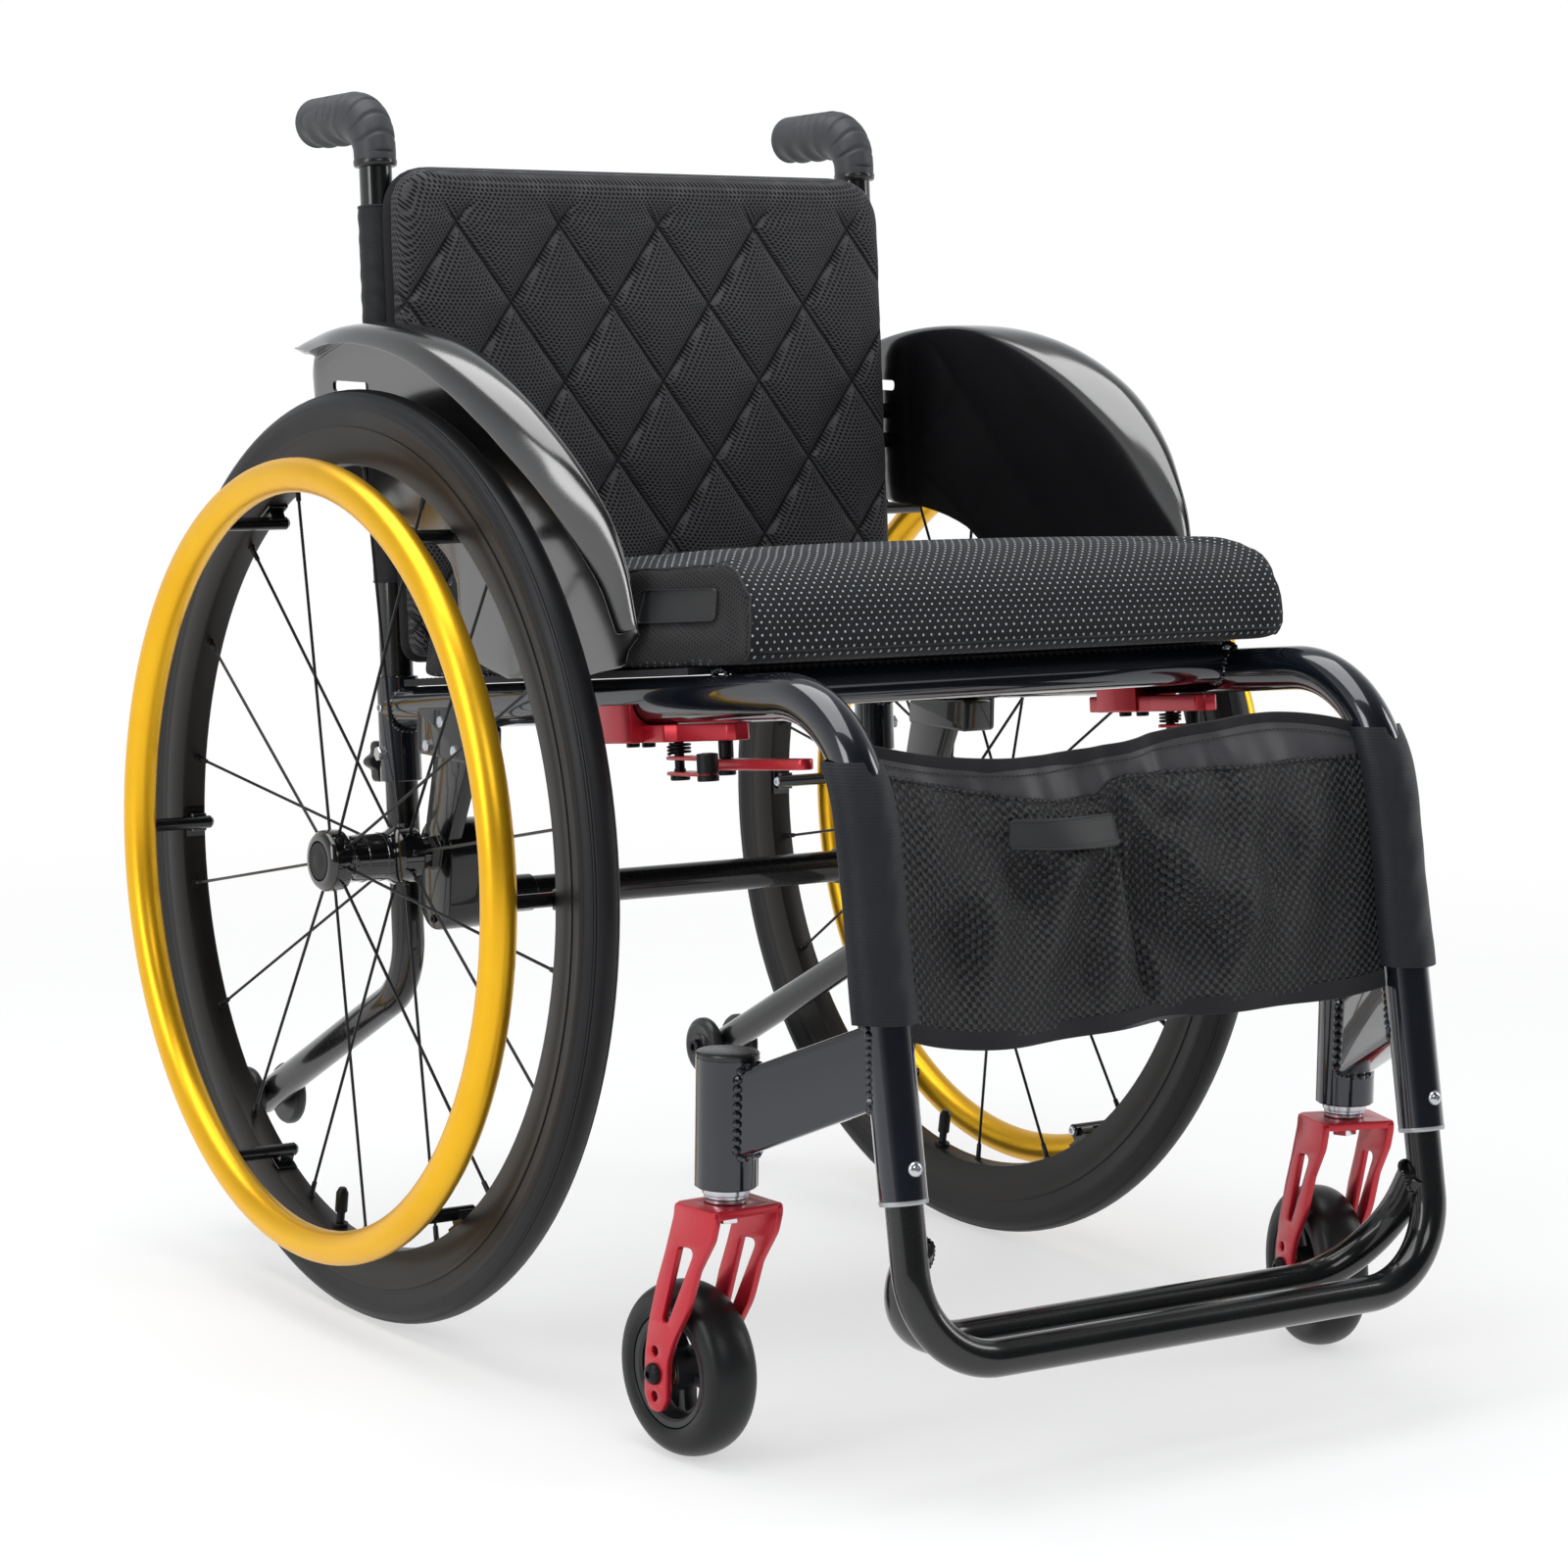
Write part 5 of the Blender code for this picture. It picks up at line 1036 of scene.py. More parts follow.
hub_at = at(STEM_X, y1, low)
crown_line = [
    (0.0165 * math.sin(a), 0.0385 + 0.0135 * math.cos(a) ** 0.62)
    for a in map(math.radians, range(88, -89, -8))
]
tyre = [(0.0150, 0.0342), (0.0165, 0.0368), *crown_line, (-0.0165, 0.0368), (-0.0150, 0.0342)]
tyre = spun(tyre, hub_at, -ACROSS, 72, closed=True)
caster_pair("caster_tyre", [(tyre, caster_rubber)], "caster_wheel", ["caster_tyre"])

ring = [
    (0.0142, 0.0337), (0.0148, 0.0332), (0.0144, 0.0300), (0.0130, 0.0284), (0.0040, 0.0280),
    (-0.0040, 0.0280), (-0.0130, 0.0284), (-0.0144, 0.0300), (-0.0148, 0.0332), (-0.0142, 0.0337)
]
windows, window = [], [(0.0128, 0.42), (0.0262, 0.50), (0.0262, -0.50), (0.0128, -0.42)]
for turn in full_turn(5):
    a = turn + math.pi / 2
    windows.append(
        rounded([(y1 + r * math.cos(a + t), low + r * math.sin(a + t)) for r, t in window], 0.0022, 4)
    )
web = [(y1 + u, low + v) for u, v in circle(0.0286, 60)]
web = side_plate(web, STEM_X - 0.0048, STEM_X + 0.0048, windows, 0.0009)
boss = [
    (0.0165, 0.0044), (0.0165, 0.0108), (0.0158, 0.0120), (0.0, 0.0128), (-0.0158, 0.0120), (-0.0165, 0.0108),
    (-0.0165, 0.0044)
]
bearing = [(0.0167, 0.0056), (0.0167, 0.0098), (0.0163, 0.0104), (0.0155, 0.0104), (0.0155, 0.0056)]
hub_parts = [
    (spun(ring, hub_at, -ACROSS, 72, closed=True), hub_plastic),
    (web, hub_plastic),
    (spun(boss, hub_at, -ACROSS, 40, closed=True), hub_plastic),
]
hub_parts += [
    (spun([(s * a, r) for a, r in bearing], hub_at, -ACROSS, 32, closed=True), brass) for s in (1, -1)
]
caster_pair("caster_hub", hub_parts, "caster_wheel", ["caster_hub"])

bolt = [(pin(at(STEM_X - 0.0253, y1, low), at(STEM_X + 0.0253, y1, low), 0.004), zinc)]
bolt_head = [
    (0, 0), (0, 0.0064), (0.0008, 0.0065), (0.0030, 0.0055), (0.0042, 0.0036), (0.0045, 0.0022),
    (0.0030, 0.0020), (0.0030, 0)
]
for s in (1, -1):
    bolt.append((spun(bolt_head, at(STEM_X + s * 0.0253, y1, low), (-s, 0, 0), 28), black_steel))
caster_pair("caster_bolt", bolt, "caster", ["caster_axle_bolt"])


# Footrest
# One gloss black tube slides up inside both down tubes and crosses in front. A heel bar is welded
# behind it, and a screw in each down tube holds its height.
foot_z, heel_x, HEEL_R = 0.0835, FRAME_X - 0.007, 0.0105
heel_z = foot_z + 0.0645


def carried_over(half, radius, steps):
    """A bent path on the right, carried on to its mirror image on the left."""
    return bent(half + [MIRROR @ p for p in reversed(half)], radius, steps)


legs = carried_over([on_leg(0.290), on_leg(foot_z)], 0.055, 20)
heel_top = at(heel_x, front_y(heel_z) + 0.0016, heel_z + 0.0027)
heel = carried_over([heel_top, at(heel_x, front_y(foot_z) + 0.052, foot_z - 0.002)], 0.062, 22)
heel_end = (heel[1] - heel[0]).length
way = (heel[1] - heel[0]).normalized()
a, b = way.orthogonal().normalized(), way.cross(way.orthogonal()).normalized()
# The bar's own outline is cast up on to the leg, no further than the bar's end.
seam = []
for u, v in circle(HEEL_R, 30):
    start = heel[1] + a * u + b * v
    far = (start - on_pipe(start, -way, on_leg(heel_z), leg_way, INNER_R)).dot(way)
    seam.append(start - way * min(far, heel_end))
foot_bead = weld(seam, 0.0015, 0.0024, black_gloss)
foot_meshes = (tube(legs, INNER_R, 28), tube(heel, HEEL_R, 28), foot_bead, moved(foot_bead, MIRROR))
piece(
    "footrest_look", [(mesh, black_gloss) for mesh in foot_meshes], "foot_tube", ["footrest"]
)
LOCK_Z = 0.194
lock_parts = [
    (dome_screw(on_leg(LOCK_Z, 0.0140), leg_front, 0.0046, 0.0032), zinc),
    (pin(on_leg(LOCK_Z, 0.0143), on_leg(LOCK_Z, 0.0117), 0.0020), zinc),
]
pair("lock_screw", lock_parts, "chair", ["footrest_lock_screw"])


# Back canes and grips
# Black tubes that stand in the receivers and bend back at the top, each with a grey rubber grip
# that has fine grooves above, finger waves below and a dark collar.
def grip_line(end_y, first_z):
    """A cane's centre line from a height up, round its bend and back to its end."""
    return bent([on_cane(first_z), on_cane(0.788), at(FRAME_X, end_y, 0.784)], 0.026, 18)


grip_rubber = rubber("grip_rubber", tint(50, 52, 55), tint(76, 78, 81), (0.40, 0.54), 0.12, 0.3)
cane = tube(grip_line(0.160, 0.3826), INNER_R, 28)
cane_screw = dome_screw(on_cane(0.700, INNER_R - 0.0006), cane_back, 0.0042, 0.0024)
pair("back_cane", [(cane, black_gloss), (cane_screw, zinc)], "chair", ["back_cane"])

GRIP_LOW = 0.755
grip_path = grip_line(0.179, GRIP_LOW)
lengths = np.cumsum([0] + [(q - p).length for p, q in zip(grip_path, grip_path[1:])])
straight, total = lengths[-2], lengths[-1]
dome = total - 0.006


def grip_point(s):
    """A point of the grip's centre line, at a distance along it."""
    s = min(max(s, 0), total)
    return Vector([float(np.interp(s, lengths, [p[i] for p in grip_path])) for i in range(3)])


rings = []
for s in (*np.linspace(0, dome, 210), *(total - 0.006 * (1 - np.sin(np.linspace(0.1, 1, 9) * math.pi / 2)))):
    place = grip_point(s)
    way = (grip_point(s + 0.001) - grip_point(s - 0.001)).normalized()
    up = way.cross(ACROSS)
    base = float(np.interp(s, [0, 0.004, 0.012, straight, dome], [0.0136, 0.0140, 0.0142, 0.0178, 0.0172]))
    if s > dome:
        base *= math.sqrt(max(1 - ((s - dome) / 0.0062) ** 2, 0.05))
    run = (s - straight) / (total - straight)
    ring = []
    for a in full_turn(56):
        cut = 0.0
        if -0.05 < run < 0.92:
            # Three finger waves below, and an oval line pressed into the outer side.
            wave = 0.5 - 0.5 * math.cos(2 * math.pi * 3 * run)
            cut += 0.0030 * max(math.sin(a), 0) ** 1.5 * wave * min(1, (run + 0.05) * 8)
            oval = math.hypot((run - 0.42) / 0.34, (math.sin(a) + 0.05) / 0.42)
            if math.cos(a) < -0.5:
                cut += 0.0006 * math.exp(-(((oval - 1) / 0.10) ** 2))
        # Seven fine grooves curve over the front of the bend.
        if 0.008 < s < straight + 0.026 and -math.sin(a) > 0.0:
            groove = ((s - 0.010) / 0.0094 - 0.30 * math.sin(a) ** 2) % 1
            cut += 0.0014 * math.exp(-(((groove - 0.5) / 0.10) ** 2)) * min(1, -math.sin(a) * 3)
        ring.append(place + ACROSS * math.cos(a) * (base - cut) + up * math.sin(a) * (base - cut))
    rings.append(ring)
collar = [
    (-0.0008, 0.0112), (-0.0008, 0.0137), (0.0002, 0.0144), (0.0030, 0.0146), (0.0040, 0.0142),
    (0.0040, 0.0112)
]
collar = spun(collar, on_cane(GRIP_LOW), cane_way, 40, closed=True)
pair("grip", [(skinned(rings), grip_rubber), (collar, black_cap)], "chair", ["grip"], 60)


# Anti-tippers and clamp knobs
# A bent tube in gloss black, clamped in each receiver by a star knob, with two small plastic
# wheels on one bolt.
turn_z, tip = 0.2099, at(FRAME_X, 0.257, 0.0925)
tip_line = bent([on_cane(0.3796), on_cane(turn_z), tip], 0.050, 18)
tip_axle = tip - (tip - on_cane(turn_z)).normalized() * 0.0078
reach = INNER_R + 0.0006 + 0.011 + 0.0003
tip_parts = [
    (tube(tip_line, INNER_R, 28, edge=0.0008), black_gloss),
    (pin(tip_axle - ACROSS * reach, tip_axle + ACROSS * reach, 0.004), black_steel),
]
tip_nut = [
    (-0.0002, 0), (-0.0002, 0.0062), (0.0004, 0.0065), (0.0034, 0.0065), (0.0040, 0.0060), (0.0040, 0.0032),
    (0.0020, 0.0030), (0.0020, 0)
]
tip_parts += [(spun(tip_nut, tip_axle + ACROSS * (s * reach), (s, 0, 0), 6), black_steel) for s in (-1, 1)]
pair("anti_tipper", tip_parts, "tipper", ["anti_tipper"])
for s, name, body in ((-1, "outer_tip_wheel", "outer_roller"), (1, "inner_tip_wheel", "inner_roller")):
    profile = [
        (0.0033, 0.0186), (0.0030, 0.0200), (0.0014, 0.0216), (0.0, 0.0220), (-0.0030, 0.0220),
        (-0.0050, 0.0208), (-0.0055, 0.0200), (-0.0055, 0.0044), (0.0055, 0.0044), (0.0055, 0.0088),
        (0.0050, 0.0096), (0.0036, 0.0104), (0.0040, 0.0150), (0.0042, 0.0170)
    ]
    wheel = spun(profile, tip_axle + ACROSS * (s * (INNER_R + 0.0061)), (s, 0, 0), 48, closed=True)
    pair(name, [(wheel, hub_plastic)], body, [name])

KNOB_Z = 0.3596
star = []
for a in full_turn(96):
    r = 0.0135 + 0.0020 * math.cos(6 * a)
    star.append((r * math.cos(a), r * math.sin(a)))
knob_at = on_cane(KNOB_Z, TUBE_R + 0.0012)
stand = Matrix.Translation(knob_at) @ cane_back.to_track_quat("Z", "Y").to_matrix().to_4x4()
knob_face = [(0.0100, 0.0082), (0.0110, 0.0076), (0.0110, 0.0050), (0.0104, 0.0046), (0.0104, 0)]
knob_parts = [
    (slab(star, 0, 0.0106, stand, edge=0.0016), hub_plastic),
    (spun(knob_face, knob_at, cane_back, 32), hub_plastic),
    (pin(on_cane(KNOB_Z, INNER_R + 0.0008), knob_at + cane_back * 0.002, 0.0035), zinc),
]
pair("clamp_knob", knob_parts, "knob", ["clamp_knob"])


# Brakes
# Red anodised plates under each rail: a bar with a half clamp, a lever and a sprung, hinged arm
# that carries the roller. The screws, the roller and the spring are black.
ALONG_RAIL = Matrix(
    ((-1, 0, 0, -FRAME_X), (0, RAIL_SIN, -RAIL_COS, AXLE_Y), (0, RAIL_COS, RAIL_SIN, RAIL_Z), (0, 0, 0, 1))
)
# The arm's pivot and the lever's, out from the rail and along it.
A, B = (-0.0045, 0.2849), (-0.0151, 0.3203)


def under_rail(out, along, up):
    """A point under the rail: out from it, along it towards the front, and up to it."""
    return UNDER_RAIL @ Vector((out, along, up))


def under_screw(out, along, low, radius, tall=0.0030):
    """A black cap screw seen from below."""
    shank = [(-0.004, 0), (-0.004, radius * 0.6), (0, radius * 0.6), (0, radius), (tall - 0.0005, radius)]
    well = [(tall, radius * 0.88), (tall, radius * 0.5), (tall * 0.3, radius * 0.48), (tall * 0.3, 0)]
    return spun(shank + well, under_rail(out, along, low), under_rail(0, 0, 0) - under_rail(0, 0, 1), 20)


back, front_end = 0.208, B[1] + 0.0185
outline = rounded(
    [
        (-0.0115, back), (0.0085, back), (0.0085, A[1] + 0.004), (0.0040, A[1] + 0.012),
        (B[0] + 0.0085, front_end - 0.004), (B[0] + 0.0045, front_end), (B[0] - 0.0045, front_end),
        (B[0] - 0.0085, front_end - 0.005), (-0.0170, A[1] - 0.004)
    ],
    [0.003, 0.003, 0.004, 0.006, 0.004, 0.002, 0.002, 0.004, 0.012], 6
)
bar = slab(outline, -0.0251, -0.0146, UNDER_RAIL, edge=0.0010)
arc = [(0.0144 * math.cos(math.radians(a)), 0.0144 * math.sin(math.radians(a))) for a in range(352, 187, -6)]
clamp = slab(
    [
        (-0.0175, -0.002), (-0.0175, -0.0240), (-0.0164, -0.0251), (0.0164, -0.0251), (0.0175, -0.0240),
        (0.0175, -0.002), *arc
    ],
    0.2245, 0.2655, ALONG_RAIL, edge=0.0007
)
mount_parts = [(bar, red), (clamp, red)]
mount_parts += [
    (under_screw(-0.0025, along, -0.0251, 0.0042, 0.0032), black_steel) for along in (0.236, 0.254)
]
for pivot, low, radius in ((A, -0.0456, 0.0030), (B, -0.0431, 0.0030), (B, -0.0359, 0.0045)):
    mount_parts.append((pin(under_rail(*pivot, low), under_rail(*pivot, -0.0231), radius), black_steel))
mount_parts += [
    (under_screw(*A, -0.0455, 0.0060), black_steel), (under_screw(*B, -0.0430, 0.0055), black_steel)
]
pair("brake_mount", mount_parts, "chair", ["brake_mount"])

room = [(B[0] + u, B[1] + v) for u, v in circle(0.0033, 20)]
handle = slab(
    link(B, (B[0] + 0.0055, B[1] + 0.090), 0.0085, 0.0055), -0.0427, -0.0362, UNDER_RAIL, [room], 0.0011
)
stub = slab(
    link((B[0] - 0.0002, B[1] - 0.0070), (B[0] - 0.0010, B[1] - 0.0185), 0.0068, 0.0042), -0.04265, -0.03625,
    UNDER_RAIL, edge=0.0010
)
pair("brake_lever", [(handle, red), (stub, red)], "lever", ["brake_lever"])

lean = math.radians(15)
end = (A[0] + 0.055 * math.sin(lean), A[1] + 0.055 * math.cos(lean))
room = [(A[0] + u, A[1] + v) for u, v in circle(0.0033, 20)]
plates = [
    slab(link(A, end, 0.0080, 0.0060), low, high, UNDER_RAIL, [room], 0.0005)
    for low, high in ((-0.0359, -0.0337), (-0.0452, -0.0430))
]
roller = [
    (0, 0), (0, 0.0060), (0.0006, 0.0065), (0.0030, 0.0065), (0.0032, 0.0060), (0.0050, 0.0060),
    (0.0052, 0.0065), (0.0158, 0.0065), (0.0164, 0.0060), (0.0168, 0.0030), (0.0168, 0)
]
roller = spun(roller, under_rail(*end, -0.0482), under_rail(0, 0, 1) - under_rail(0, 0, 0), 36)
arm_parts = [(plates[0], red), (plates[1], red), (roller, black_steel)]
pair("brake_arm", arm_parts, "arm", ["brake_arm"])

COILS, STEPS = 3, 24
helix = []
for k in range(COILS * STEPS + 1):
    a, low = 2 * math.pi * k / STEPS, -0.0262 - 0.0064 * k / (COILS * STEPS)
    helix.append(under_rail(A[0] + 0.0066 * math.cos(a), A[1] + 0.0066 * math.sin(a), low))
spring = tube(helix, 0.0008, 10, edge=0.0002)
pair("brake_spring", [(spring, black_steel)], "chair", ["brake_spring"])


# Side guards
# A moulded plastic shell: a flat panel inside each wheel that curls out over the tyre, satin black,
# with a long slot at the rear and two bolts to the cane.
guard_plastic = grained(
    "guard_satin", tint(6, 6, 8), tint(12, 12, 14), (0.16, 0.22), scale=500, relief=0.006,
    Specular_IOR_Level=1.0, Coat_Weight=0.8, Coat_Roughness=0.14
)
# The flat panel's depth at angles up from straight ahead, and the share of its full width that
# the curl has there.
SPREAD = [29, 31, 34, 40, 46, 53, 60, 68, 74, 82, 93, 105, 119]
DEPTH = [0.015, 0.045, 0.085, 0.120, 0.147, 0.160, 0.168, 0.165, 0.125, 0.114, 0.106, 0.096, 0.063]
FLARE_AT = [31, 38, 44, 50, 56, 62, 70, 95, 103]
FLARE = [0.16, 0.22, 0.42, 0.66, 0.84, 0.95, 1.0, 1.0, 0.85]
# The curl's rows: how far out each lies, the angles where it begins and ends, and how high it
# stands over the tyre at the stations.
STATIONS = [30, 36, 42, 50, 60, 75, 90, 105]
CURL = [
    (0.0000, 30.5, 115.0, [0.003, 0.018, 0.022, 0.026, 0.028, 0.036, 0.040, 0.040]),
    (0.0085, 30.8, 111.5, [0.020, 0.031, 0.035, 0.036, 0.036, 0.040, 0.042, 0.043]),
    (0.0235, 31.4, 110.0, [0.022, 0.032, 0.046, 0.051, 0.051, 0.047, 0.042, 0.040]),
    (0.0425, 31.8, 107.5, [0.012, 0.018, 0.030, 0.038, 0.042, 0.042, 0.041, 0.040]),
    (0.0485, 32.2, 103.0, [0.007, 0.010, 0.014, 0.022, 0.026, 0.028, 0.029, 0.030]),
]


def on_guard(u, level):
    """A point of the shell: levels 0 to 2 are the flat panel, 2 to 6 its curl over the tyre."""
    out, begin, stop, lifts = CURL[max(level - 2, 0)]
    if level < 2:
        begin, stop = 29.5, 119 - 2 * level
    angle = begin + (stop - begin) * u ** 1.15
    radius = 0.305 + float(np.interp(angle, STATIONS, lifts))
    if level < 2:
        bottom = 0.320 - float(np.interp(angle, SPREAD, DEPTH))
        radius = bottom + (radius - bottom) * level / 2
    a = math.radians(angle)
    # The curl narrows to a hooked lip at its front end.
    flare = float(np.interp(angle, FLARE_AT, FLARE))
    return at(0.2135 + out * flare, -radius * math.cos(a), AXLE_Z + radius * math.sin(a))


def grid_faces(across, along):
    """The four-sided faces of an open sheet, by rows."""
    n = across + 1
    starts = [j * n + k for j in range(along) for k in range(across)]
    return [(k, k + 1, k + n + 1, k + n) for k in starts]


COLS, ROWS = 30, 6
points = [on_guard(k / COLS, level) for level in range(ROWS + 1) for k in range(COLS + 1)]
holder = placed("guard", mesh_of(points, grid_faces(COLS, ROWS)))
skin = holder.modifiers.new("skin", "SOLIDIFY")
skin.thickness, skin.offset, skin.use_even_offset = 0.0025, 0, True
skin.edge_crease_rim = 0.55
smooth = holder.modifiers.new("smooth", "SUBSURF")
smooth.levels = smooth.render_levels = 3
slot_line = rounded(box(0.062, 0.6050, 0.112, 0.6122), 0.0034, 6)
cutter = placed("slot", side_plate(slot_line, 0.2035, 0.2235, edge=0.0002))
cut = holder.modifiers.new("slot", "BOOLEAN")
cut.object, cut.solver = cutter, "EXACT"
guard_parts = [(baked(holder), guard_plastic)]
bpy.data.objects.remove(cutter)
for drop in (0.020, 0.041):
    z = 0.610 - drop
    y = cane_y(z)
    guard_parts.append((pin(at(FRAME_X + 0.0131, y, z), at(0.2143, y, z), 0.0055), black_steel))
    guard_parts.append((dome_screw(at(0.2145, y, z), -ACROSS, 0.0050, 0.0030), black_steel))
pair("side_guard", guard_parts, "chair", ["side_guard"])


# Seat sling
# A black webbing sheet stretched over both rails and stitched along its edges. It carries the cushion.
SPOTS, given, gives = value_group(
    "staggered_spots",
    [
        ("Vector", VECTOR, None), ("Across", FLOAT, 0.003), ("Down", FLOAT, 0.002), ("Radius", FLOAT, 0.001),
        ("Tall", FLOAT, 1.0), ("Soft", FLOAT, 0.3)
    ],
    ["Spot"],
)
apart = node(SPOTS, "ShaderNodeSeparateXYZ", {0: given["Vector"]})
row = calc(SPOTS, "DIVIDE", apart.outputs[1], given["Down"])
shift = calc(SPOTS, "MULTIPLY", calc(SPOTS, "FLOORED_MODULO", calc(SPOTS, "FLOOR", row), 2.0), 0.5)
place = calc(SPOTS, "ADD", calc(SPOTS, "DIVIDE", apart.outputs[0], given["Across"]), shift)
side = calc(SPOTS, "MULTIPLY", calc(SPOTS, "SUBTRACT", calc(SPOTS, "FRACT", place), 0.5), given["Across"])
rise = calc(SPOTS, "MULTIPLY", calc(SPOTS, "SUBTRACT", calc(SPOTS, "FRACT", row), 0.5), given["Down"])
rise = calc(SPOTS, "DIVIDE", rise, given["Tall"])
far = calc(
    SPOTS, "SQRT",
    calc(SPOTS, "ADD", calc(SPOTS, "MULTIPLY", side, side), calc(SPOTS, "MULTIPLY", rise, rise))
)
inner = calc(SPOTS, "MULTIPLY", given["Radius"], calc(SPOTS, "SUBTRACT", 1.0, given["Soft"]))
outer = calc(SPOTS, "MULTIPLY", given["Radius"], calc(SPOTS, "ADD", 1.0, given["Soft"]))
SPOTS.links.new(mapped(SPOTS, far, inner, outer, 1.0, 0.0, smooth=True), gives["Spot"])


def spotted(tree, vector, across, down, radius, tall=1.0, soft=0.3):
    """Staggered rows of spots over a flat pattern in metres."""
    values = {"Vector": vector, "Across": across, "Down": down, "Radius": radius, "Tall": tall, "Soft": soft}
    return node(tree, "ShaderNodeGroup", values, node_tree=SPOTS).outputs["Spot"]


def turned_pattern(tree, vector, degrees):
    """A pattern's coordinates turned in their own plane."""
    return node(
        tree, "ShaderNodeMapping", {"Vector": vector, "Rotation": (0, 0, math.radians(degrees))}
    ).outputs[0]


def cloth_uv(tree):
    """The piece's own uv map, in metres along the cloth."""
    return node(tree, "ShaderNodeUVMap", uv_map="cloth").outputs[0]


def ribbed_cloth(name, dark, light, pitch, across=0.0, relief=0.4, rough=(0.62, 0.78)):
    """Plain woven cloth with fine ribs, read from the piece's own uv map, with an uneven tone."""
    made, tree, out = new_material(name)
    turned_uv = turned_pattern(tree, cloth_uv(tree), across)
    ribs = node(
        tree, "ShaderNodeTexWave", {"Vector": turned_uv, "Scale": 0.314 / pitch, "Distortion": 0.0},
        bands_direction="Y"
    )
    threads = spotted(tree, turned_uv, pitch * 0.9, pitch * 0.5, pitch * 0.26)
    grain = grain_at(tree, object_point(tree), 260, rough)
    height = calc(tree, "MULTIPLY_ADD", ribs.outputs["Fac"], 0.6, calc(tree, "MULTIPLY", threads, 0.4))
    tone = calc(tree, "MULTIPLY_ADD", height, 0.5, calc(tree, "MULTIPLY", grain["Tone"], 0.6), clamp=True)
    principled(tree, out, {
        "Base Color": blended(tree, tone, dark, light),
        "Roughness": grain["Roughness"],
        "Normal": bumped(tree, height, relief, 0.0003),
        "Sheen Weight": 0.05,
        "Specular IOR Level": 0.25,
    })
    return made


thread = grained("black_thread", tint(14, 14, 15), tint(34, 34, 36), (0.55, 0.7), scale=1500)
webbing = ribbed_cloth("seat_webbing", tint(14, 15, 17), tint(34, 35, 38), 0.0016)


def stitches(points, spacing=0.0032, wide=0.00042, long=0.00125):
    """A row of stitches along a seam."""
    return grown(BEADS, line_mesh(points), Spacing=spacing, Wide=wide, Long=long, Finish=thread)


def sheet_of(across, along, place, thick, lift=0.0):
    """A sheet of a thickness from a rule, its uv map in metres. A lift of 1 thickens it outwards."""
    us, vs = np.linspace(0, 1, across + 1), np.linspace(0, 1, along + 1)
    points = [[Vector(place(u, v)) for u in us] for v in vs]
    wide = sum((points[along // 2][k + 1] - points[along // 2][k]).length for k in range(across))
    tall = sum((points[k + 1][across // 2] - points[k][across // 2]).length for k in range(along))
    faces, n = grid_faces(across, along), across + 1
    uvs = [(us[corner % n] * wide, vs[corner // n] * tall) for face in faces for corner in face]
    holder = placed("sheet", mesh_of([p for line in points for p in line], faces, uvs))
    skin = holder.modifiers.new("skin", "SOLIDIFY")
    skin.thickness, skin.offset, skin.use_even_offset = thick, lift, True
    return baked(holder)


SLING_WIDE, SLING_BACK, SLING_FRONT = FRAME_X + 0.0115, 0.028, -0.320


def on_sling(u, v, lift=0.0):
    """A point of the sling, from side to side and from back to front."""
    across, y = 2 * u - 1, SLING_BACK + (SLING_FRONT - SLING_BACK) * v
    sag = 0.00036 * math.cos(across * math.pi / 2) * math.sin(math.pi * v)
    return Vector((across * SLING_WIDE, y + AXLE_Y, rail_z(y) + TUBE_R + 0.0028 - sag + lift))


sling_parts = [(sheet_of(80, 60, on_sling, 0.0044), webbing)]
for v in (0.02, 0.05, 0.95, 0.98):
    sling_parts.append((stitches([on_sling(u, v, 0.0023) for u in np.linspace(0.01, 0.99, 60)]), thread))
sling_look = piece("seat_sling_look", sling_parts, "chair", ["seat_sling"])


# Seat cushion
# A foam pad in a knitted cover: near-black with rows of pale dots over the top and the rounded
# front, and fine mesh on both sides, sewn along a corded seam. A rubber patch sits on one side.
SWELL_FRAMES = 20


def points_of(mesh):
    """A mesh's points, one to a row."""
    found = np.empty(len(mesh.vertices) * 3, np.float32)
    mesh.vertices.foreach_get("co", found)
    return found.reshape(-1, 3)


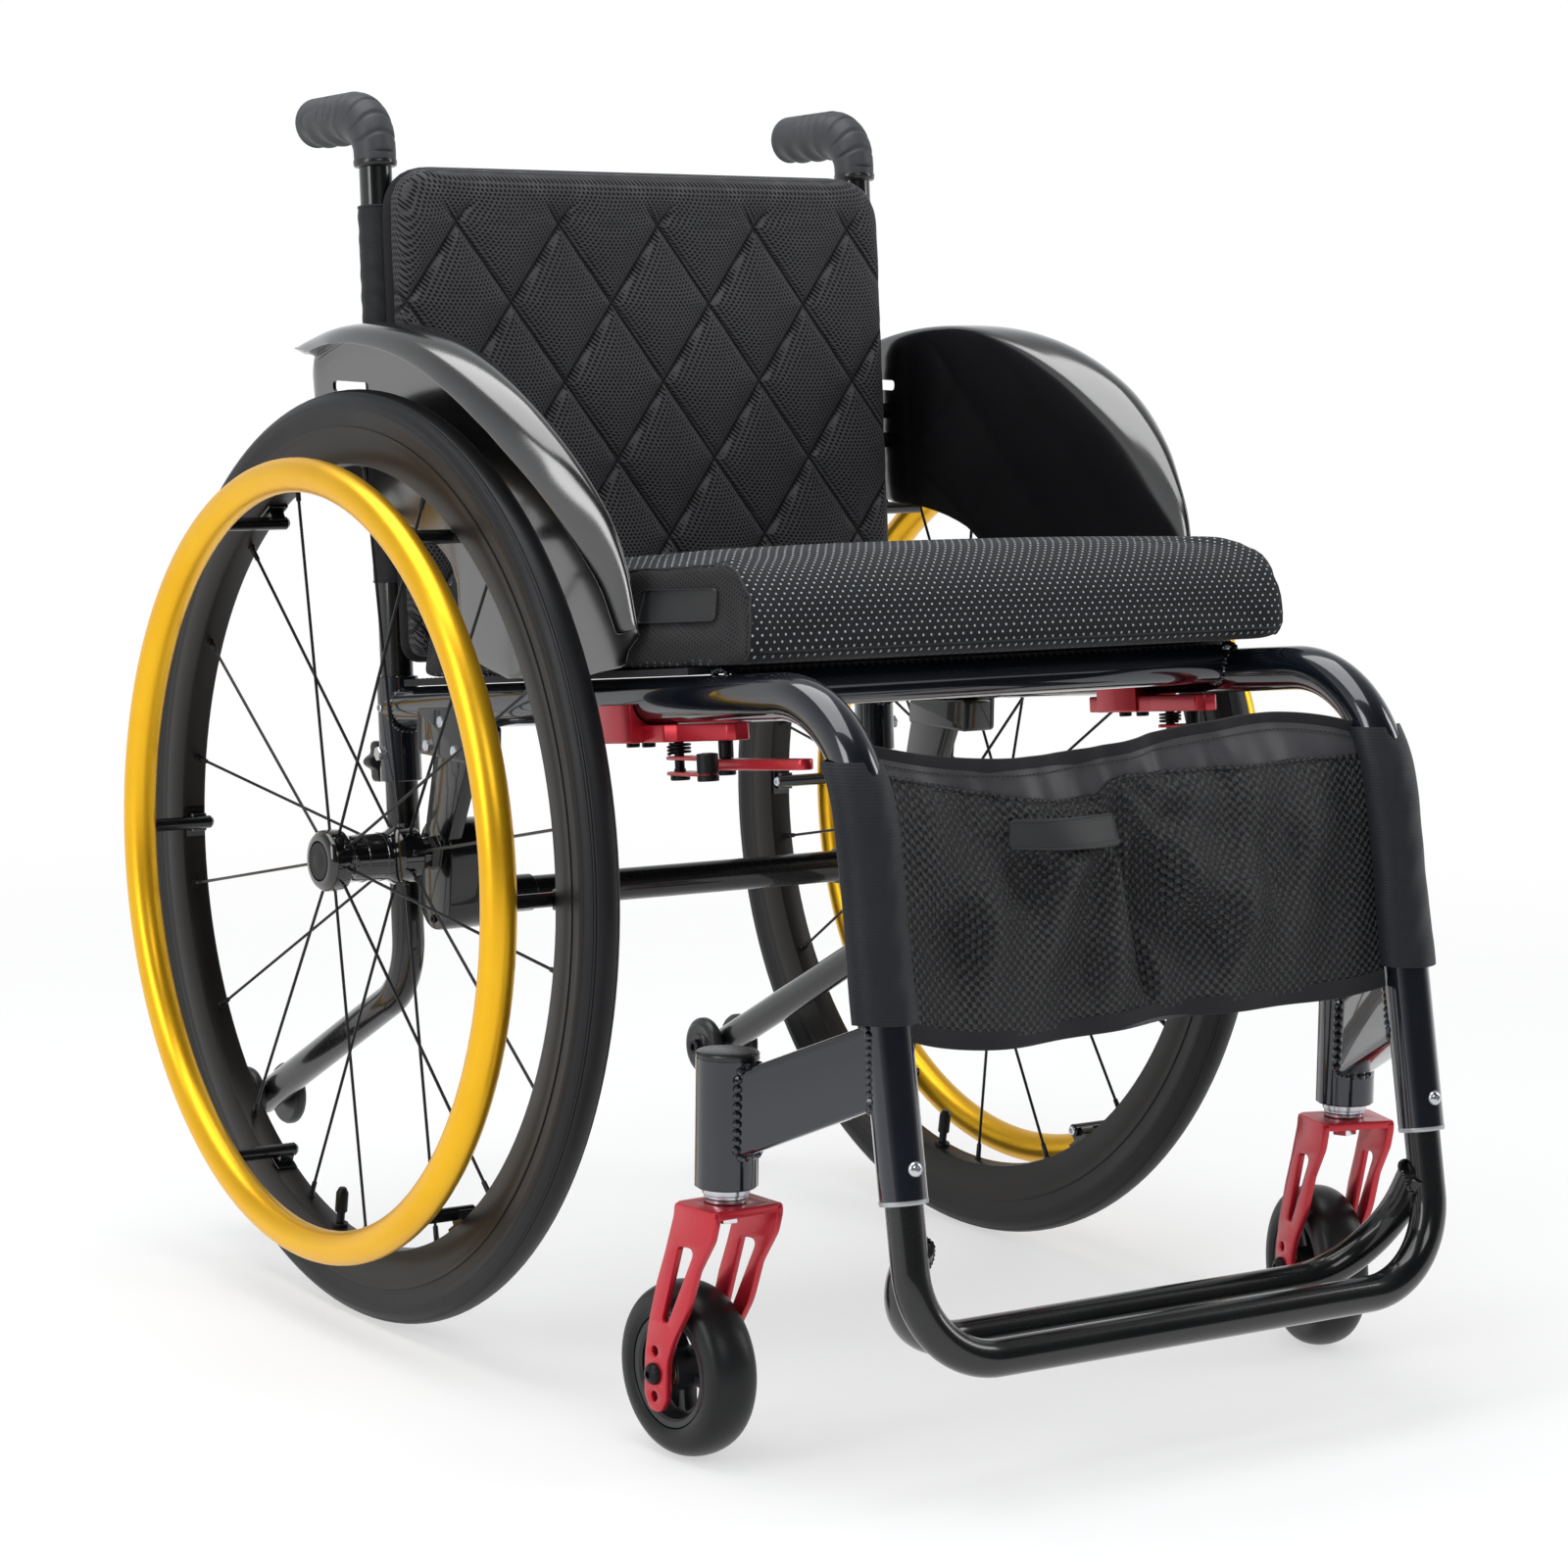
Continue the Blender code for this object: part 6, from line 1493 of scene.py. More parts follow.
def inflated(mesh, voxel, pressure, cap, held):
    """A padded form blown up as cloth. Points where held() is true stay, and none moves past cap."""
    holder = placed("pad", mesh)
    even = holder.modifiers.new("even", "REMESH")
    even.mode, even.voxel_size = "VOXEL", voxel
    base = baked(holder)
    start = points_of(base)
    pad = placed("pad", base)
    pinned = pad.vertex_groups.new(name="held")
    pinned.add([k for k, p in enumerate(start.tolist()) if held(*p)], 1.0, "REPLACE")
    cloth = pad.modifiers.new("cloth", "CLOTH")
    rules = cloth.settings
    rules.quality, rules.mass = 5, 0.3
    rules.tension_stiffness = rules.compression_stiffness = 15
    rules.shear_stiffness, rules.bending_stiffness = 8, 0.8
    rules.use_pressure, rules.uniform_pressure_force = True, pressure
    rules.vertex_group_mass = "held"
    rules.effector_weights.gravity = 0
    cloth.collision_settings.use_collision = False
    for frame_number in range(1, SWELL_FRAMES + 1):
        scene.frame_set(frame_number)
    base = bpy.data.meshes.new_from_object(pad.evaluated_get(bpy.context.evaluated_depsgraph_get()))
    scene.frame_set(1)
    shift = points_of(base) - start
    far = np.linalg.norm(shift, axis=1, keepdims=True)
    print(f"pad swelled by up to {1000 * far.max():.1f} mm before the cap")
    end = start + shift * np.minimum(1, cap / np.maximum(far, 1e-9))
    base.vertices.foreach_set("co", end.astype(np.float32).ravel())
    bpy.data.objects.remove(pad)
    rounder = placed("pad", base)
    ease = rounder.modifiers.new("ease", "SMOOTH")
    ease.iterations = 3
    fine = rounder.modifiers.new("fine", "SUBSURF")
    fine.levels = fine.render_levels = 1
    return baked(rounder)


def cushion_base(y):
    """The height of the cushion's underside, which lies on the sling."""
    return rail_z(y) + TUBE_R + 0.0056


# The cushion's flat top runs between two depths, and its nose curves down from the third.
TOP_REAR, TOP_FRONT, NOSE_Y = -0.03, -0.335, -0.338


def section_of(shrink, crown, tall=1.0):
    """The cushion's outline in depth and height above its base."""
    out = [(0.012 - shrink, 0.0)]
    out += [
        (-0.002 - shrink + 0.014 * math.sin(a), (0.052 + 0.014 * math.cos(a)) * tall)
        for a in np.linspace(1.5, 0, 6)
    ]
    out += [
        (y, 0.066 * tall + crown * min(1, (-y) / 0.08) * min(1, (y + 0.336) / 0.06))
        for y in np.linspace(TOP_REAR, TOP_FRONT, 22)
    ]
    out += [
        (NOSE_Y - (0.049 - shrink) * math.sin(a), 0.021 + 0.045 * tall * math.cos(a))
        for a in np.linspace(0.12, math.pi / 2, 10)
    ]
    out += [
        (-0.387 + shrink + 0.0075 * (1 - math.cos(a)), 0.021 - 0.021 * math.sin(a))
        for a in np.linspace(0.3, math.pi / 2, 5)
    ]
    return out


# Its sections stand closer together towards both sides, where it is rounded.
CUSHION_HALF, CROWN = 0.2045, 0.0048
near_side = [CUSHION_HALF - deep for deep in (0.0085, 0.0040, 0.0010, 0.0)]
rings = []
for x in (*(-x for x in reversed(near_side)), *np.linspace(-0.18, 0.18, 15), *near_side):
    near = min((CUSHION_HALF - abs(x)) / 0.008, 1)
    bulge = CROWN * math.cos(math.pi / 2 * x / 0.207) ** 0.5
    outline = section_of(0.0030 + 0.0012 * (1 - near) ** 2, bulge, 0.955 - 0.03 * (1 - near) ** 2)
    rings.append([Vector((x, y + AXLE_Y, cushion_base(y) + h)) for y, h in outline])
pad = inflated(skinned(rings), 0.0055, 4.0, 0.0045, lambda x, y, z: z < cushion_base(y - AXLE_Y) + 0.004)

# The cover's own pattern: its width, and its length over the top and down the rounded front.
spots_at = points_of(pad)
depth = spots_at[:, 1] - AXLE_Y
high = spots_at[:, 2] - cushion_base(depth)
fall = np.arctan2(np.maximum(NOSE_Y - depth, 0), np.maximum(high - 0.018, 1e-4))
down_front = 0.050 * fall + np.maximum(0.018 - high, 0) * (depth < -0.36)
length = np.where(depth > NOSE_Y, -depth, -NOSE_Y + down_front)
corner = np.empty(len(pad.loops), np.int32)
pad.loops.foreach_get("vertex_index", corner)
layer = pad.uv_layers.get("cloth") or pad.uv_layers.new(name="cloth")
layer.data.foreach_set("uv", np.stack([spots_at[corner, 0], length[corner]], 1).astype(np.float32).ravel())
outward = np.empty(len(pad.vertices) * 3, np.float32)
pad.vertex_normals.foreach_get("vector", outward)
flank = np.clip((np.abs(outward.reshape(-1, 3)[:, 0]) - 0.62) / 0.16, 0, 1).astype(np.float32)
mark = pad.attributes.new("flank", "FLOAT", "POINT")
mark.data.foreach_set("value", flank)

cover, tree, out = new_material("cushion_cover")
uv, spot = cloth_uv(tree), object_point(tree)
flank_mask = node(tree, "ShaderNodeAttribute", attribute_name="flank").outputs["Fac"]
dots = spotted(tree, uv, 0.0059, 0.0042, 0.00066, 1.15, 0.35)
knit = spotted(tree, uv, 0.00118, 0.0007, 0.00034, 1.0, 0.6)
apart = node(tree, "ShaderNodeSeparateXYZ", {0: spot})
flat = node(tree, "ShaderNodeCombineXYZ", {0: apart.outputs[1], 1: apart.outputs[2]})
holes = spotted(tree, turned_pattern(tree, flat.outputs[0], 32), 0.0036, 0.0022, 0.00112, 0.62, 0.35)
grain = grain_at(tree, spot, 220, (0.72, 0.88))
tone = calc(tree, "MULTIPLY_ADD", knit, 0.55, calc(tree, "MULTIPLY", grain["Tone"], 0.5), clamp=True)
ground = blended(tree, tone, tint(13, 14, 17), tint(34, 36, 40))
top_colour = blended(tree, calc(tree, "MULTIPLY", dots, 0.92), ground, tint(190, 196, 202))
side_colour = blended(tree, holes, tint(36, 36, 38), tint(3, 3, 4))
height = node(tree, "ShaderNodeMix", {"Factor": flank_mask}, data_type="FLOAT")
tree.links.new(calc(tree, "MULTIPLY_ADD", dots, 0.8, calc(tree, "MULTIPLY", knit, 0.4)), height.inputs[2])
tree.links.new(calc(tree, "SUBTRACT", 1.0, holes), height.inputs[3])
principled(tree, out, {
    "Base Color": blended(tree, flank_mask, top_colour, side_colour),
    "Roughness": grain["Roughness"],
    "Normal": bumped(tree, height.outputs[0], 0.6, 0.0004),
    "Sheen Weight": 0.06,
    "Sheen Roughness": 0.5,
    "Specular IOR Level": 0.25,
})

cushion = piece("seat_cushion_look", [(pad, cover)], "chair", ["seat_cushion"], 180)
mark = cushion.data.attributes.get("flank") or cushion.data.attributes.new("flank", "FLOAT", "POINT")
mark.data.foreach_set("value", flank)

# The corded seam lies where the side panels meet the cover, found on the finished pad.
skin = BVHTree.FromPolygons([v.co for v in pad.vertices], [p.vertices for p in pad.polygons])


def on_pad(x, y, h):
    """Where a line from inside the pad, out through a point, meets its cover, and the way it faces."""
    mid_y = min(max(y, TOP_FRONT), TOP_REAR)
    start = Vector((x, mid_y + AXLE_Y, cushion_base(mid_y) + 0.020))
    aim = Vector((x, y + AXLE_Y, cushion_base(y) + h)) - start
    return skin.ray_cast(start, aim.normalized())[:2]


seam = []
for y, h in section_of(0, 0.004)[1:]:
    for x in np.arange(0.188, 0.2075, 0.0006):
        hit, faces_way = on_pad(x, y, h)
        if hit is None or faces_way.x > 0.66:
            break
        found = hit
    seam.append(found.copy())
seam_parts = []
for sign in (1, -1):
    line = [Vector((sign * p.x, p.y, p.z)) for p in seam]
    beside = [p + Vector((sign * -0.0028, 0, 0.0004)) for p in line]
    seam_parts += [
        (tube(line, 0.00085, 8, edge=0.0002), thread), (stitches(beside, 0.003, 0.0004, 0.0011), thread)
    ]
hem = [on_pad(x, -0.384, 0.006)[0] + Vector((0, -0.0001, 0)) for x in np.linspace(-0.196, 0.196, 40)]
seam_parts.append((tube(hem, 0.0007, 8, edge=0.0002), thread))
piece("cushion_seams", seam_parts, "chair")

patch_rubber = grained("patch_rubber", tint(24, 25, 27), tint(36, 37, 39), (0.5, 0.62), scale=900, relief=0.1)
PATCH = [(-0.2625, 0.4985), (-0.3445, 0.5055), (-0.3440, 0.4862), (-0.2640, 0.4782)]


def patch_ring(inset, out):
    """The patch's outline on the cushion's right flank, drawn in by an inset and lifted off."""
    middle = Vector((sum(p[0] for p in PATCH) / 4, sum(p[1] for p in PATCH) / 4))
    corners = [Vector(p) - (Vector(p) - middle).normalized() * inset for p in PATCH]
    made = []
    for y, z in rounded([tuple(c) for c in corners], 0.004, 6):
        hit = skin.ray_cast(Vector((-0.25, y + AXLE_Y, z)), ACROSS)[0]
        made.append(Vector(((hit.x if hit else -0.206) - out, y + AXLE_Y, z)))
    return made


steps = [
    (0.0, -0.0010), (0.0, 0.0016), (0.0006, 0.0022), (0.0024, 0.0022), (0.0031, 0.0013), (0.0060, 0.0013)
]
patch = skinned([patch_ring(inset, out) for inset, out in steps])
piece("cushion_patch", [(patch, patch_rubber)], "chair")


# Backrest
# A quilted pad of black spacer mesh between the canes. Its diamonds are stitched through, its
# edges are bound with tape, and its top corners are rounded.
BACK_LOW, BACK_HIGH, BACK_WIDE = 0.430, 0.755, 0.1955
BACK_MID, BACK_HALF = (BACK_LOW + BACK_HIGH) / 2, (BACK_HIGH - BACK_LOW) / 2
QUILT_X, QUILT_Z, QUILT_AT = 0.0792, 0.1062, (0.0075, 0.719)
FADE_LOW, FADE_HIGH = 0.7215, 0.7355


def quilt_far(x, z):
    """The distance from a point to the nearest stitched line, in metres."""
    a = (x - QUILT_AT[0]) / QUILT_X + (z - QUILT_AT[1]) / QUILT_Z
    b = (x - QUILT_AT[0]) / QUILT_X - (z - QUILT_AT[1]) / QUILT_Z
    apart = np.minimum(np.abs(a - np.round(a)), np.abs(b - np.round(b)))
    return apart / math.hypot(1 / QUILT_X, 1 / QUILT_Z)


def back_rear(z):
    """How far back the pad's rear face lies, at a height."""
    return cane_y(z) - 0.0134 + AXLE_Y


outline = rounded(box(-BACK_WIDE, BACK_LOW, BACK_WIDE, BACK_HIGH), [0.012, 0.012, 0.034, 0.034], 8)
rings = []
for inset, deep in ((0.0, 0.0), (0.0, 0.0100), (0.0012, 0.0135), (0.0036, 0.0156), (0.0080, 0.0164)):
    ring = []
    for x, z in outline:
        x, z = x * (1 - inset / BACK_WIDE), BACK_MID + (z - BACK_MID) * (1 - inset / BACK_HALF)
        ring.append(Vector((x, back_rear(z) - 0.0006 - deep, z)))
    rings.append(ring)


def stitched_share(z):
    """The quilting fades where the pad turns over its top."""
    return 1 - np.clip((z - FADE_LOW) / (FADE_HIGH - FADE_LOW), 0, 1)


def held_by_stitches(x, y, z):
    """The rear face stays flat on the canes, and the stitched lines hold the front down."""
    return y > back_rear(z) - 0.009 or (quilt_far(x, z) < 0.0032 and z < 0.728)


# The stitched lines are pressed into the front and the diamonds raised, away from the edges.
back = inflated(skinned(rings), 0.0042, 45.0, 0.0048, held_by_stitches)
at_points = points_of(back)
xs, ys, zs = at_points.T
front_share = np.clip((back_rear(zs) - ys - 0.008) / 0.006, 0, 1)
edge_share = np.clip(np.minimum.reduce([BACK_WIDE - np.abs(xs), BACK_HIGH - zs, zs - BACK_LOW]) / 0.010, 0, 1)
near = quilt_far(xs, zs)
pressed = 0.0026 * np.exp(-((near / 0.0026) ** 2)) - 0.0016 * np.clip(near / 0.016, 0, 1) ** 0.8
at_points[:, 1] += front_share * edge_share * stitched_share(zs) * pressed
back.vertices.foreach_set("co", at_points.ravel())

back_mesh, tree, out = new_material("backrest_spacer_mesh")
spot = object_point(tree)
apart = node(tree, "ShaderNodeSeparateXYZ", {0: spot})
round_side = calc(tree, "ADD", apart.outputs[0], apart.outputs[1])
over_top = calc(tree, "SUBTRACT", apart.outputs[2], apart.outputs[1])
flat = node(tree, "ShaderNodeCombineXYZ", {0: round_side, 1: over_top})
holes = spotted(tree, flat.outputs[0], 0.0034, 0.0022, 0.00102, 0.80, 0.35)
across = calc(tree, "DIVIDE", calc(tree, "SUBTRACT", apart.outputs[0], QUILT_AT[0]), QUILT_X)
up = calc(tree, "DIVIDE", calc(tree, "SUBTRACT", apart.outputs[2], QUILT_AT[1]), QUILT_Z)
lines = []
for kind in ("ADD", "SUBTRACT"):
    way = calc(tree, kind, across, up)
    lines.append(calc(tree, "ABSOLUTE", calc(tree, "SUBTRACT", way, calc(tree, "ROUND", way))))
near = calc(tree, "DIVIDE", calc(tree, "MINIMUM", *lines), math.hypot(1 / QUILT_X, 1 / QUILT_Z))
faded = mapped(tree, apart.outputs[2], FADE_LOW, FADE_HIGH, 1.0, 0.0)
stitched = calc(tree, "MULTIPLY", mapped(tree, near, 0.0006, 0.0016, 1.0, 0.0, smooth=True), faded)
# Beside each stitched line the threads are painted lighter: a painted highlight where the pulled cloth would
# catch the light.
painted_highlight_by_lines = mapped(tree, near, 0.0014, 0.0060, 1.0, 0.25)
grain = grain_at(tree, spot, 240, (0.66, 0.84))
tone = calc(tree, "MULTIPLY_ADD", painted_highlight_by_lines, 0.18, calc(tree, "MULTIPLY", grain["Tone"], 0.6), clamp=True)
threads = blended(tree, tone, tint(32, 32, 35), tint(100, 100, 104))
ground = blended(tree, holes, threads, tint(2, 2, 3))
height = calc(tree, "SUBTRACT", 1.0, calc(tree, "MULTIPLY", holes, 0.7))
height = calc(tree, "SUBTRACT", height, calc(tree, "MULTIPLY", stitched, 0.9))
principled(tree, out, {
    "Base Color": blended(tree, calc(tree, "MULTIPLY", stitched, 0.85), ground, tint(9, 9, 10)),
    "Roughness": grain["Roughness"],
    "Normal": bumped(tree, height, 0.9, 0.0008),
    "Sheen Weight": 0.08,
    "Sheen Roughness": 0.45,
    "Specular IOR Level": 0.25,
})
backrest = piece("backrest_look", [(back, back_mesh)], "chair", ["backrest_upholstery"], 180)

# A folded tape binds the pad's rear edge.
tape_cloth = ribbed_cloth("binding_tape", tint(12, 12, 14), tint(28, 28, 31), 0.0012, 90.0)
path = []
for x, z in outline:
    tucked = 0.0030 * min(max((z - 0.715) / 0.030, 0), 1)
    path.append(Vector((x * (1 - 0.0002 / BACK_WIDE), back_rear(z) - 0.0030, z - tucked)))
dense = []
for p, q in zip(path, path[1:] + path[:1]):
    steps = max(1, int((q - p).length / 0.006))
    dense += [p.lerp(q, j / steps) for j in range(steps)]
tape = swept(dense, circle(0.0019, 14, 0.0042), True)
piece("backrest_binding", [(tape, tape_cloth)], "chair")

# Each cane wears a cloth sleeve that carries the pad, its seam at the rear, with a window left
# open in it for the screw.
sleeve_cloth = ribbed_cloth("sleeve_cloth", tint(13, 14, 17), tint(32, 34, 38), 0.0017, rough=(0.5, 0.66))

SLEEVE_LOW, SLEEVE_TALL = 0.479, 0.2495
WINDOW_LOW, WINDOW_TALL = 0.652, 0.017


def back_sleeve(u, v, lift=0.0):
    """A point of the sleeve: round the cane from its seam, and up it."""
    z = SLEEVE_LOW + SLEEVE_TALL * v
    gap = 0.0
    if WINDOW_LOW < z < WINDOW_LOW + WINDOW_TALL:
        gap = 0.36 * math.sin(math.pi * (z - WINDOW_LOW) / WINDOW_TALL) ** 0.35
    a = math.pi / 2 + gap + (2 * math.pi - 2 * gap) * u
    wrinkle = 0.00035 * math.sin(z * 420 + 3 * math.cos(a)) * math.sin(2 * a + z * 60)
    radius = 0.01235 + max(wrinkle, -0.0002) + lift
    middle = on_cane(z)
    return middle + ACROSS * math.cos(a) * radius + cane_back * math.sin(a) * radius


sleeve = sheet_of(56, 120, back_sleeve, 0.0011)
rims = [
    tube([back_sleeve(u, v) for u in np.linspace(0, 1, 49)[:-1]], 0.0011, 8, closed=True)
    for v in (0.0035, 0.9965)
]
seam = stitches([back_sleeve(0.06, v, 0.0007) for v in np.linspace(0.01, 0.66, 60)], spacing=0.0036)
sleeve_parts = [*[(mesh, sleeve_cloth) for mesh in (sleeve, *rims)], (seam, thread)]
for made in pair("back_sleeve", sleeve_parts, "chair", ["back_sleeve"], 60):
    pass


# Calf pouch
# A satin nylon band hung between the down tubes by a cloth tunnel round each, with a net pocket
# gathered on its front. Tape binds its top and bottom edges, and a rubber patch lies on the net.
LOW, TOP = 0.275, 0.418
down_line = [p for p in rail if p.y < at(0, -0.40, 0).y] + [leg_low]


def tube_y(z):
    """The front tube's centre line, in depth, at a height."""
    line = down_line[::-1]
    return float(np.interp(z, [p.z for p in line], [p.y for p in line]))


pouch_nylon = ribbed_cloth(
    "pouch_nylon", tint(36, 36, 39), tint(68, 68, 72), 0.0009, relief=0.2, rough=(0.34, 0.48)
)
tunnel_cloth = ribbed_cloth(
    "tunnel_cloth", tint(13, 15, 19), tint(30, 33, 39), 0.0019, relief=0.45, rough=(0.44, 0.60)
)

net, tree, out = new_material("pouch_net")
uv, spot = cloth_uv(tree), object_point(tree)
wobble = node(tree, "ShaderNodeTexNoise", {"Vector": spot, "Scale": 55.0, "Detail": 2.0})
strayed = node(
    tree, "ShaderNodeVectorMath", {0: wobble.outputs["Color"], 1: (0.5, 0.5, 0.5)}, operation="SUBTRACT"
)
small = node(tree, "ShaderNodeVectorMath", {0: strayed.outputs[0], "Scale": 0.0040}, operation="SCALE")
laid = node(tree, "ShaderNodeVectorMath", {0: uv, 1: small.outputs[0]}, operation="ADD").outputs[0]
openings = spotted(tree, laid, 0.0068, 0.0030, 0.00190, 0.72, 0.28)
beside = node(tree, "ShaderNodeMapping", {"Vector": laid, "Location": (0.0034, 0, 0)}).outputs[0]
knots_and_highlights = spotted(tree, beside, 0.0068, 0.0030, 0.0015, 0.85, 0.5)
threads = spotted(tree, uv, 0.0009, 0.0006, 0.0003, 1.0, 0.6)
cords = calc(tree, "SUBTRACT", 1.0, openings)
grain = grain_at(tree, spot, 200, (0.30, 0.44))
# The knots are painted lighter than the cords: a painted highlight on each knot, besides their relief.
tone = calc(tree, "MULTIPLY_ADD", knots_and_highlights, 0.55, calc(tree, "MULTIPLY", grain["Tone"], 0.5), clamp=True)
corded = blended(tree, tone, tint(5, 5, 6), tint(52, 53, 56))
height = calc(tree, "MULTIPLY_ADD", cords, 0.9, calc(tree, "MULTIPLY", threads, 0.1))
height = calc(tree, "MULTIPLY_ADD", knots_and_highlights, 0.5, height)
# The net's openings are painted near-black: painted shade for the gap between the net and the band behind it.
principled(tree, out, {
    "Base Color": blended(tree, openings, corded, tint(2, 2, 3)),
    "Roughness": grain["Roughness"],
    "Normal": bumped(tree, height, 0.9, 0.0011),
    "Specular IOR Level": 0.35,
})

REACH = FRAME_X - TUBE_R - 0.0012


def fold(x, v):
    """The pouch's folds: deep by the middle, where it is gathered, and shallow by the tunnels."""
    a = x / 0.18
    slack = 1 - a * a
    long = 0.0050 * math.sin(7.5 * a + 1.2) * math.sin(math.pi * v) + 0.0030 * math.sin(13 * a + 5 * v)
    return 0.0105 * slack * math.sin(math.pi * (0.15 + 0.7 * v)) + long * slack


TOP_EDGE = np.polyfit(
    [-0.184, -0.150, -0.112, -0.070, -0.027, 0.0615, 0.138, 0.170, 0.184],
    [0.4254, 0.4185, 0.4131, 0.4120, 0.4140, 0.4238, 0.4262, 0.4235, 0.4180], 5
)
LOW_EDGE = np.polyfit(
    [-0.184, -0.164, -0.108, -0.015, 0.098, 0.176], [0.2640, 0.2608, 0.2498, 0.2554, 0.2568, 0.2619], 4
)


def band_top(x):
    """The height of the band's top edge."""
    return float(np.polyval(TOP_EDGE, x))


def band_low(x):
    """The height of the band's bottom edge."""
    return float(np.polyval(LOW_EDGE, x))


def on_band(x, z, lift=0.0):
    """A point of the nylon, lifted forward."""
    v = (z - band_low(x)) / (band_top(x) - band_low(x))
    sink = 0.0022 * math.exp(-(((x + 0.012) / 0.010) ** 2)) * min(max(v, 0), 1)
    puckers = (
        0.0012 * math.sin(x * 190 + 9 * v) + 0.0011 * math.sin(x * 103 - 16 * v + 1)
        + 0.0005 * math.sin(x * 330 + 5 * v)
    )
    crease = puckers * math.exp(-(((v - 0.86) / 0.12) ** 2)) * (1 - (x / REACH) ** 2)
    return Vector((x, tube_y(z) + 0.0045 + fold(x, v) + sink + crease - lift, z))


def nylon_at(u, v):
    """A point of the band, from side to side and from bottom to top."""
    x = REACH * (2 * u - 1)
    return on_band(x, band_low(x) + (band_top(x) - band_low(x)) * v)


nylon = sheet_of(150, 60, nylon_at, 0.0009)

NET_X = [-0.184, -0.126, -0.094, -0.055, -0.022, -0.012, 0.0, 0.05, 0.15, 0.184]
NET_Z = [0.4095, 0.3975, 0.3915, 0.3860, 0.3868, 0.3945, 0.3975, 0.3980, 0.4000, 0.4010]


def net_top(x):
    """The net's upper edge. It dips towards the patch and is caught up at the middle."""
    return float(np.interp(x, NET_X, NET_Z)) + 0.0007 * math.sin(x / 0.0046 * 2 * math.pi)


def net_at(u, v):
    """A point of the net pocket, gathered into folds in front of the band."""
    x = REACH * (2 * u - 1)
    low, high = band_low(x) + 0.006, net_top(x)
    z = low + (high - low) * v
    full = math.sin(math.pi * min(max(v, 0), 1)) ** 0.8 * (1 - (x / REACH) ** 4)
    gathers = (
        0.0058 * math.sin(x * 68 + 4.0 * v + 1.1) + 0.0034 * math.sin(x * 131 - 5 * v)
        + 0.0026 * math.sin(x * 40 + 11 * v)
    )
    # Folds run down from the point where the net is caught, and out to the right below it.
    near = math.hypot(x + 0.012, (z - 0.395) * 0.8)
    gathers += (
        0.0062 * math.sin(9 * math.atan2(0.400 - z, x + 0.012)) * math.exp(-((near / 0.085) ** 2))
        * min(near / 0.02, 1)
    )
    under_patch = math.exp(-((((x + 0.0535) / 0.050) ** 4) + (((z - 0.3700) / 0.016) ** 4)))
    gathers = gathers * (1 - under_patch) + 0.0015 * under_patch
    seam = math.exp(-(((x + 0.011 - 0.012 * (1 - v)) / 0.006) ** 2))
    return on_band(x, z, 0.0016 + full * max(0.0078 + gathers, 0.0006) * (1 - 0.85 * seam))


pocket = sheet_of(300, 110, net_at, 0.0009)
hem = tube([net_at(u, 1.0) for u in np.linspace(0, 1, 240)], 0.0013, 8)
binding = ribbed_cloth("pouch_binding", tint(15, 15, 17), tint(36, 36, 39), 0.0013, 90.0, relief=0.35)


def bound_edge(edge, inward, lift, sewn_at):
    """Tape folded over an edge, a thin flat loop 11 mm tall, and the stitches that hold it."""
    line = [on_band(x, edge(x) + inward, lift) for x in np.linspace(-REACH, REACH, 150)]
    tape = swept(line, rounded(box(-0.0013, -0.0056, 0.0013, 0.0056), 0.0010, 4), first=(0, 1, 0))
    sewn = [on_band(x, edge(x) + sewn_at, 0.0017) for x in np.linspace(-REACH + 0.004, REACH - 0.004, 150)]
    return [(tape, binding), (stitches(sewn, 0.0034, 0.00045, 0.0013), thread)]


def tunnel(side):
    """The cloth round one tube: a loose oval that flares a little towards its lower edge."""
    def place(u, v):
        z = TOP + (LOW - TOP) * v
        a = 2 * math.pi * u
        loose = 0.0007 + 0.0010 * v + 0.0004 * math.sin(9 * v + 2 * a)
        wide_r = TUBE_R + 0.0011 + loose + 0.0022 * max(math.cos(a) * -side, 0) ** 2
        deep_r = TUBE_R + 0.0009 + loose * 0.45
        # The band joins the tunnel on its inner side, where the cloth stands out in a flange.
        from_join = (a - (math.pi if side > 0 else 0) + math.pi) % (2 * math.pi) - math.pi
        flange = 0.0030 * math.exp(-((from_join / 0.22) ** 2))
        dent = 0.0004 * math.sin(z * 210 + 2 * math.sin(a * 2)) * math.sin(a) ** 2
        across, deep = (wide_r + flange + dent) * math.cos(a), (deep_r + dent) * math.sin(a)
        return Vector((-side * FRAME_X + across, tube_y(z) + deep, z))
    return place


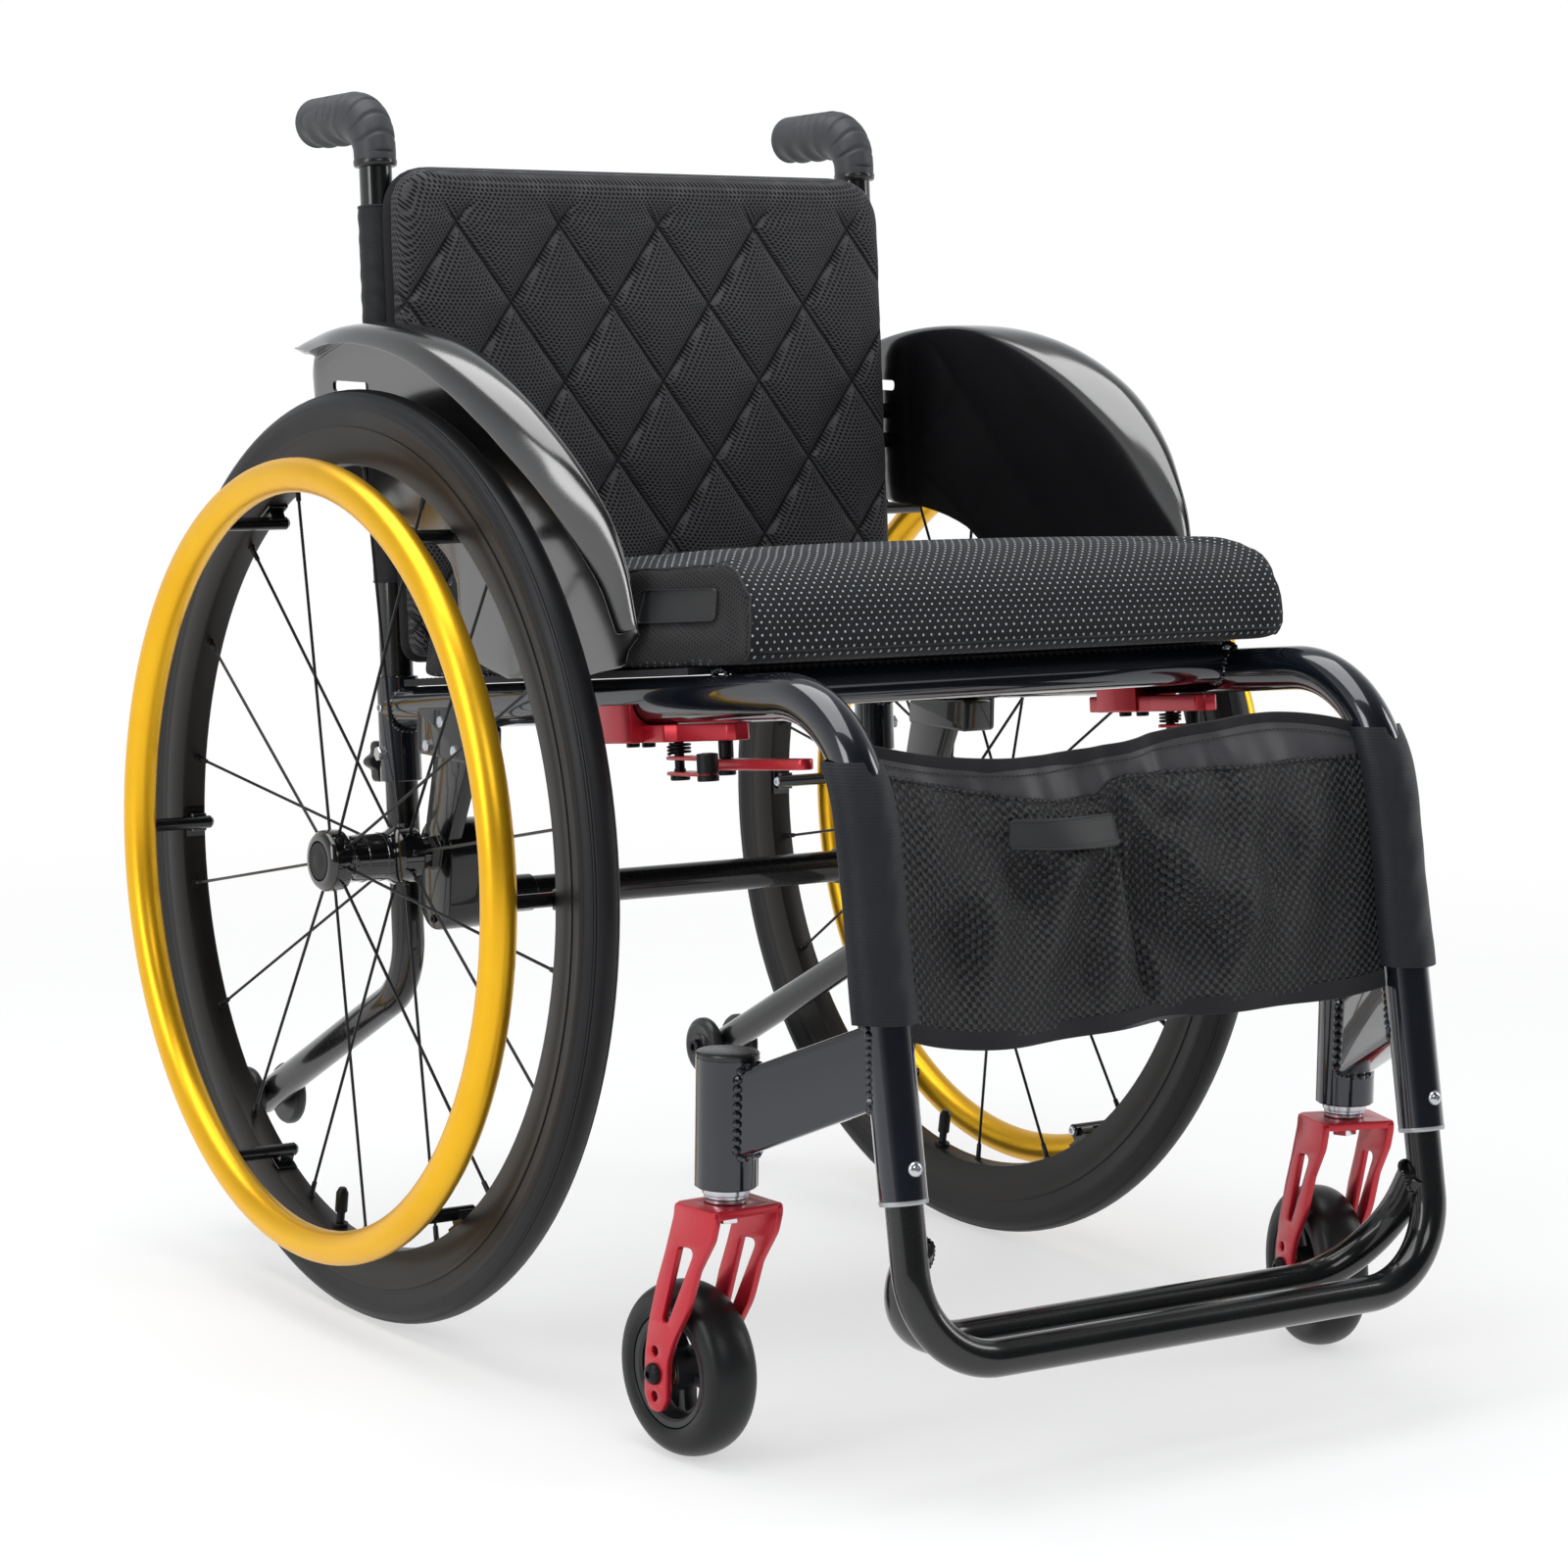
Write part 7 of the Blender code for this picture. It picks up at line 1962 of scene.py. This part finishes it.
tunnel_parts = []
for side in (1, -1):
    place = tunnel(side)
    tunnel_parts.append((sheet_of(96, 90, place, 0.0012, 1.0), tunnel_cloth))
    for v in (0.006, 0.994):
        tunnel_parts.append(
            (tube([place(u, v) for u in np.linspace(0, 1, 73)[:-1]], 0.0009, 8, closed=True), tunnel_cloth)
        )
    u = 0.11 if side > 0 else 0.39
    edge_line = [place(1 - u, v) - Vector((0, 0.0009, 0)) for v in np.linspace(0.02, 0.98, 60)]
    tunnel_parts.append((stitches(edge_line, spacing=0.0036), thread))

pouch = piece(
    "calf_pouch_look", [(nylon, pouch_nylon), *tunnel_parts], "chair", ["calf_pouch"], 60
)
bound = bound_edge(band_top, -0.0045, 0.0, -0.0088) + bound_edge(band_low, 0.0050, 0.0006, 0.0092)
piece("calf_pouch_binding", bound, "chair", (), 60)
pocket_look = piece("calf_pouch_net", [(pocket, net), (hem, net)], "chair", (), 80)

POUCH_PATCH = [(-0.0944, 0.3793), (-0.0126, 0.3768), (-0.0135, 0.3602), (-0.0940, 0.3634)]
PATCH_X = np.linspace(POUCH_PATCH[0][0], POUCH_PATCH[1][0], 9)


def net_front(x, v):
    """How far forward the net comes about a point."""
    return min(net_at((x / REACH + 1) / 2, v + d).y for d in (-0.03, 0, 0.03))


BEHIND = [np.polyfit(PATCH_X, [net_front(x, v) for x in PATCH_X], 3) for v in (0.70, 0.86)]


def on_patch(u, v, lift=0.0):
    """The patch lies smoothly on the net, and its border stands a little higher."""
    low = Vector(POUCH_PATCH[3]).lerp(Vector(POUCH_PATCH[2]), u)
    x, z = low.lerp(Vector(POUCH_PATCH[0]).lerp(Vector(POUCH_PATCH[1]), u), v)
    low_y, high_y = (float(np.polyval(fit, x)) for fit in BEHIND)
    return Vector((x, low_y + (high_y - low_y) * v - 0.0014 - lift, z))


plate = sheet_of(70, 14, on_patch, 0.0014)
border = [(t, 0.0) for t in np.linspace(0.02, 0.98, 40)] + [(1.0, t) for t in np.linspace(0.1, 0.9, 8)]
border += [(t, 1.0) for t in np.linspace(0.98, 0.02, 40)] + [(0.0, t) for t in np.linspace(0.9, 0.1, 8)]
rim_line = tube([on_patch(u, v, 0.0004) for u, v in border], 0.0010, 8, closed=True)
inner_line = tube(
    [on_patch(0.5 + (u - 0.5) * 0.93, 0.5 + (v - 0.5) * 0.74, 0.0003) for u, v in border], 0.0006, 6,
    closed=True
)
piece(
    "calf_pouch_patch", [(mesh, patch_rubber) for mesh in (plate, rim_line, inner_line)], "chair",
)
